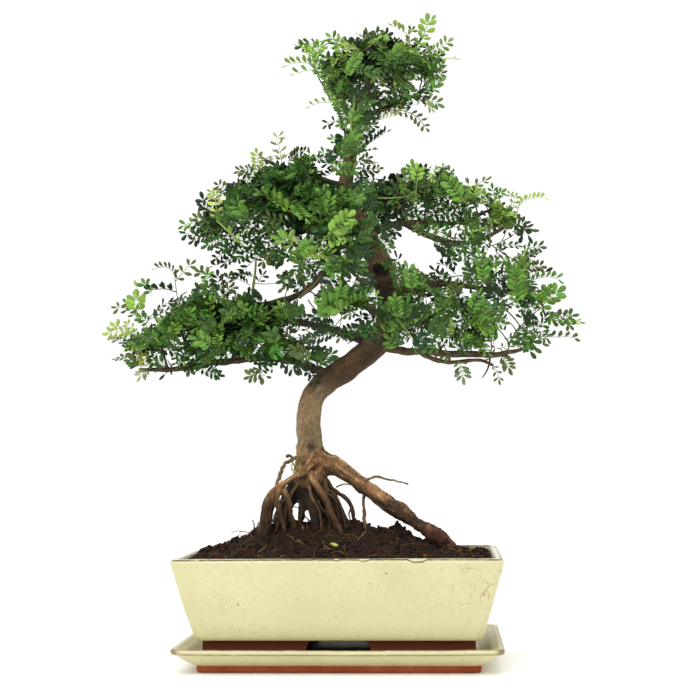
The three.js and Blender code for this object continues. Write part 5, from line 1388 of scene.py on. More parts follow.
# ------------------------------------------------------------------ leaves
# Outline of one leaflet along +x, half widths along y, then the raised midrib.
def leaflet_template(xs, ys, ribs, fold, thick):
    n = len(xs)
    right = np.column_stack([xs, ys, -fold * np.abs(ys)])
    left = right[1:-1][::-1] * [1, -1, 1]
    rim = np.vstack([right, left])
    top = np.array([[x, 0, thick] for x in ribs])
    bot = np.array([[x, 0, -thick * 0.55 - 0.0] for x in ribs])
    v_ = np.vstack([rim, top, bot])
    m_ = len(rim)
    faces = []
    rib_x = np.array(ribs)

    def half(indices, first, flip):
        # a strip between the rim half and the rib line: base, ribs..., tip
        line = [indices[0]] + [first + k for k in range(len(ribs))] + [indices[-1]]
        xs_r = [v_[i, 0] for i in indices]
        xs_l = [v_[i, 0] for i in line]
        a, b = 0, 0
        out = []
        while a < len(indices) - 1 or b < len(line) - 1:
            if b >= len(line) - 1 or (a < len(indices) - 1 and xs_r[a + 1] <= xs_l[b + 1]):
                tri = [indices[a], indices[a + 1], line[b]]
                a += 1
            else:
                tri = [indices[a], line[b + 1], line[b]]
                b += 1
            if len(set(tri)) == 3:
                out.append(tri[::-1] if flip else tri)
        return out

    r_idx = list(range(n))
    l_idx = [0] + list(range(m_ - 1, n - 1, -1)) + [n - 1]
    faces += half(r_idx, m_, True)[:] + half(l_idx, m_, False)[:]
    faces += half(r_idx, m_ + len(ribs), False)[:] + half(l_idx, m_ + len(ribs), True)[:]
    return v_, np.array(faces)


FINE = leaflet_template([0, 0.16, 0.42, 0.70, 0.92, 1.0], [0, 0.20, 0.40, 0.47, 0.27, 0], [0.3, 0.62, 0.85], 0.28, 0.05)
PLAIN = leaflet_template([0, 0.2, 0.52, 0.84, 1.0], [0, 0.24, 0.46, 0.36, 0], [0.55], 0.22, 0.06)
LEAN = leaflet_template([0, 0.3, 0.78, 1.0], [0, 0.34, 0.44, 0], [0.55], 0.18, 0.06)


def compound_leaf(soup, base, tip_dir, normal, length, pairs, size, tone, g, bend=0.0, kind=PLAIN, width=0.62, ragged=0.2, stalk=0.24, rachis_tone=None, rachis_r=0.34, start_small=0.62):
    """One feather-shaped leaf: leaflets in pairs along a thin stalk, and one at the end."""
    d_ = unit(tip_dir)
    nml = unit(normal - d_ * (normal @ d_))
    side = np.cross(nml, d_)
    ts = np.concatenate([np.repeat(np.linspace(stalk, 0.93, pairs), 2), [1.0]])
    k = len(ts)
    curve = lambda t: base + d_ * (length * t)[:, None] + nml * (bend * length * t * t)[:, None]
    tang = lambda t: unit(d_ * length + nml * (2 * bend * length * t)[:, None])
    pos, tg = curve(ts), tang(ts)
    up = unit(nml - tg * (tg @ nml)[:, None])
    sd = np.cross(up, tg)
    sign = np.array([1.0, -1.0] * pairs + [0.0])
    fwd = g.uniform(0.35, 0.62, k)
    fwd[-1] = 1.0
    ldir = unit(sd * sign[:, None] * np.sqrt(1 - fwd ** 2)[:, None] + tg * fwd[:, None] + up * (g.normal(0.10, ragged * 0.7, k))[:, None])
    lup = unit(up + g.normal(0, ragged, (k, 3)) - ldir * ((up * ldir).sum(1))[:, None])
    lup = unit(lup - ldir * ((lup * ldir).sum(1))[:, None])
    lsd = np.cross(lup, ldir)
    grow = start_small + (1 - start_small) * np.sin(np.clip((ts - stalk) / (1 - stalk), 0, 1) * math.pi * 0.62 + 0.15)
    ls = size * grow * g.uniform(0.86, 1.12, k)
    lw = ls * width * g.uniform(0.85, 1.12, k)
    ls[-1] *= 1.1
    tv, tf = kind
    root = pos + ldir * 0.5
    v_ = root[:, None] + ldir[:, None] * (tv[None, :, :1] * ls[:, None, None]) + lsd[:, None] * (tv[None, :, 1:2] * lw[:, None, None]) + lup[:, None] * (tv[None, :, 2:3] * ls[:, None, None])
    # each leaflet curls a little along its length
    curl = g.normal(-0.06, 0.10, k)
    v_ += lup[:, None] * (curl[:, None, None] * (tv[None, :, :1] ** 2) * ls[:, None, None])
    m_ = len(tv)
    f_ = (tf[None] + (np.arange(k) * m_)[:, None, None]).reshape(-1, 3)
    shade = np.repeat(tone[None] * (1 + g.normal(0, 0.07, (k, 1))), m_, 0)
    rim = np.tile((tv[:, 2] > 0.02).astype(float), k)[:, None]
    shade = shade * (1 - 0.10 * rim)
    soup.add(v_.reshape(-1, 3), f_, srgb(np.clip(shade, 3, 250)), 0)
    tt = np.linspace(0, 1, 5 if kind is not LEAN else 4)
    c = curve(tt)
    rt = np.array(rachis_tone if rachis_tone is not None else tone * 0.8 + np.array([24, 20, 6]))
    rv, rf = tube(c, np.linspace(rachis_r, rachis_r * 0.55, len(tt)), 3)
    soup.add(rv, rf, srgb(np.clip(rt, 3, 250)), 0)
    return curve(np.array([0.5, 1.0]))


# Outlines of the leafy masses as the front view shows them, and the gaps where sky shows through them.
MASSES = [
    [(299, 46), (305, 39), (318, 38), (327, 42), (325, 51), (333, 56), (341, 60), (347, 74), (340, 80), (327, 77), (314, 71), (302, 66), (312, 61), (306, 53)],
    [(330, 61), (337, 51), (334, 44), (342, 38), (350, 40), (358, 38), (362, 32), (372, 34), (377, 27), (386, 28), (389, 38), (398, 40), (408, 42), (416, 40), (426, 46), (433, 50), (441, 54), (444, 60), (440, 66),
     (442, 73), (439, 80), (434, 86), (424, 82), (412, 80), (405, 84), (417, 90), (420, 97), (430, 94), (432, 103), (420, 103), (410, 108), (396, 111), (384, 110), (376, 114), (372, 121), (376, 130), (376, 138), (368, 143),
     (361, 152), (360, 160), (344, 160), (338, 156), (333, 143), (338, 133), (348, 128), (346, 118), (350, 108), (344, 100), (334, 96), (326, 88), (324, 82), (333, 77), (323, 69)],
    [(184, 232), (193, 226), (200, 213), (206, 205), (214, 208), (222, 200), (217, 191), (223, 185), (232, 181), (240, 179), (252, 182), (258, 178), (263, 172), (270, 169), (276, 163), (286, 163), (292, 156), (302, 152),
     (312, 157), (322, 154), (330, 155), (328, 164), (318, 166), (316, 176), (326, 184), (336, 184), (348, 182), (358, 176), (366, 178), (376, 178), (388, 182), (394, 178), (404, 170), (411, 162), (424, 166), (436, 169),
     (446, 171), (454, 177), (462, 184), (472, 187), (482, 196), (492, 196), (500, 200), (511, 204), (516, 216), (517, 228), (498, 229), (487, 236), (488, 247), (478, 246), (466, 242), (452, 240), (444, 236), (430, 232),
     (412, 224), (404, 223), (398, 228), (384, 232), (378, 240), (374, 250), (364, 256), (352, 268), (350, 280), (338, 276), (328, 272), (316, 268), (308, 270), (300, 276), (296, 262), (284, 258), (272, 260), (262, 254),
     (254, 260), (240, 260), (230, 256), (224, 247), (214, 246), (204, 243), (194, 238)],
    [(387, 263), (398, 259), (408, 266), (418, 269), (428, 273), (440, 277), (452, 272), (462, 262), (452, 256), (450, 246), (462, 244), (472, 248), (484, 248), (494, 252), (508, 249), (520, 249), (532, 246), (538, 250),
     (530, 260), (534, 268), (546, 272), (534, 282), (540, 289), (552, 290), (556, 298), (546, 304), (540, 309), (554, 312), (566, 312), (574, 317), (564, 322), (556, 326), (552, 334), (546, 340), (536, 345), (530, 352),
     (520, 347), (508, 345), (498, 351), (488, 350), (478, 348), (468, 351), (458, 349), (446, 348), (436, 347), (426, 351), (414, 351), (404, 345), (394, 346), (384, 346), (382, 330), (386, 318), (384, 304), (392, 294), (394, 280)],
    [(122, 342), (129, 336), (141, 332), (143, 327), (152, 322), (161, 316), (170, 309), (177, 302), (187, 296), (197, 290), (203, 284), (212, 286), (222, 292), (231, 298),
     (240, 295), (252, 293), (258, 300), (265, 308), (273, 304), (282, 303), (292, 305), (300, 303), (303, 312), (299, 319), (289, 321), (285, 329), (291, 336), (301, 336), (306, 343), (314, 346), (328, 346), (336, 353),
     (330, 362), (318, 365), (306, 363), (300, 370), (288, 365), (275, 362), (262, 366), (246, 360), (230, 358), (214, 362), (202, 366), (190, 372), (180, 368), (172, 362), (178, 354), (168, 350), (158, 352), (160, 364),
     (150, 362), (146, 350), (134, 352), (124, 349)],
    [(317, 288), (330, 284), (344, 282), (352, 286), (362, 290), (374, 292), (385, 302), (388, 326), (386, 344), (372, 337), (362, 337), (350, 336), (336, 333), (320, 337), (305, 343), (303, 335), (316, 327), (330, 324),
     (352, 330), (368, 328), (368, 310), (356, 306), (344, 312), (330, 312), (318, 308)],
]
GAPS = [(505, 332, 10, 5.4), (516, 325, 7, 6), (514, 314, 8, 8.6), (481, 212, 10.4, 7.2), (553, 327.5, 11, 8), (506, 252.6, 13.6, 4), (321, 56, 5.6, 8.6), (458, 271, 7.2, 7.2), (468, 293, 6, 7), (311, 66, 9.6, 3.2), (497, 302, 5.8, 4.8),
        (319, 163, 6.8, 4.4), (496, 342, 5.2, 7.4), (422, 208.5, 4.8, 4.2), (537, 316, 4.8, 5.6), (408, 344, 4.4, 5), (425.5, 299.5, 6.2, 3.8), (306, 41, 5.4, 3.4), (455, 233, 5.6, 5.2), (333, 288, 4.4, 5.4), (266, 253, 4.4, 4.8),
        (504, 286, 4.4, 5), (528, 310.5, 3.6, 3.6), (347, 51.6, 4.6, 3.6), (381, 88, 4.2, 5.2), (455, 318, 3.8, 4.2), (483, 240, 4.6, 4.2), (535.5, 284, 3.8, 5.2), (410, 180.6, 4.4, 2.8), (513.5, 299, 3.4, 3.2), (447, 337, 4.6, 4.2),
        (449, 279.5, 3.8, 3.6), (508.5, 204, 3.4, 3.2), (376, 231, 4.4, 3), (200, 234.6, 4.4, 2.8), (419, 332, 3.2, 3.2), (362, 94, 3.4, 3.2), (498, 270.6, 4.2, 3), (491, 325, 4, 2.2), (314, 329.6, 4.4, 3.6), (440, 345, 4.4, 2.4),
        (422, 47, 2.8, 4.2), (308, 56, 5, 4.6), (430, 83, 3.2, 2.4), (289.5, 163.6, 3.4, 2.6), (503, 277, 4, 2.4), (146, 326, 3.4, 2.4), (150, 358, 2.4, 3.2), (431.5, 295, 2.8, 3.2), (157, 322, 4, 3), (432, 177, 4, 2.2), (442, 226.6, 4.4, 2.2),
        (217, 244, 3.4, 2.4), (456, 247.6, 3.4, 2.6), (532.5, 270, 3.4, 2.4), (470, 284, 3.4, 2.4), (445, 287, 4, 3), (372.5, 309.6, 2.8, 2.8), (432, 338, 2.4, 2.8), (175, 340.6, 3.2, 2.8), (417, 100, 2.8, 2.8), (342, 130.6, 3.8, 2.6),
        (223, 198, 3.4, 2.8), (315, 211.6, 3.6, 2.8), (199, 220, 2.4, 3.4), (509, 263.6, 3.4, 2.6), (447, 274, 3, 2.4), (526.5, 329, 2, 3), (509, 339, 2.8, 2.6), (308.6, 349, 2.8, 2.4), (255.6, 363, 3.4, 2.2), (338, 109, 4, 5), (291, 293, 4.4, 2.6), (323, 77, 2.6, 4)]


def in_outline(uv, outline):
    pts = np.array(outline, float)
    x, y = uv[:, 0], uv[:, 1]
    inside = np.zeros(len(uv), bool)
    x1, y1 = pts[:, 0], pts[:, 1]
    x2, y2 = np.roll(x1, -1), np.roll(y1, -1)
    for a_, b_, c_, d_ in zip(x1, y1, x2, y2):
        hit = ((b_ > y) != (d_ > y)) & (x < (c_ - a_) * (y - b_) / (d_ - b_ + 1e-12) + a_)
        inside ^= hit
    return inside


def _front_mask():
    grid = np.stack(np.meshgrid(np.arange(90, 600) + 0.5, np.arange(10, 400) + 0.5), -1).reshape(-1, 2)
    ok = np.zeros(len(grid), bool)
    for outline in MASSES:
        ok |= in_outline(grid, outline)
    for u_, v_, a_, b_ in GAPS:
        ok &= ((grid[:, 0] - u_) / a_) ** 2 + ((grid[:, 1] - v_) / b_) ** 2 > 1
    return ok.reshape(390, 510)


def _eroded(m_, r):
    out = m_.copy()
    for dy in range(-r, r + 1):
        for dx in range(-r, r + 1):
            if dy * dy + dx * dx <= r * r:
                out &= np.roll(np.roll(m_, dy, 0), dx, 1)
    return out


FRONT = _front_mask()
TIGHT = _eroded(FRONT, 3)


def _inset(m_, steps=15):
    """How far each cell lies inside the outline, counted in cells up to a limit."""
    out, left = m_.astype(float), m_
    for _ in range(steps):
        left = _eroded(left, 1)
        out += left
    return out


INSET = _inset(FRONT)


def inset_at(p):
    uv = project(p)
    return INSET[np.clip(uv[:, 1].astype(int) - 10, 0, 389), np.clip(uv[:, 0].astype(int) - 90, 0, 509)]


def allowed(p, area=FRONT):
    """Which points lie inside a leafy mass of the front view and outside its gaps. TIGHT leaves room for the leaflets."""
    uv = project(p)
    i = np.clip(uv[:, 0].astype(int) - 90, 0, 509)
    j = np.clip(uv[:, 1].astype(int) - 10, 0, 389)
    return area[j, i]


# leaf tones from near black (K) to pale (P); besides the leaves' own colour and age, the dark tones are painted shade
# for leaves deep in the crown and the bright ones painted light
TONES = {"K": (30, 42, 22), "T": (29, 66, 36), "D": (36, 58, 28), "M": (62, 94, 38), "G": (92, 134, 52), "B": (122, 158, 66), "Y": (148, 168, 86), "O": (84, 98, 46), "P": (150, 162, 108)}
SCALE = [(20, 53, 11), (37, 75, 19), (63, 101, 33), (104, 146, 53), (158, 184, 86)]


def leaf_tone(level, g):
    """level 0 old and deep in the crown, and darkened there as painted shade; 1 fresh and outside, and lighter there as
    painted light.
    """
    level = min(max(level + g.normal(0, 0.10), 0), 0.999) * (len(SCALE) - 1)
    i = int(level)
    c = np.array(SCALE[i], float) * (1 - level + i) + np.array(SCALE[i + 1], float) * (level - i)
    return c * (1 + g.normal(0, 0.06)) + np.array([g.normal(0, 4), 0, g.normal(0, 4)])


def inside_pad(p, lumps):
    best = np.full(len(p), 9.0)
    for x, y, z, rx, ry, rz in lumps:
        q = np.sqrt(((p[:, 0] - x) / rx) ** 2 + ((p[:, 1] - y) / ry) ** 2 + ((p[:, 2] - z) / rz) ** 2)
        best = np.minimum(best, q)
    return best


def grow_pad(name, lumps, g, density=1.0, kind=PLAIN, leaf=(28, 46), leaflet=(7.0, 9.0), pairs=(5, 7), brightness=0.0, core=1.0, width=0.54, rim=0.34):
    lumps = np.array(lumps, float)
    soup = Soup()
    vol = (lumps[:, 3] * lumps[:, 4] * lumps[:, 5]) ** (1 / 3)
    # where twigs end, spread through the pad
    targets = []
    for L, r in zip(lumps, vol):
        n = max(5, int(round(density * (r / 36.0) ** 2 * 17)))
        tries = got = 0
        while got < n and tries < n * 40:
            tries += 1
            d_ = g.normal(size=3)
            d_[2] += 0.12
            d_ = unit(d_)
            p = L[:3] + d_ * L[3:6] * g.uniform(0.28, 0.86) ** 0.8
            if targets and np.min(np.linalg.norm(np.array(targets) - p, axis=1)) < 0.27 * r:
                continue
            if not allowed(p[None])[0]:
                continue
            targets.append(p)
            got += 1
    targets = np.array(targets)
    centre = (lumps[:, :3] * vol[:, None] ** 3).sum(0) / (vol ** 3).sum()
    near_d = np.linalg.norm(wood_points[:, None, :3] - targets[None], axis=2).min(0)
    order = np.argsort(near_d)
    keep = wood_points[np.linalg.norm(wood_points[:, :3] - centre, axis=1) < 130]
    if not len(keep):
        keep = wood_points
    nodes = [*keep[:, :3]]
    parents = [-1] * len(nodes)
    depth = [0.0] * len(nodes)
    chains = []
    for ti in order:
        tp = targets[ti]
        arr = np.array(nodes)
        cost = np.linalg.norm(arr - tp, axis=1) + 0.25 * np.array(depth)
        a = int(np.argmin(cost))
        start = arr[a]
        dist = np.linalg.norm(tp - start)
        n = max(2, int(dist / 7))
        t = np.linspace(0, 1, n + 1)
        sag = np.array([0, 0, 1.0]) * dist * g.uniform(-0.05, 0.13) + g.normal(0, 0.04, 3) * dist
        pts = start + (tp - start) * t[:, None] + sag * (t * (1 - t) * 2)[:, None] + g.normal(0, 0.5, (n + 1, 3)) * (t > 0)[:, None]
        ids = [a]
        for k in range(1, n + 1):
            nodes.append(pts[k])
            parents.append(ids[-1])
            depth.append(depth[ids[-1]] + dist / n)
            ids.append(len(nodes) - 1)
        chains.append((ids, pts))
    load = np.zeros(len(nodes))
    for ids, _ in chains:
        k = ids[-1]
        while k >= 0:
            load[k] += 1
            k = parents[k]
    count = 0
    for ids, pts in chains:
        rad = 0.38 + 0.17 * np.sqrt(load[ids])
        rad[0] = rad[1]
        rad = np.minimum(rad, 1.3)
        tone = np.array(TW_BROWN if g.random() < 0.45 else TW_DARK, float) * g.uniform(0.75, 1.05)
        tv, tf = tube(pts, rad, 5, lumps=0.15, seed=int(g.integers(999)))
        soup.add(tv, tf, srgb(np.clip(tone, 4, 250)), 1)
        # leaves stand alternately along the twig's outer part, then a tuft at its end
        d = np.r_[0, np.cumsum(np.linalg.norm(np.diff(pts, axis=0), axis=1))]
        total = d[-1]
        s_from = max(0.0, total - g.uniform(30, 46))
        ss = np.arange(s_from + g.uniform(0, 4), total - 2, g.uniform(6.5, 9.0))
        spin = g.uniform(0, 6.28)
        sites = [(s_, False) for s_ in ss] + [(total, True)] * 3
        patch = 0.5 + 0.5 * float(value_noise(pts[-1][None] / 24.0, 91)[0])
        for k, (s_, end) in enumerate(sites):
            p = np.array([np.interp(s_, d, pts[:, q]) for q in range(3)])
            q2 = np.array([np.interp(min(s_ + 3, total), d, pts[:, q]) for q in range(3)]) - np.array([np.interp(max(s_ - 3, 0), d, pts[:, q]) for q in range(3)])
            axis = unit(q2)
            spin += 2.5
            ref = unit(np.cross(axis, [0.2, 0.1, 1.0]))
            ref2 = np.cross(axis, ref)
            around = ref * math.cos(spin) + ref2 * math.sin(spin)
            out = unit(p - centre + np.array([0, 0, 6.0]))
            open_ = g.uniform(0.35, 0.6) if end else g.uniform(0.7, 1.0)
            for attempt in range(4):
                dir_ = unit(axis * (1 - open_ * 0.55) + around * open_ * 0.8 + out * 0.5 + np.array([0, 0, g.normal(0.02, 0.22)]) + g.normal(0, 0.3 * attempt, 3))
                ln = g.uniform(*leaf) * (1 - 0.22 * attempt)
                tipq = p + dir_ * ln
                if allowed(np.array([p + dir_ * ln * 0.3, p + dir_ * ln * 0.6, tipq]), TIGHT).all():
                    break
            else:
                continue
            q_in = float(inside_pad(tipq[None], lumps)[0])
            if q_in > 1.16:
                continue
            nrm_ = unit(np.array([0, 0, 0.7]) + out * 0.45 + np.array([0, -0.2, 0]) + g.normal(0, 0.45, 3))
            # a leaf is lighter towards the pad's outside and when it points up, darker inside: partly its age, partly
            # painted light and shade
            level = 0.05 + rim * float(smooth(0.55, 1.05, np.array(q_in))) + 0.30 * patch ** 2 + 0.10 * float(dir_[2]) + brightness
            if "crown" in name:
                # fresh growth stands round the crown's outline, older leaves fill its middle; the darker middle is also
                # painted shade
                level *= float(1.12 - 0.72 * smooth(3.0, 13.0, inset_at(tipq[None]))[0])
            if g.random() < 0.07:
                level += 0.3
            np_ = int(g.integers(pairs[0], pairs[1] + 1))
            lf = g.uniform(*leaflet) * (ln / leaf[1]) ** 0.25
            tone = leaf_tone(level, g)
            compound_leaf(soup, p, dir_, nrm_, ln, np_, lf, tone, g, bend=g.normal(-0.10, 0.10), kind=kind, width=width, rachis_tone=tone * 0.7 + np.array([40, 40, 18]), rachis_r=0.38)
            count += 1
    # old leaves deep inside, which keep the pad from being seen through; their near-black tone is partly painted shade
    for L, r in zip(lumps, vol):
        for _ in range(int(core * (r / 36.0) ** 2 * 14)):
            d_ = unit(g.normal(size=3))
            p = L[:3] + d_ * L[3:6] * g.uniform(0.0, 0.55)
            dir_ = unit(g.normal(size=3) * [1, 0.6, 0.7])
            ln = g.uniform(26, 36)
            b = p - dir_ * ln * 0.5
            if not allowed(np.array([b, p, b + dir_ * ln]), TIGHT).all():
                continue
            nrm_ = unit(np.array([0, -0.75, 0.35]) + g.normal(0, 0.4, 3)) if g.random() < 0.6 else unit(g.normal(size=3))
            compound_leaf(soup, b, dir_, nrm_, ln, 4, g.uniform(9.5, 11.5), np.array([26, 42, 24]) * g.uniform(0.7, 1.25), g, kind=LEAN, width=0.66, rachis_tone=np.array([44, 46, 28]))
            count += 1
    return soup, count, np.array(nodes)


SEEN = np.zeros((390, 510), bool)


def mark_seen(soup):
    """Notes where leaves already stand in the front view."""
    for v_, f_, m_ in zip(soup.v, soup.f, soup.m):
        if m_[0] == 0:
            q = np.asarray(v_)[f_ - f_.min()]
            pts = np.vstack([v_, q.mean(1), (q[:, 0] + q[:, 1]) / 2, (q[:, 1] + q[:, 2]) / 2, (q[:, 2] + q[:, 0]) / 2])
            uv = project(pts)
            i = np.clip(uv[:, 0].astype(int) - 90, 0, 509)
            j = np.clip(uv[:, 1].astype(int) - 10, 0, 389)
            SEEN[j, i] = True


def thin_cells(cut):
    """Cells of the leafy masses whose neighbourhood is mostly bare."""
    bare = (FRONT & ~SEEN).astype(float)
    inside = FRONT.astype(float)
    for m in (bare, inside):
        c = np.cumsum(np.cumsum(np.pad(m, ((4, 3), (4, 3))), 0), 1)
        m[:] = c[7:, 7:] - c[:-7, 7:] - c[7:, :-7] + c[:-7, :-7]
    share = bare / np.maximum(inside, 1)
    return np.argwhere(FRONT & ~SEEN & (share > cut) & (inside > 18))


def fill_thin_parts(soups, twig_nodes, g, limit):
    """Adds leaves in the leafy masses where the stems would still show bare."""
    table = [(name, L) for name in soups if "back" not in name for L in PADS[name]]
    uvs = project(np.array([L[:3] for _, L in table], float))
    radii = np.array([[L[3], L[4], L[5]] for _, L in table], float)
    added = 0
    cells = thin_cells(0.13)
    for attempt in range(limit * 12):
        if attempt % 25 == 0:
            cells = thin_cells(0.13)
        if not len(cells) or added >= limit:
            break
        j, i = cells[int(g.integers(len(cells)))]
        if SEEN[j, i]:
            continue
        u_, v_ = i + 90.5, j + 10.5
        dist = np.hypot((u_ - uvs[:, 0]) / radii[:, 0], (v_ - uvs[:, 1]) / radii[:, 2])
        k = int(np.argmin(dist + g.uniform(0, 0.15, len(dist))))
        name, L = table[k]
        airy = PLAN[name][5]
        if dist[k] > 1.75 or g.random() < airy:
            SEEN[j, i] = SEEN[j, i] or dist[k] <= 1.75
            continue
        p = at(u_, v_, L[1] - L[4] * g.uniform(-0.1, 0.75))
        for _ in range(6):
            ang = g.uniform(0, 2 * math.pi)
            dir_ = unit(CR * math.cos(ang) + CU * math.sin(ang) * 0.8 + CF * g.normal(0, 0.35))
            ln = g.uniform(22, 36)
            b, t = p - dir_ * ln * g.uniform(0.35, 0.6), None
            t = b + dir_ * ln
            if allowed(np.array([b, (b + t) / 2, t]), TIGHT).all():
                break
        else:
            ln = g.uniform(14, 20)
            b = p - dir_ * ln * 0.5
            t = b + dir_ * ln
            if not allowed(np.array([b, t])).all():
                continue
        nodes = twig_nodes[name]
        if (np.linalg.norm(nodes - t, axis=1).min() + 2) < np.linalg.norm(nodes - b, axis=1).min():
            b, t, dir_ = t, b, -dir_
        a = nodes[int(np.argmin(np.linalg.norm(nodes - b, axis=1)))]
        nml = unit(-CF * g.uniform(0.3, 1.0) + CU * g.uniform(0.2, 0.9) + g.normal(0, 0.3, 3))
        level = 0.06 + 0.34 * g.random() ** 1.4 + PLAN[name][3]
        tone = leaf_tone(level, g)
        soup = soups[name]
        before = len(soup.v)
        gap = np.linalg.norm(b - a)
        if gap > 1.0:
            mid = (a + b) / 2 + g.normal(0, 0.07, 3) * gap + np.array([0, 0, 0.08 * gap])
            tv, tf = tube(catmull(np.array([a, mid, b]), max(3, int(gap / 9))), np.linspace(0.75, 0.42, 2 * max(3, int(gap / 9)) + 1), 4)
            soup.add(tv, tf, srgb(np.array(TW_DARK, float)), 1)
        compound_leaf(soup, b, dir_, nml, ln, int(round(ln / 6.6)), g.uniform(7.8, 9.6), tone, g, bend=g.normal(-0.08, 0.1), kind=LEAN, width=PLAN[name][6], rachis_tone=tone * 0.7 + np.array([36, 36, 14]), rachis_r=0.34)
        twig_nodes[name] = np.vstack([nodes, (a + b)[None] / 2, b[None]])
        fresh = Soup()
        fresh.v, fresh.f, fresh.m = soup.v[before:], soup.f[before:], soup.m[before:]
        mark_seen(fresh)
        added += 1
    print("leaves added in thin parts", added, "bare cells left", len(thin_cells(0.13)), "of", int(FRONT.sum()))
    return added


def leafy(soup, pts, y, pairs, size, tone, mode, g, width=None, stem=0.46, start=0.16, sides=(1, -1), last=1.0):
    """A leaf placed by where its stalk is seen from the front, base first. Modes: f faces the viewer, t is tilted away,
    u is seen from its edge with the leaflets raised, n is a bare green shoot."""
    y0, y1 = (y, y + g.uniform(-5, 5)) if np.isscalar(y) else y
    k = len(pts)
    P3 = np.array([at(u_, v_, y0 + (y1 - y0) * i / (k - 1)) for i, (u_, v_) in enumerate(pts)])
    c = catmull(P3, 6)
    d = np.r_[0, np.cumsum(np.linalg.norm(np.diff(c, axis=0), axis=1))]
    place = lambda s_: np.column_stack([np.interp(s_ * d[-1], d, c[:, q]) for q in range(3)])
    tone = np.array(TONES[tone] if isinstance(tone, str) else tone, float) * (1 + g.normal(0, 0.04))
    stem_tone = tone * 0.55 + np.array([70, 78, 36]) * 0.75
    if mode == "n":
        tv, tf = tube(c, np.linspace(stem, stem * 0.6, len(c)), 6)
        soup.add(tv, tf, srgb(np.clip(tone, 3, 250)), 0)
        return
    inner = max(0.5, 1 - 0.92 * size / d[-1])
    ts = inner * np.concatenate([np.repeat(np.linspace(start, 0.94, pairs), 2), [last]])
    m_ = len(ts)
    pos = place(ts)
    tg = unit(place(np.minimum(ts + 0.03, 1.0)) - place(np.maximum(ts - 0.03, 0.0)))
    toward = -CF
    if mode == "u":
        nml = CU * 0.9 + toward * 0.35
    elif mode == "t":
        nml = CU * 0.9 + toward * 0.45
    else:
        nml = CU * 0.22 + toward * 0.95
    nml = unit(nml + g.normal(0, 0.12, 3))
    up = unit(nml - tg * (tg @ nml)[:, None])
    sd = np.cross(up, tg)
    sign = np.array([float(sides[0]), float(sides[1])] * pairs + [0.0])
    fwd = g.uniform(0.42, 0.66, m_)
    fwd[-1] = 1.0
    if mode == "u":
        lift = np.r_[np.full(m_ - 1, 0.75), 0.0]
        ldir = unit(sd * (sign * 0.32)[:, None] + tg * fwd[:, None] + up * (lift + g.normal(0, 0.08, m_))[:, None])
        lup = np.cross(ldir, tg) * np.where(sign >= 0, 1, -1)[:, None] + up * 0.55 + g.normal(0, 0.15, (m_, 3))
        w_ = 0.44 if width is None else width
    else:
        ldir = unit(sd * sign[:, None] * np.sqrt(1 - fwd ** 2)[:, None] + tg * fwd[:, None] + up * g.normal(0.06, 0.1, m_)[:, None])
        lup = up + g.normal(0, 0.17, (m_, 3))
        w_ = 0.5 if width is None else width
    lup = unit(lup - ldir * ((lup * ldir).sum(1))[:, None])
    lsd = np.cross(lup, ldir)
    ls = 1.04 * size * g.uniform(0.88, 1.1, m_) * (0.74 + 0.26 * np.sin(np.clip(ts, 0, 1) * math.pi * 0.75 + 0.15))
    lw = ls * w_ * g.uniform(0.88, 1.1, m_)
    keep_ = np.ones(m_, bool)
    keep_[:-1] = np.abs(sign[:-1]) > 0.01
    pos, ldir, lup, lsd, ls, lw = (q[keep_] for q in (pos, ldir, lup, lsd, ls, lw))
    n_ = len(pos)
    tv, tf = FINE if size > 9 else PLAIN
    v_ = (pos + ldir * 0.4)[:, None] + ldir[:, None] * (tv[None, :, :1] * ls[:, None, None]) + lsd[:, None] * (tv[None, :, 1:2] * lw[:, None, None]) + lup[:, None] * (tv[None, :, 2:3] * ls[:, None, None] * 0.8)
    f_ = (tf[None] + (np.arange(n_) * len(tv))[:, None, None]).reshape(-1, 3)
    shade = np.repeat(tone[None] * (1 + g.normal(0, 0.08, (n_, 1))) + g.normal(0, 3, (n_, 3)), len(tv), 0)
    soup.add(v_.reshape(-1, 3), f_, srgb(np.clip(shade, 3, 250)), 0)
    c = place(np.linspace(0, inner, len(c)))
    tv, tf = tube(c, np.linspace(stem, stem * 0.55, len(c)), 4)
    soup.add(tv, tf, srgb(np.clip(stem_tone, 3, 250)), 0)


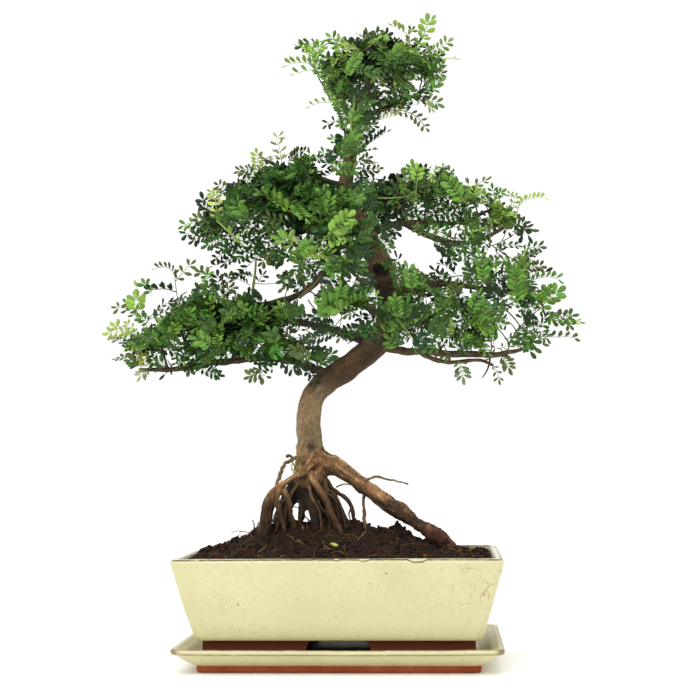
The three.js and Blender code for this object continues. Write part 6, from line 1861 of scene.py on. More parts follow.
SPRIGS = {
    "foliage_crown_left": [
        ([(322, 66), (300, 62.5), (289, 64.5), (282, 68)], -20, 6, 9.0, "B", "u"), ([(346, 84), (328, 74), (310, 70.5), (289, 75.5)], -28, 6, 8.4, "G", "u"),
        ([(320, 67), (312, 57), (304, 49), (294, 43.6)], -20, 5, 8.4, "B", "u", dict(width=0.6)), ([(312, 57), (318, 48), (325, 41)], -22, 4, 9, "B", "f"),
        ([(345, 106), (336, 95), (326, 82)], -18, 5, 8, "B", "f"), ([(350, 109), (338, 103.5), (322, 102.5), (306, 107.6)], -14, 6, 6.6, "B", "u"),
        ([(346, 108), (338, 101), (332, 92)], -22, 4, 7, "B", "f"), ([(350, 130), (338, 122.5), (330, 122), (323.5, 129)], -14, 4, 7.4, "D", "f", dict(width=0.42)),
        ([(345, 69), (334, 61), (321, 55)], -30, 4, 9.4, "D", "f", dict(width=0.4)), ([(346, 72), (334, 66), (320, 61)], -28, 3, 9.4, "D", "f", dict(width=0.36)),
        ([(340, 96), (332, 90), (324, 86)], -24, 3, 8.4, "B", "f"), ([(348, 116), (341, 106), (331, 100)], -24, 5, 7.6, "G", "f", dict(width=0.46)), ([(348, 122), (342, 112), (337, 101)], -26, 5, 7.6, "M", "f", dict(width=0.46)),
        ([(344, 100), (338, 90), (330, 82)], -26, 5, 8.0, "D", "f", dict(width=0.46)), ([(347, 94), (343, 84), (336, 76)], -30, 5, 8.0, "M", "f", dict(width=0.46)), ([(336, 88), (328, 80), (322, 77)], -20, 4, 7.6, "G", "f", dict(width=0.46)),
        ([(334, 80), (322, 72), (312, 64)], -30, 5, 7.8, "G", "f", dict(width=0.46)), ([(330, 72), (326, 62), (328, 52)], -28, 5, 7.6, "G", "f", dict(width=0.46)), ([(350, 118), (344, 122), (336, 126)], -24, 4, 6.8, "G", "f", dict(width=0.46)),
        ([(318, 60), (310, 52), (302, 47)], -26, 4, 7.4, "B", "f", dict(width=0.46)),
    ],
    "foliage_crown_top": [
        ([(348, 61), (340, 50), (334, 40), (325.5, 33.5)], -22, 5, 9.0, "G", "f"), ([(344, 60), (341, 46), (338, 34)], -26, 4, 8.0, "B", "f"), ([(352, 50), (347, 42), (345, 36)], -20, 3, 7.6, "D", "f"),
        ([(360, 50), (355, 43), (352, 37)], -18, 3, 7.6, "D", "f"), ([(345, 78), (353, 64), (361, 53)], -52, 7, 6.4, "G", "f", dict(width=0.7)),
        ([(409, 44), (408, 35), (400, 30), (388.6, 22.7)], -18, 5, 7.8, "Y", "u", dict(width=0.56)), ([(416, 48), (424, 36), (427, 26), (427, 15)], -18, 4, 9.8, "B", "f", dict(width=0.6)),
        ([(422, 40), (427, 25), (435, 16)], -16, 1, 7.4, "Y", "f"), ([(410, 44), (410, 34), (415, 26)], -14, 2, 6.4, "O", "f"), ([(424, 54), (436, 50), (445, 44), (453, 38)], -18, 5, 8.4, "B", "f"),
        ([(438, 59.5), (450, 58.5), (460.5, 58)], -10, 2, 7.6, "P", "t", dict(width=0.3)), ([(426, 57), (436, 56), (445, 54)], -14, 3, 8.0, "D", "f"), ([(432, 50), (427, 48), (423, 47)], -14, 2, 7, "D", "f"),
        ([(376, 46), (377, 35), (378, 27)], -20, 3, 8.4, "M", "f"), ([(384, 46), (386, 37), (387, 28)], -16, 3, 8.4, "D", "f"), ([(372, 42), (368, 34), (366, 28)], -12, 3, 7.4, "O", "t"),
        ([(366, 39), (360, 35), (354, 33)], -10, 3, 5.6, "P", "t"), ([(399, 52), (393, 45), (391, 39)], -18, 3, 8.4, "D", "f"), ([(404, 52), (398, 45), (397, 39)], -14, 3, 7.4, "D", "f"),
        ([(414, 52), (418, 45), (421, 38)], -16, 3, 7.2, "M", "f"), ([(384, 60), (394, 54), (404, 44)], -46, 5, 8.0, "G", "f"), ([(384, 72), (396, 64), (412, 62), (424, 66)], -46, 7, 7.6, "M", "u"),
        ([(404, 62), (412, 54), (416, 47)], -42, 4, 8.6, "G", "f"), ([(382, 48), (382, 40), (388, 36)], -30, 3, 7.6, "B", "f"), ([(372, 92), (384, 76), (388, 60)], -48, 6, 7.2, "D", "f"),
        ([(352, 70), (366, 70), (382, 78)], -50, 6, 8.0, "M", "f"),
    ],
    "foliage_crown_right": [
        ([(436, 73), (440, 65), (446, 62)], -14, 3, 7.6, "G", "f"), ([(430, 77), (438, 74.5), (446, 71)], -14, 3, 7.6, "O", "f"), ([(426, 86), (436, 82.5), (444, 78)], -16, 3, 9.0, "G", "f"),
        ([(426, 92), (434, 88), (441, 86)], -18, 2, 9.4, "G", "f"), ([(420, 101), (432, 101), (443, 107)], -14, 4, 8.8, (104, 124, 70), "f"), ([(424, 102), (430, 106), (434, 112)], -16, 3, 5.6, "Y", "f"),
        ([(420, 88), (423, 96), (421, 103)], -18, 3, 8.8, "D", "f"), ([(422, 86), (430, 90), (431, 93)], -14, 2, 7.4, "D", "f"),
        ([(377, 110), (398, 110), (410, 113), (419, 119), (425, 127), (430, 132)], -20, 7, 7.4, "O", "f", dict(start=0.3, stem=0.7)), ([(375, 121), (390, 116.5), (405, 113.5)], -26, 6, 6.6, "P", "u"),
        ([(400, 84), (410, 92), (416, 100)], -30, 5, 7.8, "M", "f"), ([(396, 90), (398, 100), (392, 108)], -30, 5, 7.6, "D", "f"),
    ],
    "foliage_stem_tufts": [
        ([(340, 146), (335, 141), (331, 134)], -16, 3, 6.8, "G", "f"), ([(366, 132), (372, 127), (378, 122)], -14, 3, 6.4, "M", "f"), ([(334, 156), (326, 153), (318, 152)], -20, 3, 6.6, "G", "f"),
        ([(340, 159), (343, 146), (347, 131)], -16, 7, 11.0, "T", "f", dict(width=0.5)), ([(354, 90), (354, 105), (351, 118), (351, 131)], -30, 0, 0, (138, 164, 86), "n", dict(stem=1.3)),
        ([(343, 161), (345, 148), (347, 134)], -30, 6, 5.4, "G", "t"), ([(327, 163), (345, 168.5), (362, 168)], -30, 6, 9.0, "G", "f"), ([(363, 147), (380, 136), (391, 129)], -16, 6, 7.6, "D", "u"),
        ([(358, 153), (366, 150.5), (378, 149)], -16, 4, 6.0, "O", "t"), ([(360, 165), (368, 163), (377, 162)], -12, 3, 6.0, "O", "t"), ([(360, 169), (372, 168.5), (383, 168)], -12, 4, 6.0, "O", "f"),
        ([(338, 167), (330, 164), (321, 161)], -14, 3, 7.4, "D", "f", dict(width=0.4)), ([(342, 162), (334, 155), (328, 150)], -20, 3, 8.6, "D", "f", dict(width=0.4)),
        ([(352, 130), (362, 122), (372, 116)], -28, 5, 8.0, "G", "f"), ([(350, 128), (358, 118), (360, 108)], -28, 5, 7.8, "M", "f"), ([(352, 140), (362, 134), (374, 131)], -24, 5, 8.0, "D", "f"),
        ([(346, 146), (354, 142), (362, 140)], -30, 5, 7.6, "G", "f"), ([(350, 152), (358, 148), (366, 144)], -26, 4, 8.0, "M", "f"), ([(346, 158), (342, 150), (344, 140)], -30, 5, 7.4, "M", "f"),
        ([(348, 124), (350, 112), (346, 104)], -26, 5, 7.0, "M", "f"), ([(362, 160), (368, 158), (370, 155)], -12, 2, 7.6, "O", "f"), ([(336, 170), (326, 176), (318, 182)], -18, 4, 7.0, "D", "u"),
        ([(352, 178), (344, 172), (334, 170)], -26, 4, 7.6, "M", "f"), ([(356, 112), (366, 104), (374, 94)], -36, 6, 7.6, "M", "f"), ([(352, 104), (356, 94), (366, 86)], -38, 6, 7.8, "D", "f"),
        ([(360, 122), (370, 116), (380, 114)], -34, 5, 7.6, "D", "f"), ([(350, 122), (356, 114), (364, 112)], -36, 5, 7.2, "G", "f"), ([(356, 132), (364, 126), (372, 124)], -34, 5, 7.6, "M", "f"), ([(352, 142), (356, 134), (364, 132)], -34, 5, 7.4, "G", "f"),
        ([(348, 152), (354, 148), (362, 150)], -34, 5, 7.6, "M", "f"), ([(364, 108), (372, 102), (384, 100)], -36, 5, 7.6, "K", "f"), ([(358, 98), (368, 92), (380, 92)], -38, 6, 7.8, "K", "f"), ([(356, 182), (362, 176), (370, 171), (378, 173)], -20, 5, 7.0, "D", "f"),
    ],
    "foliage_upper_left_outer": [
        ([(217, 222), (216, 206), (213, 190)], -62, 4, 8.4, "Y", "f", dict(stem=0.8)), ([(220, 200), (214, 193), (207, 190)], -58, 3, 6.4, "Y", "f"), ([(243, 245), (230, 233), (217, 221)], -64, 0, 0, (150, 172, 92), "n", dict(stem=1.0)),
        ([(240, 240), (232, 234), (230, 227)], -66, 1, 8.0, "B", "f"), ([(214, 229), (198, 225), (190, 223), (178, 229)], -32, 5, 8.4, "G", "f"), ([(212, 236), (200, 237), (189, 244)], -28, 4, 7.6, "D", "f"),
        ([(216, 230), (202, 233), (188, 236)], -34, 4, 7.0, "O", "f", dict(width=0.4)), ([(214, 217), (206, 206), (201, 193)], -20, 3, 9.0, "D", "f"), ([(212, 212), (204, 207), (197, 205)], -24, 2, 8.4, "D", "f"),
        ([(230, 194), (222, 187), (214, 183)], -16, 4, 7.0, "O", "f"), ([(250, 169), (243, 170), (234, 173)], -14, 3, 7.4, "O", "f"), ([(254, 171), (247, 172), (245, 179)], -16, 2, 7.4, "O", "f"),
        ([(259, 178), (258, 165), (256, 148)], -22, 6, 7.4, "Y", "f"), ([(256, 178), (250, 172), (254, 164)], -18, 3, 6.4, "M", "f"), ([(258, 171), (264, 160), (273, 156)], -16, 4, 6.4, "O", "t"),
        ([(262, 170), (268, 162), (275, 159)], -12, 3, 6.4, "O", "t"), ([(250, 222), (238, 213), (226, 206)], -64, 5, 10.4, "M", "f"), ([(248, 216), (238, 207), (240, 195)], -62, 5, 9.6, "G", "f"),
        ([(232, 232), (226, 220), (216, 214)], -60, 5, 9.4, "M", "f"), ([(226, 212), (232, 202), (238, 192)], -58, 5, 8.6, "M", "f"), ([(232, 250), (222, 254), (212, 262)], -26, 4, 7.0, "D", "f"),
        ([(238, 258), (224, 262), (209, 268)], -24, 4, 7.0, "D", "u"), ([(236, 256), (226, 262), (222, 268)], -22, 3, 7.4, "D", "f"), ([(234, 248), (226, 249), (216, 247)], -30, 4, 7.0, "D", "f", dict(width=0.42)),
        ([(226, 240), (214, 242), (202, 248)], -40, 5, 8.4, "M", "f"), ([(206, 222), (198, 218), (195, 212)], -34, 3, 8.4, "O", "f"),
    ],
    "foliage_upper_left_inner": [
        ([(303, 219), (281, 206), (264, 195), (255, 189)], -86, 5, 14.0, "B", "u", dict(width=0.56, stem=0.8, start=0.24)), ([(275, 203), (262, 196), (253, 195)], -85, 1, 9.0, "B", "f"),
        ([(321, 242), (335, 229), (346, 219), (355, 211)], -96, 5, 11.0, "B", "f", dict(width=0.6, stem=0.7, start=0.4)), ([(318, 240), (335, 238), (345, 231)], -95, 3, 9.6, "B", "f", dict(width=0.66, start=0.5)),
        ([(331, 237), (341, 228), (353, 221)], -92, 4, 8.6, "G", "f", dict(width=0.56, start=0.3)), ([(321, 240), (320, 222), (321, 205), (325, 184)], -84, 5, 10.0, "G", "t", dict(stem=0.7)),
        ([(330, 224), (330, 210), (328, 192)], -82, 5, 9.0, "G", "t"), ([(322, 236), (326, 222), (336, 206)], -80, 4, 8.0, "M", "f"), ([(282, 164), (280, 150), (277, 139), (284, 132)], -22, 4, 8.4, "P", "f", dict(width=0.34)),
        ([(282, 160), (279, 154), (275, 151)], -22, 1, 7.0, "Y", "f"), ([(290, 161), (299, 153), (310, 150.5)], -16, 5, 6.6, "D", "u"), ([(288, 162), (295, 154), (303, 149)], -18, 5, 6.6, "O", "u"),
        ([(303, 263), (306, 255), (313, 252.5), (325, 252.5), (339, 258)], -92, 8, 8.6, "B", "f", dict(width=0.42, stem=0.6)), ([(302, 252), (290, 243), (283, 230)], -88, 2, 12.6, "B", "f", dict(width=0.5)),
        ([(294, 247), (284, 240), (272, 237)], -86, 2, 11.0, "B", "f", dict(width=0.42)), ([(306, 248), (300, 244), (296, 237)], -88, 1, 10.4, "P", "f", dict(width=0.7)), ([(298, 252), (305, 247), (312, 239)], -90, 4, 9.0, "G", "f"),
        ([(316, 246), (306, 249), (298, 248)], -88, 3, 9.0, "B", "f"), ([(285, 236), (274, 230), (266, 224)], -76, 4, 9.4, "M", "f"), ([(284, 222), (273, 218), (262, 217)], -78, 3, 7.8, "O", "f"), ([(264, 245), (252, 247), (242, 246)], -66, 0, 0, (140, 160, 84), "n", dict(stem=0.8)),
        ([(262, 248), (270, 256), (281, 262)], -50, 5, 8.0, "O", "f"), ([(272, 250), (266, 258), (258, 266)], -48, 4, 8.0, "O", "f"), ([(252, 302), (253, 288), (255, 274), (256, 258)], -46, 0, 0, (104, 122, 62), "n", dict(stem=1.9)),
        ([(264, 250), (254, 260), (244, 270), (234, 280)], -40, 6, 7.4, "D", "u"), ([(258, 282), (262, 276), (267, 271)], -44, 2, 8.0, "D", "f", dict(width=0.4)), ([(284, 258), (276, 262), (270, 266)], -52, 4, 8.0, "D", "f"),
        ([(330, 268), (322, 276), (313, 286), (299, 298)], -70, 0, 0, (96, 78, 58), "n", dict(stem=2.6)), ([(300, 262), (300, 274), (306, 288), (310, 292)], -66, 0, 0, (92, 76, 56), "n", dict(stem=1.9)),
        ([(302, 262), (296, 272), (288, 280), (276, 283)], -64, 6, 8.6, "M", "f"), ([(290, 288), (288, 278), (285, 270)], -58, 2, 8.6, "D", "f"), ([(290, 284), (284, 280), (278, 276)], -56, 2, 8.6, "D", "f"),
        ([(288, 284), (283, 288), (281, 292)], -56, 1, 7.6, "O", "f"), ([(308, 293), (300, 288), (292, 280)], -66, 4, 8.4, "D", "f"), ([(314, 284), (307, 276), (300, 270)], -70, 4, 8.2, "M", "f"),
        ([(252, 283), (264, 284), (280, 283)], -44, 0, 0, (120, 134, 80), "n", dict(stem=0.6)), ([(254, 276), (246, 276), (236, 275)], -42, 4, 7.0, "D", "u"), ([(284, 305), (285, 296), (289, 286), (296, 280)], -50, 0, 0, (120, 134, 80), "n", dict(stem=0.7)), ([(278, 190), (288, 178), (296, 170)], -62, 5, 9.0, "M", "f"),
        ([(284, 200), (280, 188), (286, 176)], -66, 5, 9.0, "D", "f"), ([(310, 200), (302, 188), (306, 172)], -60, 5, 9.0, "D", "f"), ([(344, 250), (352, 244), (358, 240)], -86, 3, 9.4, "M", "f"),
        ([(346, 262), (356, 254), (362, 246)], -86, 4, 9.0, "M", "f"), ([(328, 258), (340, 264), (352, 266)], -98, 6, 8.2, "M", "f"), ([(334, 266), (346, 270), (357, 276)], -98, 5, 8.4, "D", "f"), ([(340, 256), (352, 260), (364, 262)], -98, 6, 8.0, "D", "f"),
        ([(350, 262), (360, 266), (368, 272)], -94, 5, 7.8, "M", "f"), ([(322, 262), (332, 270), (340, 279)], -96, 5, 8.2, "G", "f"), ([(354, 250), (364, 252), (374, 250)], -92, 5, 7.8, "D", "f"), ([(356, 240), (366, 236), (376, 234)], -90, 5, 8.2, "M", "f"),
        ([(362, 228), (372, 220), (378, 212)], -84, 5, 8.2, "M", "f"), ([(366, 214), (372, 204), (378, 196)], -80, 5, 8.2, "D", "f"), ([(350, 206), (356, 198), (366, 200)], -74, 4, 8.0, "G", "f"), ([(340, 204), (352, 198), (366, 190)], -60, 5, 9.0, "M", "f"), ([(356, 204), (362, 192), (374, 182)], -58, 5, 10.0, "M", "f"),
    ],
    "foliage_upper_right_inner": [
        ([(414, 184), (414, 173), (412, 160)], -36, 4, 9.0, "G", "f"), ([(416, 182), (417, 172), (416, 163)], -40, 3, 9.0, "B", "f"), ([(418, 180), (422, 171), (427, 164)], -30, 3, 7.4, "D", "f"),
        ([(404, 186), (404, 178), (403, 169)], -24, 1, 9.4, "O", "f", dict(width=0.6)), ([(400, 187), (399, 182), (397, 174)], -24, 1, 8.6, "O", "f", dict(width=0.6)), ([(398, 192), (394, 187), (392, 179)], -24, 1, 8.6, "O", "f", dict(width=0.6)),
        ([(447, 190), (442, 178), (436, 166)], -20, 3, 6.0, "Y", "f"), ([(456, 186), (450, 177), (449, 166)], -20, 3, 7.0, "O", "f"), ([(450, 186), (444, 174), (443, 163)], -16, 3, 5.6, "Y", "f"),
        ([(468, 204), (456, 191), (443, 174)], -46, 6, 10.0, "G", "f"), ([(462, 200), (452, 186), (448, 176)], -44, 5, 9.4, "M", "f"), ([(444, 200), (440, 186), (432, 176)], -40, 5, 9.0, "M", "f"),
        ([(424, 196), (426, 182), (430, 172)], -36, 5, 8.4, "O", "f"), ([(416, 202), (416, 190), (418, 178)], -40, 0, 0, (150, 160, 96), "n", dict(stem=0.9)),
        ([(376, 198), (392, 198), (408, 196), (416, 190)], -38, 0, 0, (132, 150, 76), "n", dict(stem=0.8)), ([(408, 196), (396, 192), (388, 188)], -36, 4, 7.6, "M", "f"),
        ([(430, 236), (420, 230), (412, 226)], -30, 3, 7.4, "O", "f"), ([(380, 226), (388, 234), (393, 244)], -60, 5, 8.0, "D", "f"), ([(378, 236), (386, 244), (391, 254)], -62, 5, 8.0, "M", "f"),
        ([(386, 226), (394, 230), (400, 236)], -56, 4, 7.6, "K", "f"), ([(432, 240), (442, 246), (450, 256)], -34, 6, 7.8, "D", "f"), ([(440, 244), (450, 248), (460, 250)], -34, 5, 7.6, "M", "f"), ([(446, 250), (452, 258), (450, 268)], -36, 5, 7.6, "D", "f"),
    ],
    "foliage_upper_right_outer": [
        ([(470, 190), (469, 186), (467, 179)], -16, 1, 8.4, "O", "f", dict(width=0.66)), ([(472, 194), (475, 186), (484, 181), (491, 178)], -18, 3, 8.8, "O", "t"), ([(474, 200), (474, 192), (477, 184)], -26, 3, 8.6, "B", "f"),
        ([(488, 204), (482, 196), (478, 188)], -22, 3, 8.6, "B", "f"), ([(494, 206), (486, 200), (482, 196)], -20, 3, 7.8, "D", "f"), ([(494, 212), (494, 198), (492, 184)], -22, 5, 7.0, "M", "f"), ([(494, 198), (500, 193), (506, 190)], -20, 3, 7.0, "G", "f"),
        ([(512, 210), (515, 199), (517, 193)], -16, 3, 6.0, "Y", "f"), ([(508, 212), (512, 200), (508, 191)], -14, 2, 5.6, "Y", "f"), ([(516, 226), (518, 209), (524, 201), (536, 198), (549, 198)], -20, 8, 6.8, "Y", "u", dict(start=0.35)),
        ([(512, 227), (520, 224), (530, 222)], -20, 3, 8.6, "D", "f", dict(width=0.44)), ([(512, 232), (522, 229), (532, 225)], -18, 2, 8.6, "D", "f", dict(width=0.4)), ([(514, 230), (524, 229), (537, 231)], -22, 1, 11.4, "M", "f", dict(width=0.4)),
        ([(524, 228), (523, 234), (520, 240)], -22, 1, 9.4, "D", "f"), ([(524, 228), (528, 235), (531, 241)], -22, 1, 10.0, "D", "f", dict(width=0.42)), ([(492, 246), (505, 240), (514, 234), (516, 229)], -18, 0, 0, (96, 106, 62), "n", dict(stem=0.6)),
        ([(502, 241), (505, 234), (506, 228)], -20, 0, 0, (96, 106, 62), "n", dict(stem=0.55)), ([(506, 228), (508, 231), (510, 235)], -20, 1, 7.4, "D", "f"), ([(490, 246), (490, 230), (491, 214)], -26, 0, 0, (110, 120, 70), "n", dict(stem=1.1)),
        ([(500, 226), (506, 216), (512, 208)], -34, 5, 9.0, "M", "f"), ([(498, 220), (504, 212), (498, 206)], -36, 4, 9.0, "M", "f"), ([(486, 244), (478, 238), (470, 228)], -34, 5, 8.6, "M", "f"), ([(490, 220), (486, 216), (484, 212)], -24, 1, 8.8, "D", "f", dict(width=0.5)),
        ([(478, 230), (472, 220), (470, 208)], -36, 5, 8.8, "M", "f"),
    ],
    "foliage_right_inner": [
        ([(412, 292), (411, 277), (405, 262)], -66, 6, 9.0, "G", "f"), ([(424, 292), (419, 280), (410, 270)], -62, 5, 8.6, "M", "f"), ([(400, 290), (398, 276), (394, 264)], -62, 5, 8.6, "M", "f"), ([(472, 264), (453, 257), (437, 250)], -36, 5, 8.4, "D", "t"),
        ([(456, 274), (447, 267), (437, 262)], -34, 4, 7.6, "D", "u"), ([(452, 292), (441, 277), (430, 266)], -40, 5, 8.6, "D", "f", dict(width=0.4)), ([(456, 296), (447, 282), (436, 270)], -36, 5, 8.6, "D", "f", dict(width=0.36)),
        ([(459, 360), (461, 368), (463, 376), (463, 384)], -40, 4, 9.4, (112, 130, 88), "f", dict(width=0.44, start=0.12, stem=0.5)), ([(450, 352), (446, 356), (450, 360)], -40, 2, 7.4, "O", "f"), ([(397, 320), (408, 332), (413, 339)], -74, 0, 0, (128, 146, 80), "n", dict(stem=0.7)),
        ([(397, 320), (396, 306), (394, 293)], -74, 5, 8.6, "G", "f"), ([(404, 320), (406, 308), (410, 298)], -72, 5, 9.4, "M", "f"), ([(414, 326), (420, 312), (430, 304)], -70, 6, 9.0, "D", "f"), ([(430, 340), (436, 326), (444, 316)], -70, 6, 9.0, "M", "f"),
        ([(416, 350), (422, 340), (430, 332)], -68, 5, 9.0, "T", "f"), ([(450, 340), (446, 328), (440, 318)], -70, 5, 9.0, "M", "f"), ([(456, 300), (455, 290), (458, 280)], -60, 5, 8.6, "O", "f"),
        ([(384, 332), (388, 325), (393, 318)], -60, 3, 9.4, "G", "f"), ([(398, 347), (391, 341), (386, 334)], -58, 3, 9.4, "G", "f"), ([(392, 344), (398, 340), (404, 336)], -58, 3, 8.4, "M", "f"),
    ],
    "foliage_right_outer": [
        ([(484, 284), (482, 266), (478, 249)], -64, 6, 9.6, "G", "f"), ([(478, 290), (472, 276), (468, 262)], -62, 5, 9.4, "M", "f"), ([(484, 332), (487, 317), (489, 302)], -66, 5, 9.6, "M", "f"), ([(476, 326), (480, 312), (484, 300)], -68, 5, 9.4, "G", "f"),
        ([(496, 322), (498, 310), (504, 302)], -62, 4, 9.0, "M", "f"), ([(518, 306), (516, 290), (517, 276), (515, 264)], -60, 6, 10.0, "G", "f"), ([(524, 300), (520, 286), (521, 272)], -56, 5, 9.0, "B", "f"), ([(506, 276), (512, 266), (506, 256)], -52, 5, 8.6, "G", "f"),
        ([(490, 268), (494, 262), (500, 258)], -56, 4, 8.6, "M", "f"), ([(494, 280), (506, 274), (516, 272)], -50, 5, 8.6, "D", "f", dict(width=0.4)), ([(522, 252), (534, 247), (546, 248)], -26, 4, 8.0, "M", "f"), ([(494, 248), (506, 245), (523, 245.5)], -24, 4, 8.0, "M", "t"),
        ([(496, 254), (502, 250), (504, 248)], -22, 2, 8.0, "D", "f", dict(width=0.4)), ([(528, 256), (535, 254), (540, 251)], -20, 3, 6.6, "O", "t"), ([(524, 263), (530, 263), (536, 263)], -22, 1, 8.4, "D", "f"), ([(538, 277), (545, 272), (552, 269)], -22, 0, 9.0, "K", "f"),
        ([(526, 269), (538, 266), (547, 268)], -24, 4, 7.6, "O", "f"), ([(528, 281), (545, 277), (556, 278), (563, 283)], -30, 6, 8.0, "G", "u", dict(start=0.1)), ([(538, 311), (547, 301), (556, 293), (565, 288.5)], -34, 4, 11.0, "G", "f", dict(width=0.62, start=0.24)),
        ([(540, 300), (546, 294), (551, 284)], -32, 2, 10.0, "G", "f", dict(width=0.62)), ([(548, 321), (560, 317.5), (570, 316), (579, 314)], -34, 4, 10.0, "M", "f", dict(width=0.5)), ([(556, 320.5), (572, 320), (584, 324)], -36, 3, 8.4, "B", "t"),
        ([(564, 319), (569, 324), (572, 330)], -36, 2, 7.8, "M", "f"), ([(538, 336), (556, 337), (570, 337), (580, 340.5)], -38, 5, 7.4, "O", "u", dict(width=0.6)), ([(536, 343), (542, 344), (547.5, 345.5)], -36, 0, 7.6, "O", "f"),
        ([(524, 346), (530, 351), (532, 357)], -38, 1, 9.8, "M", "f"), ([(526, 344), (534, 348), (539, 352)], -38, 1, 9.8, "M", "f"), ([(523, 338), (530, 342), (540, 341)], -40, 4, 9.4, "M", "f"), ([(500, 355), (507, 363), (511, 374)], -38, 5, 9.0, "O", "f"),
        ([(486, 361), (496, 370), (500, 384)], -36, 3, 6.4, "O", "t", dict(start=0.4)), ([(504, 308), (514, 318), (524, 332), (526, 338)], -34, 0, 0, (96, 104, 62), "n", dict(stem=0.9)), ([(526, 338), (528, 326), (534, 314), (540, 308)], -34, 0, 0, (128, 150, 80), "n", dict(stem=0.8)),
        ([(498, 309), (508, 305), (518, 300)], -36, 0, 0, (70, 62, 44), "n", dict(stem=0.9)), 
        ([(494, 344), (490, 332), (486, 322)], -48, 5, 8.6, "M", "f"), ([(504, 300), (494, 292), (488, 284)], -50, 5, 8.6, "D", "f", dict(width=0.4)), ([(506, 296), (500, 286), (500, 278)], -48, 5, 8.6, "D", "f", dict(width=0.4)),
        ([(506, 290), (512, 288), (504, 286)], -44, 1, 8.0, "K", "f"), ([(532, 308), (526, 300), (524, 292)], -40, 4, 10.0, "T", "f"), ([(540, 322), (532, 320), (524, 316)], -40, 4, 8.8, "T", "f"),
    ],
    "foliage_lower_left_outer": [
        ([(132, 334), (117, 332), (103, 334.5)], -30, 4, 9.0, "Y", "f"), ([(128, 333), (118, 328), (111, 323)], -28, 2, 8.6, "Y", "f"), ([(135, 334), (131, 327), (124, 321)], -26, 3, 6.0, "Y", "f"), ([(137, 317), (126, 309), (111, 307)], -28, 3, 8.0, "O", "f"),
        ([(138, 320), (136, 304), (136, 290)], -30, 3, 11.4, "B", "f", dict(width=0.64, start=0.5)), ([(140, 300), (137, 288), (134, 281)], -28, 1, 8.4, "Y", "f"), ([(138, 312), (128, 303), (122, 301)], -26, 3, 8.4, "O", "f"), ([(152, 293), (146, 286), (142, 278)], -26, 2, 9.0, "G", "f"),
        ([(176, 292), (166, 289), (152, 290), (143, 292)], -24, 4, 9.0, "D", "u", dict(width=0.66, stem=0.7)), ([(178, 303), (176, 288), (173, 272), (165, 267), (151, 270)], -22, 6, 6.8, "O", "u", dict(start=0.58, stem=0.6)), ([(175, 282), (186, 269), (196, 260)], -20, 3, 9.0, "O", "f", dict(width=0.5)),
        ([(178, 301), (180, 297), (187, 292)], -22, 3, 6.4, "O", "t"), ([(150, 317), (162, 306), (177, 299)], -26, 4, 10.0, "D", "t"), ([(150, 319), (166, 311), (179, 303)], -28, 4, 10.0, "O", "t"), ([(149, 323), (142, 318), (137, 313)], -34, 3, 8.4, "G", "f"),
        ([(134, 346), (122, 341), (111, 338)], -28, 3, 8.0, "K", "t"), ([(134, 353), (124, 357), (112, 359.5)], -30, 4, 7.8, "M", "t"), ([(147, 367), (144, 358), (141, 350)], -48, 4, 8.0, (136, 142, 58), "t"), ([(147, 368), (142, 374), (138, 381)], -32, 4, 8.4, "P", "f", dict(width=0.36)),
        ([(172, 367), (166, 373), (161, 379)], -30, 1, 8.6, "K", "f", dict(width=0.36, stem=0.8)), ([(184, 364), (190, 369), (192, 375)], -36, 2, 8.4, "M", "f"), ([(196, 364), (206, 370), (222, 376)], -36, 5, 7.0, "T", "f"), ([(134, 340), (130, 334), (128, 328)], -34, 2, 7.8, "Y", "f"),
        ([(150, 348), (140, 342), (128, 342)], -58, 5, 9.0, "G", "f"), ([(160, 344), (150, 336), (138, 336)], -60, 5, 9.0, "M", "f"), ([(176, 330), (166, 326), (158, 318)], -58, 5, 8.6, "G", "f"), ([(182, 346), (172, 342), (164, 334)], -60, 5, 9.0, "M", "f"),
        ([(166, 366), (160, 362), (154, 358)], -46, 3, 8.4, "M", "f"), ([(138, 367), (132, 361), (128, 354)], -40, 4, 8.0, "M", "f"), ([(142, 366), (137, 358), (136, 349)], -44, 4, 8.0, "O", "f"), ([(146, 366), (140, 364), (128, 366)], -40, 4, 7.0, "D", "t"), ([(196, 326), (186, 314), (178, 306)], -54, 5, 9.0, "G", "f"), ([(122, 336), (116, 340), (112, 338)], -26, 1, 7.4, "K", "t"),
    ],
    "foliage_lower_left_inner": [
        ([(208, 277), (202, 273), (194, 269.5)], -32, 2, 8.8, "O", "f"), ([(208, 284), (207, 276), (208, 268)], -36, 3, 8.0, "G", "f"), ([(222, 292), (218, 280), (218, 270)], -34, 4, 8.4, "D", "f"), ([(228, 290), (228, 280), (232, 272)], -30, 3, 7.6, "M", "f"),
        ([(222, 297), (228, 289), (238, 288)], -34, 4, 7.4, "O", "f"), ([(250, 285), (240, 280), (228, 277)], -38, 5, 6.8, "D", "u"), ([(206, 300), (200, 290), (196, 284)], -46, 4, 9.0, "D", "f"), ([(214, 300), (208, 288), (206, 280)], -50, 5, 8.6, "M", "f"),
        ([(212, 346), (202, 340), (190, 337)], -74, 6, 10.0, "G", "f"), ([(214, 334), (208, 324), (202, 314)], -72, 5, 9.6, "M", "f"), ([(236, 322), (228, 310), (222, 302)], -70, 5, 9.6, "M", "f"), ([(262, 304), (254, 298), (246, 294)], -50, 5, 8.6, "D", "f"),
        ([(262, 296), (256, 292), (250, 290)], -44, 3, 7.4, "O", "t"), ([(264, 320), (262, 312), (268, 305), (276, 309)], -56, 5, 7.4, "D", "u"), ([(284, 321), (282, 311), (278, 301)], -60, 4, 8.6, "G", "f"), ([(276, 344), (272, 334), (266, 326)], -82, 5, 9.0, "M", "f"),
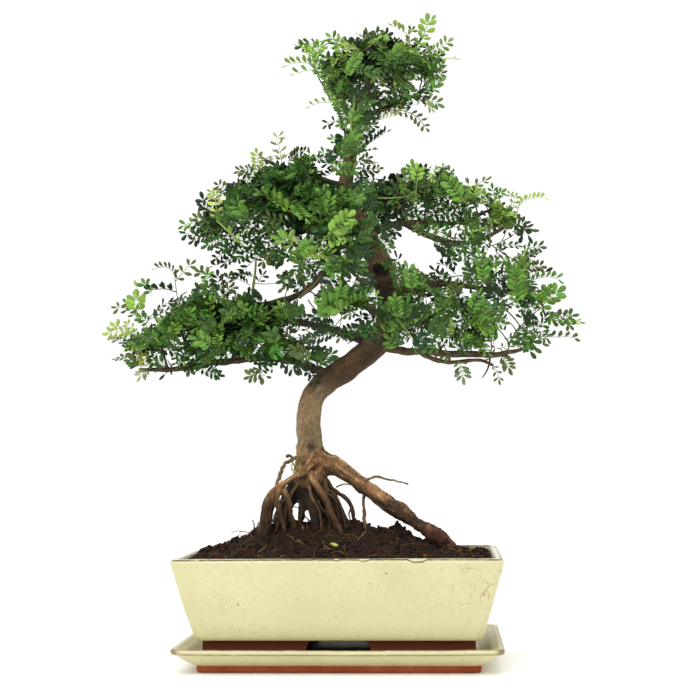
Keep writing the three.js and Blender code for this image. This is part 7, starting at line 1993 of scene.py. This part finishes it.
        ([(262, 372), (256, 374), (244, 379)], -54, 3, 8.4, "O", "f"), ([(262, 368), (262, 376), (262, 384)], -54, 1, 8.6, "O", "f", dict(width=0.6)), ([(258, 370), (254, 373), (252, 378)], -54, 2, 7.4, "O", "f"), ([(262, 376), (266, 376), (268, 379)], -54, 0, 7.4, "O", "f"),
        ([(236, 346), (244, 338), (254, 332)], -76, 5, 9.0, "D", "f"), ([(226, 352), (216, 346), (208, 350)], -60, 5, 8.4, "M", "f"), ([(204, 372), (212, 374), (224, 376)], -40, 4, 6.6, "M", "f"),
    ],
    "foliage_lower_left_root": [
        ([(304, 369), (311, 376), (316, 388)], -10, 3, 6.8, (42, 60, 40), "f"), ([(306, 366), (309, 371), (309, 378)], -12, 2, 7.0, "D", "f"), ([(316, 366), (322, 362), (330, 362)], -12, 3, 6.6, "D", "f"),
        ([(296, 320), (292, 309), (286, 302)], -62, 4, 8.6, "M", "f"), ([(304, 318), (298, 310), (296, 302)], -58, 4, 8.4, "M", "f"), ([(300, 330), (294, 326), (290, 320)], -60, 3, 8.6, "D", "f"), ([(282, 358), (292, 368), (299, 375)], -64, 3, 10.0, "D", "f", dict(width=0.42)),
        ([(292, 364), (300, 367), (306, 372)], -64, 3, 9.0, "D", "f", dict(width=0.42)), ([(320, 366), (329, 356), (338, 351)], -60, 5, 8.8, "M", "f"), ([(316, 364), (320, 354), (326, 346)], -60, 5, 8.8, "D", "f"), ([(270, 362), (272, 367), (271, 372)], -56, 0, 5.0, "K", "f", dict(stem=1.2)),
        ([(268, 354), (276, 352), (282, 346)], -80, 3, 9.4, (66, 124, 40), "f"), ([(310, 362), (300, 352), (290, 346)], -74, 5, 9.0, "O", "f"), ([(302, 350), (306, 340), (316, 336)], -56, 4, 7.4, "O", "f"), ([(308, 332), (303, 322), (306, 314)], -40, 2, 6.6, "O", "f"),
    ],
    "foliage_centre_front": [
        ([(344, 312), (330, 304), (315, 302)], -104, 5, 12.0, "G", "f", dict(width=0.6)), ([(338, 300), (328, 292), (321, 286)], -100, 4, 10.0, "M", "f"), ([(342, 312), (342, 296), (340, 281)], -102, 6, 8.6, "G", "t", dict(stem=0.7)),
        ([(340, 309), (352, 302), (365, 296), (374, 295), (383, 299)], -100, 7, 7.8, "G", "u", dict(stem=0.6)), ([(332, 316), (324, 310), (318, 312)], -96, 4, 9.0, "G", "f"), ([(352, 304), (350, 294), (356, 284)], -98, 5, 8.8, "M", "f"),
        ([(386, 336), (368, 331), (352, 331), (338, 334)], -80, 9, 8.6, "D", "f"), ([(352, 336), (338, 332), (322, 336), (302, 341)], -84, 9, 7.4, "D", "f"), ([(344, 334), (340, 337), (341, 341)], -84, 1, 7.0, "O", "f"), ([(372, 330), (362, 326), (354, 325)], -78, 4, 8.0, "D", "f"),
        ([(366, 320), (361, 317), (356, 316)], -70, 2, 8.0, "D", "f", dict(width=0.4)), ([(372, 322), (370, 315), (374, 311)], -66, 3, 7.4, "D", "f"), ([(350, 314), (340, 320), (334, 328)], -84, 0, 0, (120, 128, 78), "n", dict(stem=0.7)), ([(330, 322), (322, 328), (312, 334)], -80, 5, 7.0, "D", "u"),
        ([(322, 318), (316, 316), (309, 317)], -88, 3, 8.6, "D", "f"), ([(336, 326), (326, 324), (314, 324)], -86, 4, 8.6, "D", "f"), ([(308, 300), (314, 308), (320, 314)], -84, 0, 0, (110, 96, 66), "n", dict(stem=0.9)), ([(356, 312), (348, 314), (340, 312)], -92, 3, 8.0, "O", "f"), ([(352, 282), (362, 284), (374, 290)], -94, 6, 8.0, "M", "f"), ([(354, 276), (364, 278), (376, 282)], -94, 6, 7.8, "D", "f"), ([(356, 292), (364, 288), (374, 280)], -92, 5, 8.0, "D", "f"),
        ([(318, 276), (326, 278), (336, 282)], -94, 5, 7.8, "D", "f"),
    ],
}
PLAN = {  # node -> (twig density, template, leaflet sizes, brightness, core, share of gaps left open, leaflet width)
    "foliage_crown_top": (1.2, PLAIN, (7.0, 8.8), 0.12, 1.0, 0.2, 0.5), "foliage_crown_left": (1.2, PLAIN, (6.6, 8.2), 0.27, 0.3, 0.35, 0.48), "foliage_crown_right": (0.95, PLAIN, (6.8, 8.4), 0.08, 0.6, 0.35, 0.48),
    "foliage_crown_back": (0.55, LEAN, (7.4, 9.6), -0.05, 0.5, 1.0, 0.5), "foliage_stem_tufts": (1.2, PLAIN, (6.4, 7.8), 0.60, 0.5, 0.35, 0.5),
    "foliage_upper_left_outer": (1.2, PLAIN, (7.2, 9.0), -0.04, 1.1, 0.05, 0.5), "foliage_upper_left_inner": (1.15, PLAIN, (7.6, 9.6), -0.02, 1.1, 0.05, 0.52), "foliage_upper_left_back": (0.5, LEAN, (7.4, 9.8), -0.05, 0.7, 1.0, 0.52),
    "foliage_upper_right_inner": (1.2, PLAIN, (7.0, 8.8), 0.04, 1.0, 0.15, 0.5), "foliage_upper_right_outer": (1.05, PLAIN, (6.8, 8.4), 0.25, 0.4, 0.4, 0.47), "foliage_upper_back": (0.48, LEAN, (7.4, 9.8), -0.04, 0.5, 1.0, 0.5),
    "foliage_right_inner": (0.85, PLAIN, (7.0, 8.8), 0.18, 0.4, 0.35, 0.48), "foliage_right_outer": (0.8, PLAIN, (6.8, 8.4), 0.3, 0.1, 0.5, 0.46), "foliage_right_back": (0.4, LEAN, (7.2, 9.4), 0.05, 0.2, 1.0, 0.46),
    "foliage_lower_left_outer": (1.2, PLAIN, (6.8, 8.4), 0.05, 1.0, 0.2, 0.5), "foliage_lower_left_inner": (1.25, PLAIN, (7.2, 9.0), 0.02, 1.2, 0.15, 0.5), "foliage_lower_left_root": (1.1, PLAIN, (7.0, 8.8), 0.0, 1.0, 0.25, 0.5),
    "foliage_lower_left_back": (0.5, LEAN, (7.4, 9.8), -0.04, 0.6, 1.0, 0.52), "foliage_centre_front": (1.15, PLAIN, (7.6, 9.6), 0.05, 1.0, 0.2, 0.52), "foliage_centre_back": (0.5, LEAN, (7.4, 9.8), -0.04, 0.5, 1.0, 0.52),
}
total_leaves = 0
soups, twig_nodes = {}, {}
for pi, (name, lumps) in enumerate(PADS.items()):
    g = rng(300 + pi)
    dens, kind, sizes_, bright, core, _, wide = PLAN[name]
    soup, count, nodes = grow_pad(name, lumps, g, density=dens * 1.0, kind=kind, leaflet=sizes_, brightness=bright, core=core, width=wide, rim=0.85 if "crown" in name else 0.36)
    for row in SPRIGS.get(name, []):
        pts, y, pairs, size, tone, mode = row[:6]
        leafy(soup, pts, y, pairs, size, tone, mode, g, **(row[6] if len(row) > 6 else {}))
        count += 1
    soups[name], twig_nodes[name] = soup, nodes
    mark_seen(soup)
    total_leaves += count
total_leaves += fill_thin_parts(soups, twig_nodes, rng(299), 560)
for name, soup in soups.items():
    ob = soup.object(name.replace("foliage", "leaves"), [LEAF, TWIG], smooth_faces=False)
    finish_piece(ob, name)
print("leaves", total_leaves, "triangles", sum(q.tris() for q in soups.values()), "largest", max(q.tris() for q in soups.values()))

# the fallen leaflet
lx, ly = -3.5, -66.0
lz = soil_top(np.array([lx]), np.array([ly]))[0]
tv, tf = FINE
ax_ = unit(np.array([0.80, -0.42, -0.24]))
nn_ = np.array([-0.1, -0.62, 0.78])
nn_ = unit(nn_ - ax_ * (nn_ @ ax_))
ss_ = np.cross(nn_, ax_)
lv_ = np.array([lx - 6.0, ly + 1.0, lz + 5.6]) + ax_ * tv[:, :1] * 10.5 + ss_ * tv[:, 1:2] * 6.0 + nn_ * (tv[:, 2:3] * 9 - 0.8 * (tv[:, :1] - 0.5) ** 2 * 6)
fs = Soup()
fs.add(lv_, tf, srgb(np.array([186, 196, 92])))
fallen = fs.object("fallen_leaflet_detail", [LEAF])
finish_piece(fallen, "fallen_leaflet")


# ------------------------------------------------------------------ floor and light
floor_mat = Nodes("pale_floor")
p_ = floor_mat.coords()
floor_mat.colour(floor_mat.ramp(floor_mat.noise(p_, 3, 3, 0.5), [(0.3, (0.90, 0.90, 0.885)), (0.7, (0.915, 0.915, 0.90))]))
floor_mat.set(Roughness=0.85)
floor_mat.bsdf.inputs["Specular IOR Level"].default_value = 0.1
R_ = 9000.0
a_ = np.linspace(0, 2 * np.pi, 64, endpoint=False)
fv_ = np.vstack([[[0, 0, -0.05]], np.column_stack([600 * np.cos(a_), 600 * np.sin(a_), np.full(64, -0.05)]), np.column_stack([R_ * np.cos(a_), R_ * np.sin(a_), np.full(64, -0.05)])])
fl = [[0, 1 + k, 1 + (k + 1) % 64] for k in range(64)] + [[1 + k, 65 + k, 65 + (k + 1) % 64, 1 + (k + 1) % 64] for k in range(64)]
floor = mesh_object("floor", fv_, fl, [floor_mat.mat])

scene = bpy.context.scene
scene.view_settings.view_transform = "Standard"
scene.view_settings.look = "None"
scene.view_settings.exposure = 0.0
scene.view_settings.gamma = 1.0

world = bpy.data.worlds.new("studio")
scene.world = world
world.use_nodes = True
wt = world.node_tree
bg = wt.nodes["Background"]
tc = wt.nodes.new("ShaderNodeTexCoord")
sep = wt.nodes.new("ShaderNodeSeparateXYZ")
wt.links.new(tc.outputs["Generated"], sep.inputs[0])
rm = wt.nodes.new("ShaderNodeValToRGB")
e = rm.color_ramp.elements
e[0].position, e[0].color = 0.0, (1.03, 1.03, 1.03, 1)
e[1].position, e[1].color = 1.0, (1.38, 1.38, 1.38, 1)
wt.links.new(sep.outputs["Z"], rm.inputs["Fac"])
wt.links.new(rm.outputs["Color"], bg.inputs["Color"])
bg.inputs["Strength"].default_value = 1.0


def area(name, place, target, size, power, colour=(1, 1, 1)):
    ld = bpy.data.lights.new(name, "AREA")
    ld.shape, ld.size, ld.size_y = "RECTANGLE", size[0], size[1]
    ld.energy, ld.color = power, colour
    ob = bpy.data.objects.new(name, ld)
    scene.collection.objects.link(ob)
    ob.location = place
    ob.rotation_euler = (Vector(target) - Vector(place)).to_track_quat("-Z", "Y").to_euler()
    return ob


area("key", (-0.9, -1.7, 2.1), (0, 0, 0.3), (1.4, 1.1), 24)
area("top", (0.2, 0.1, 2.3), (0, 0, 0.3), (1.6, 1.6), 14)
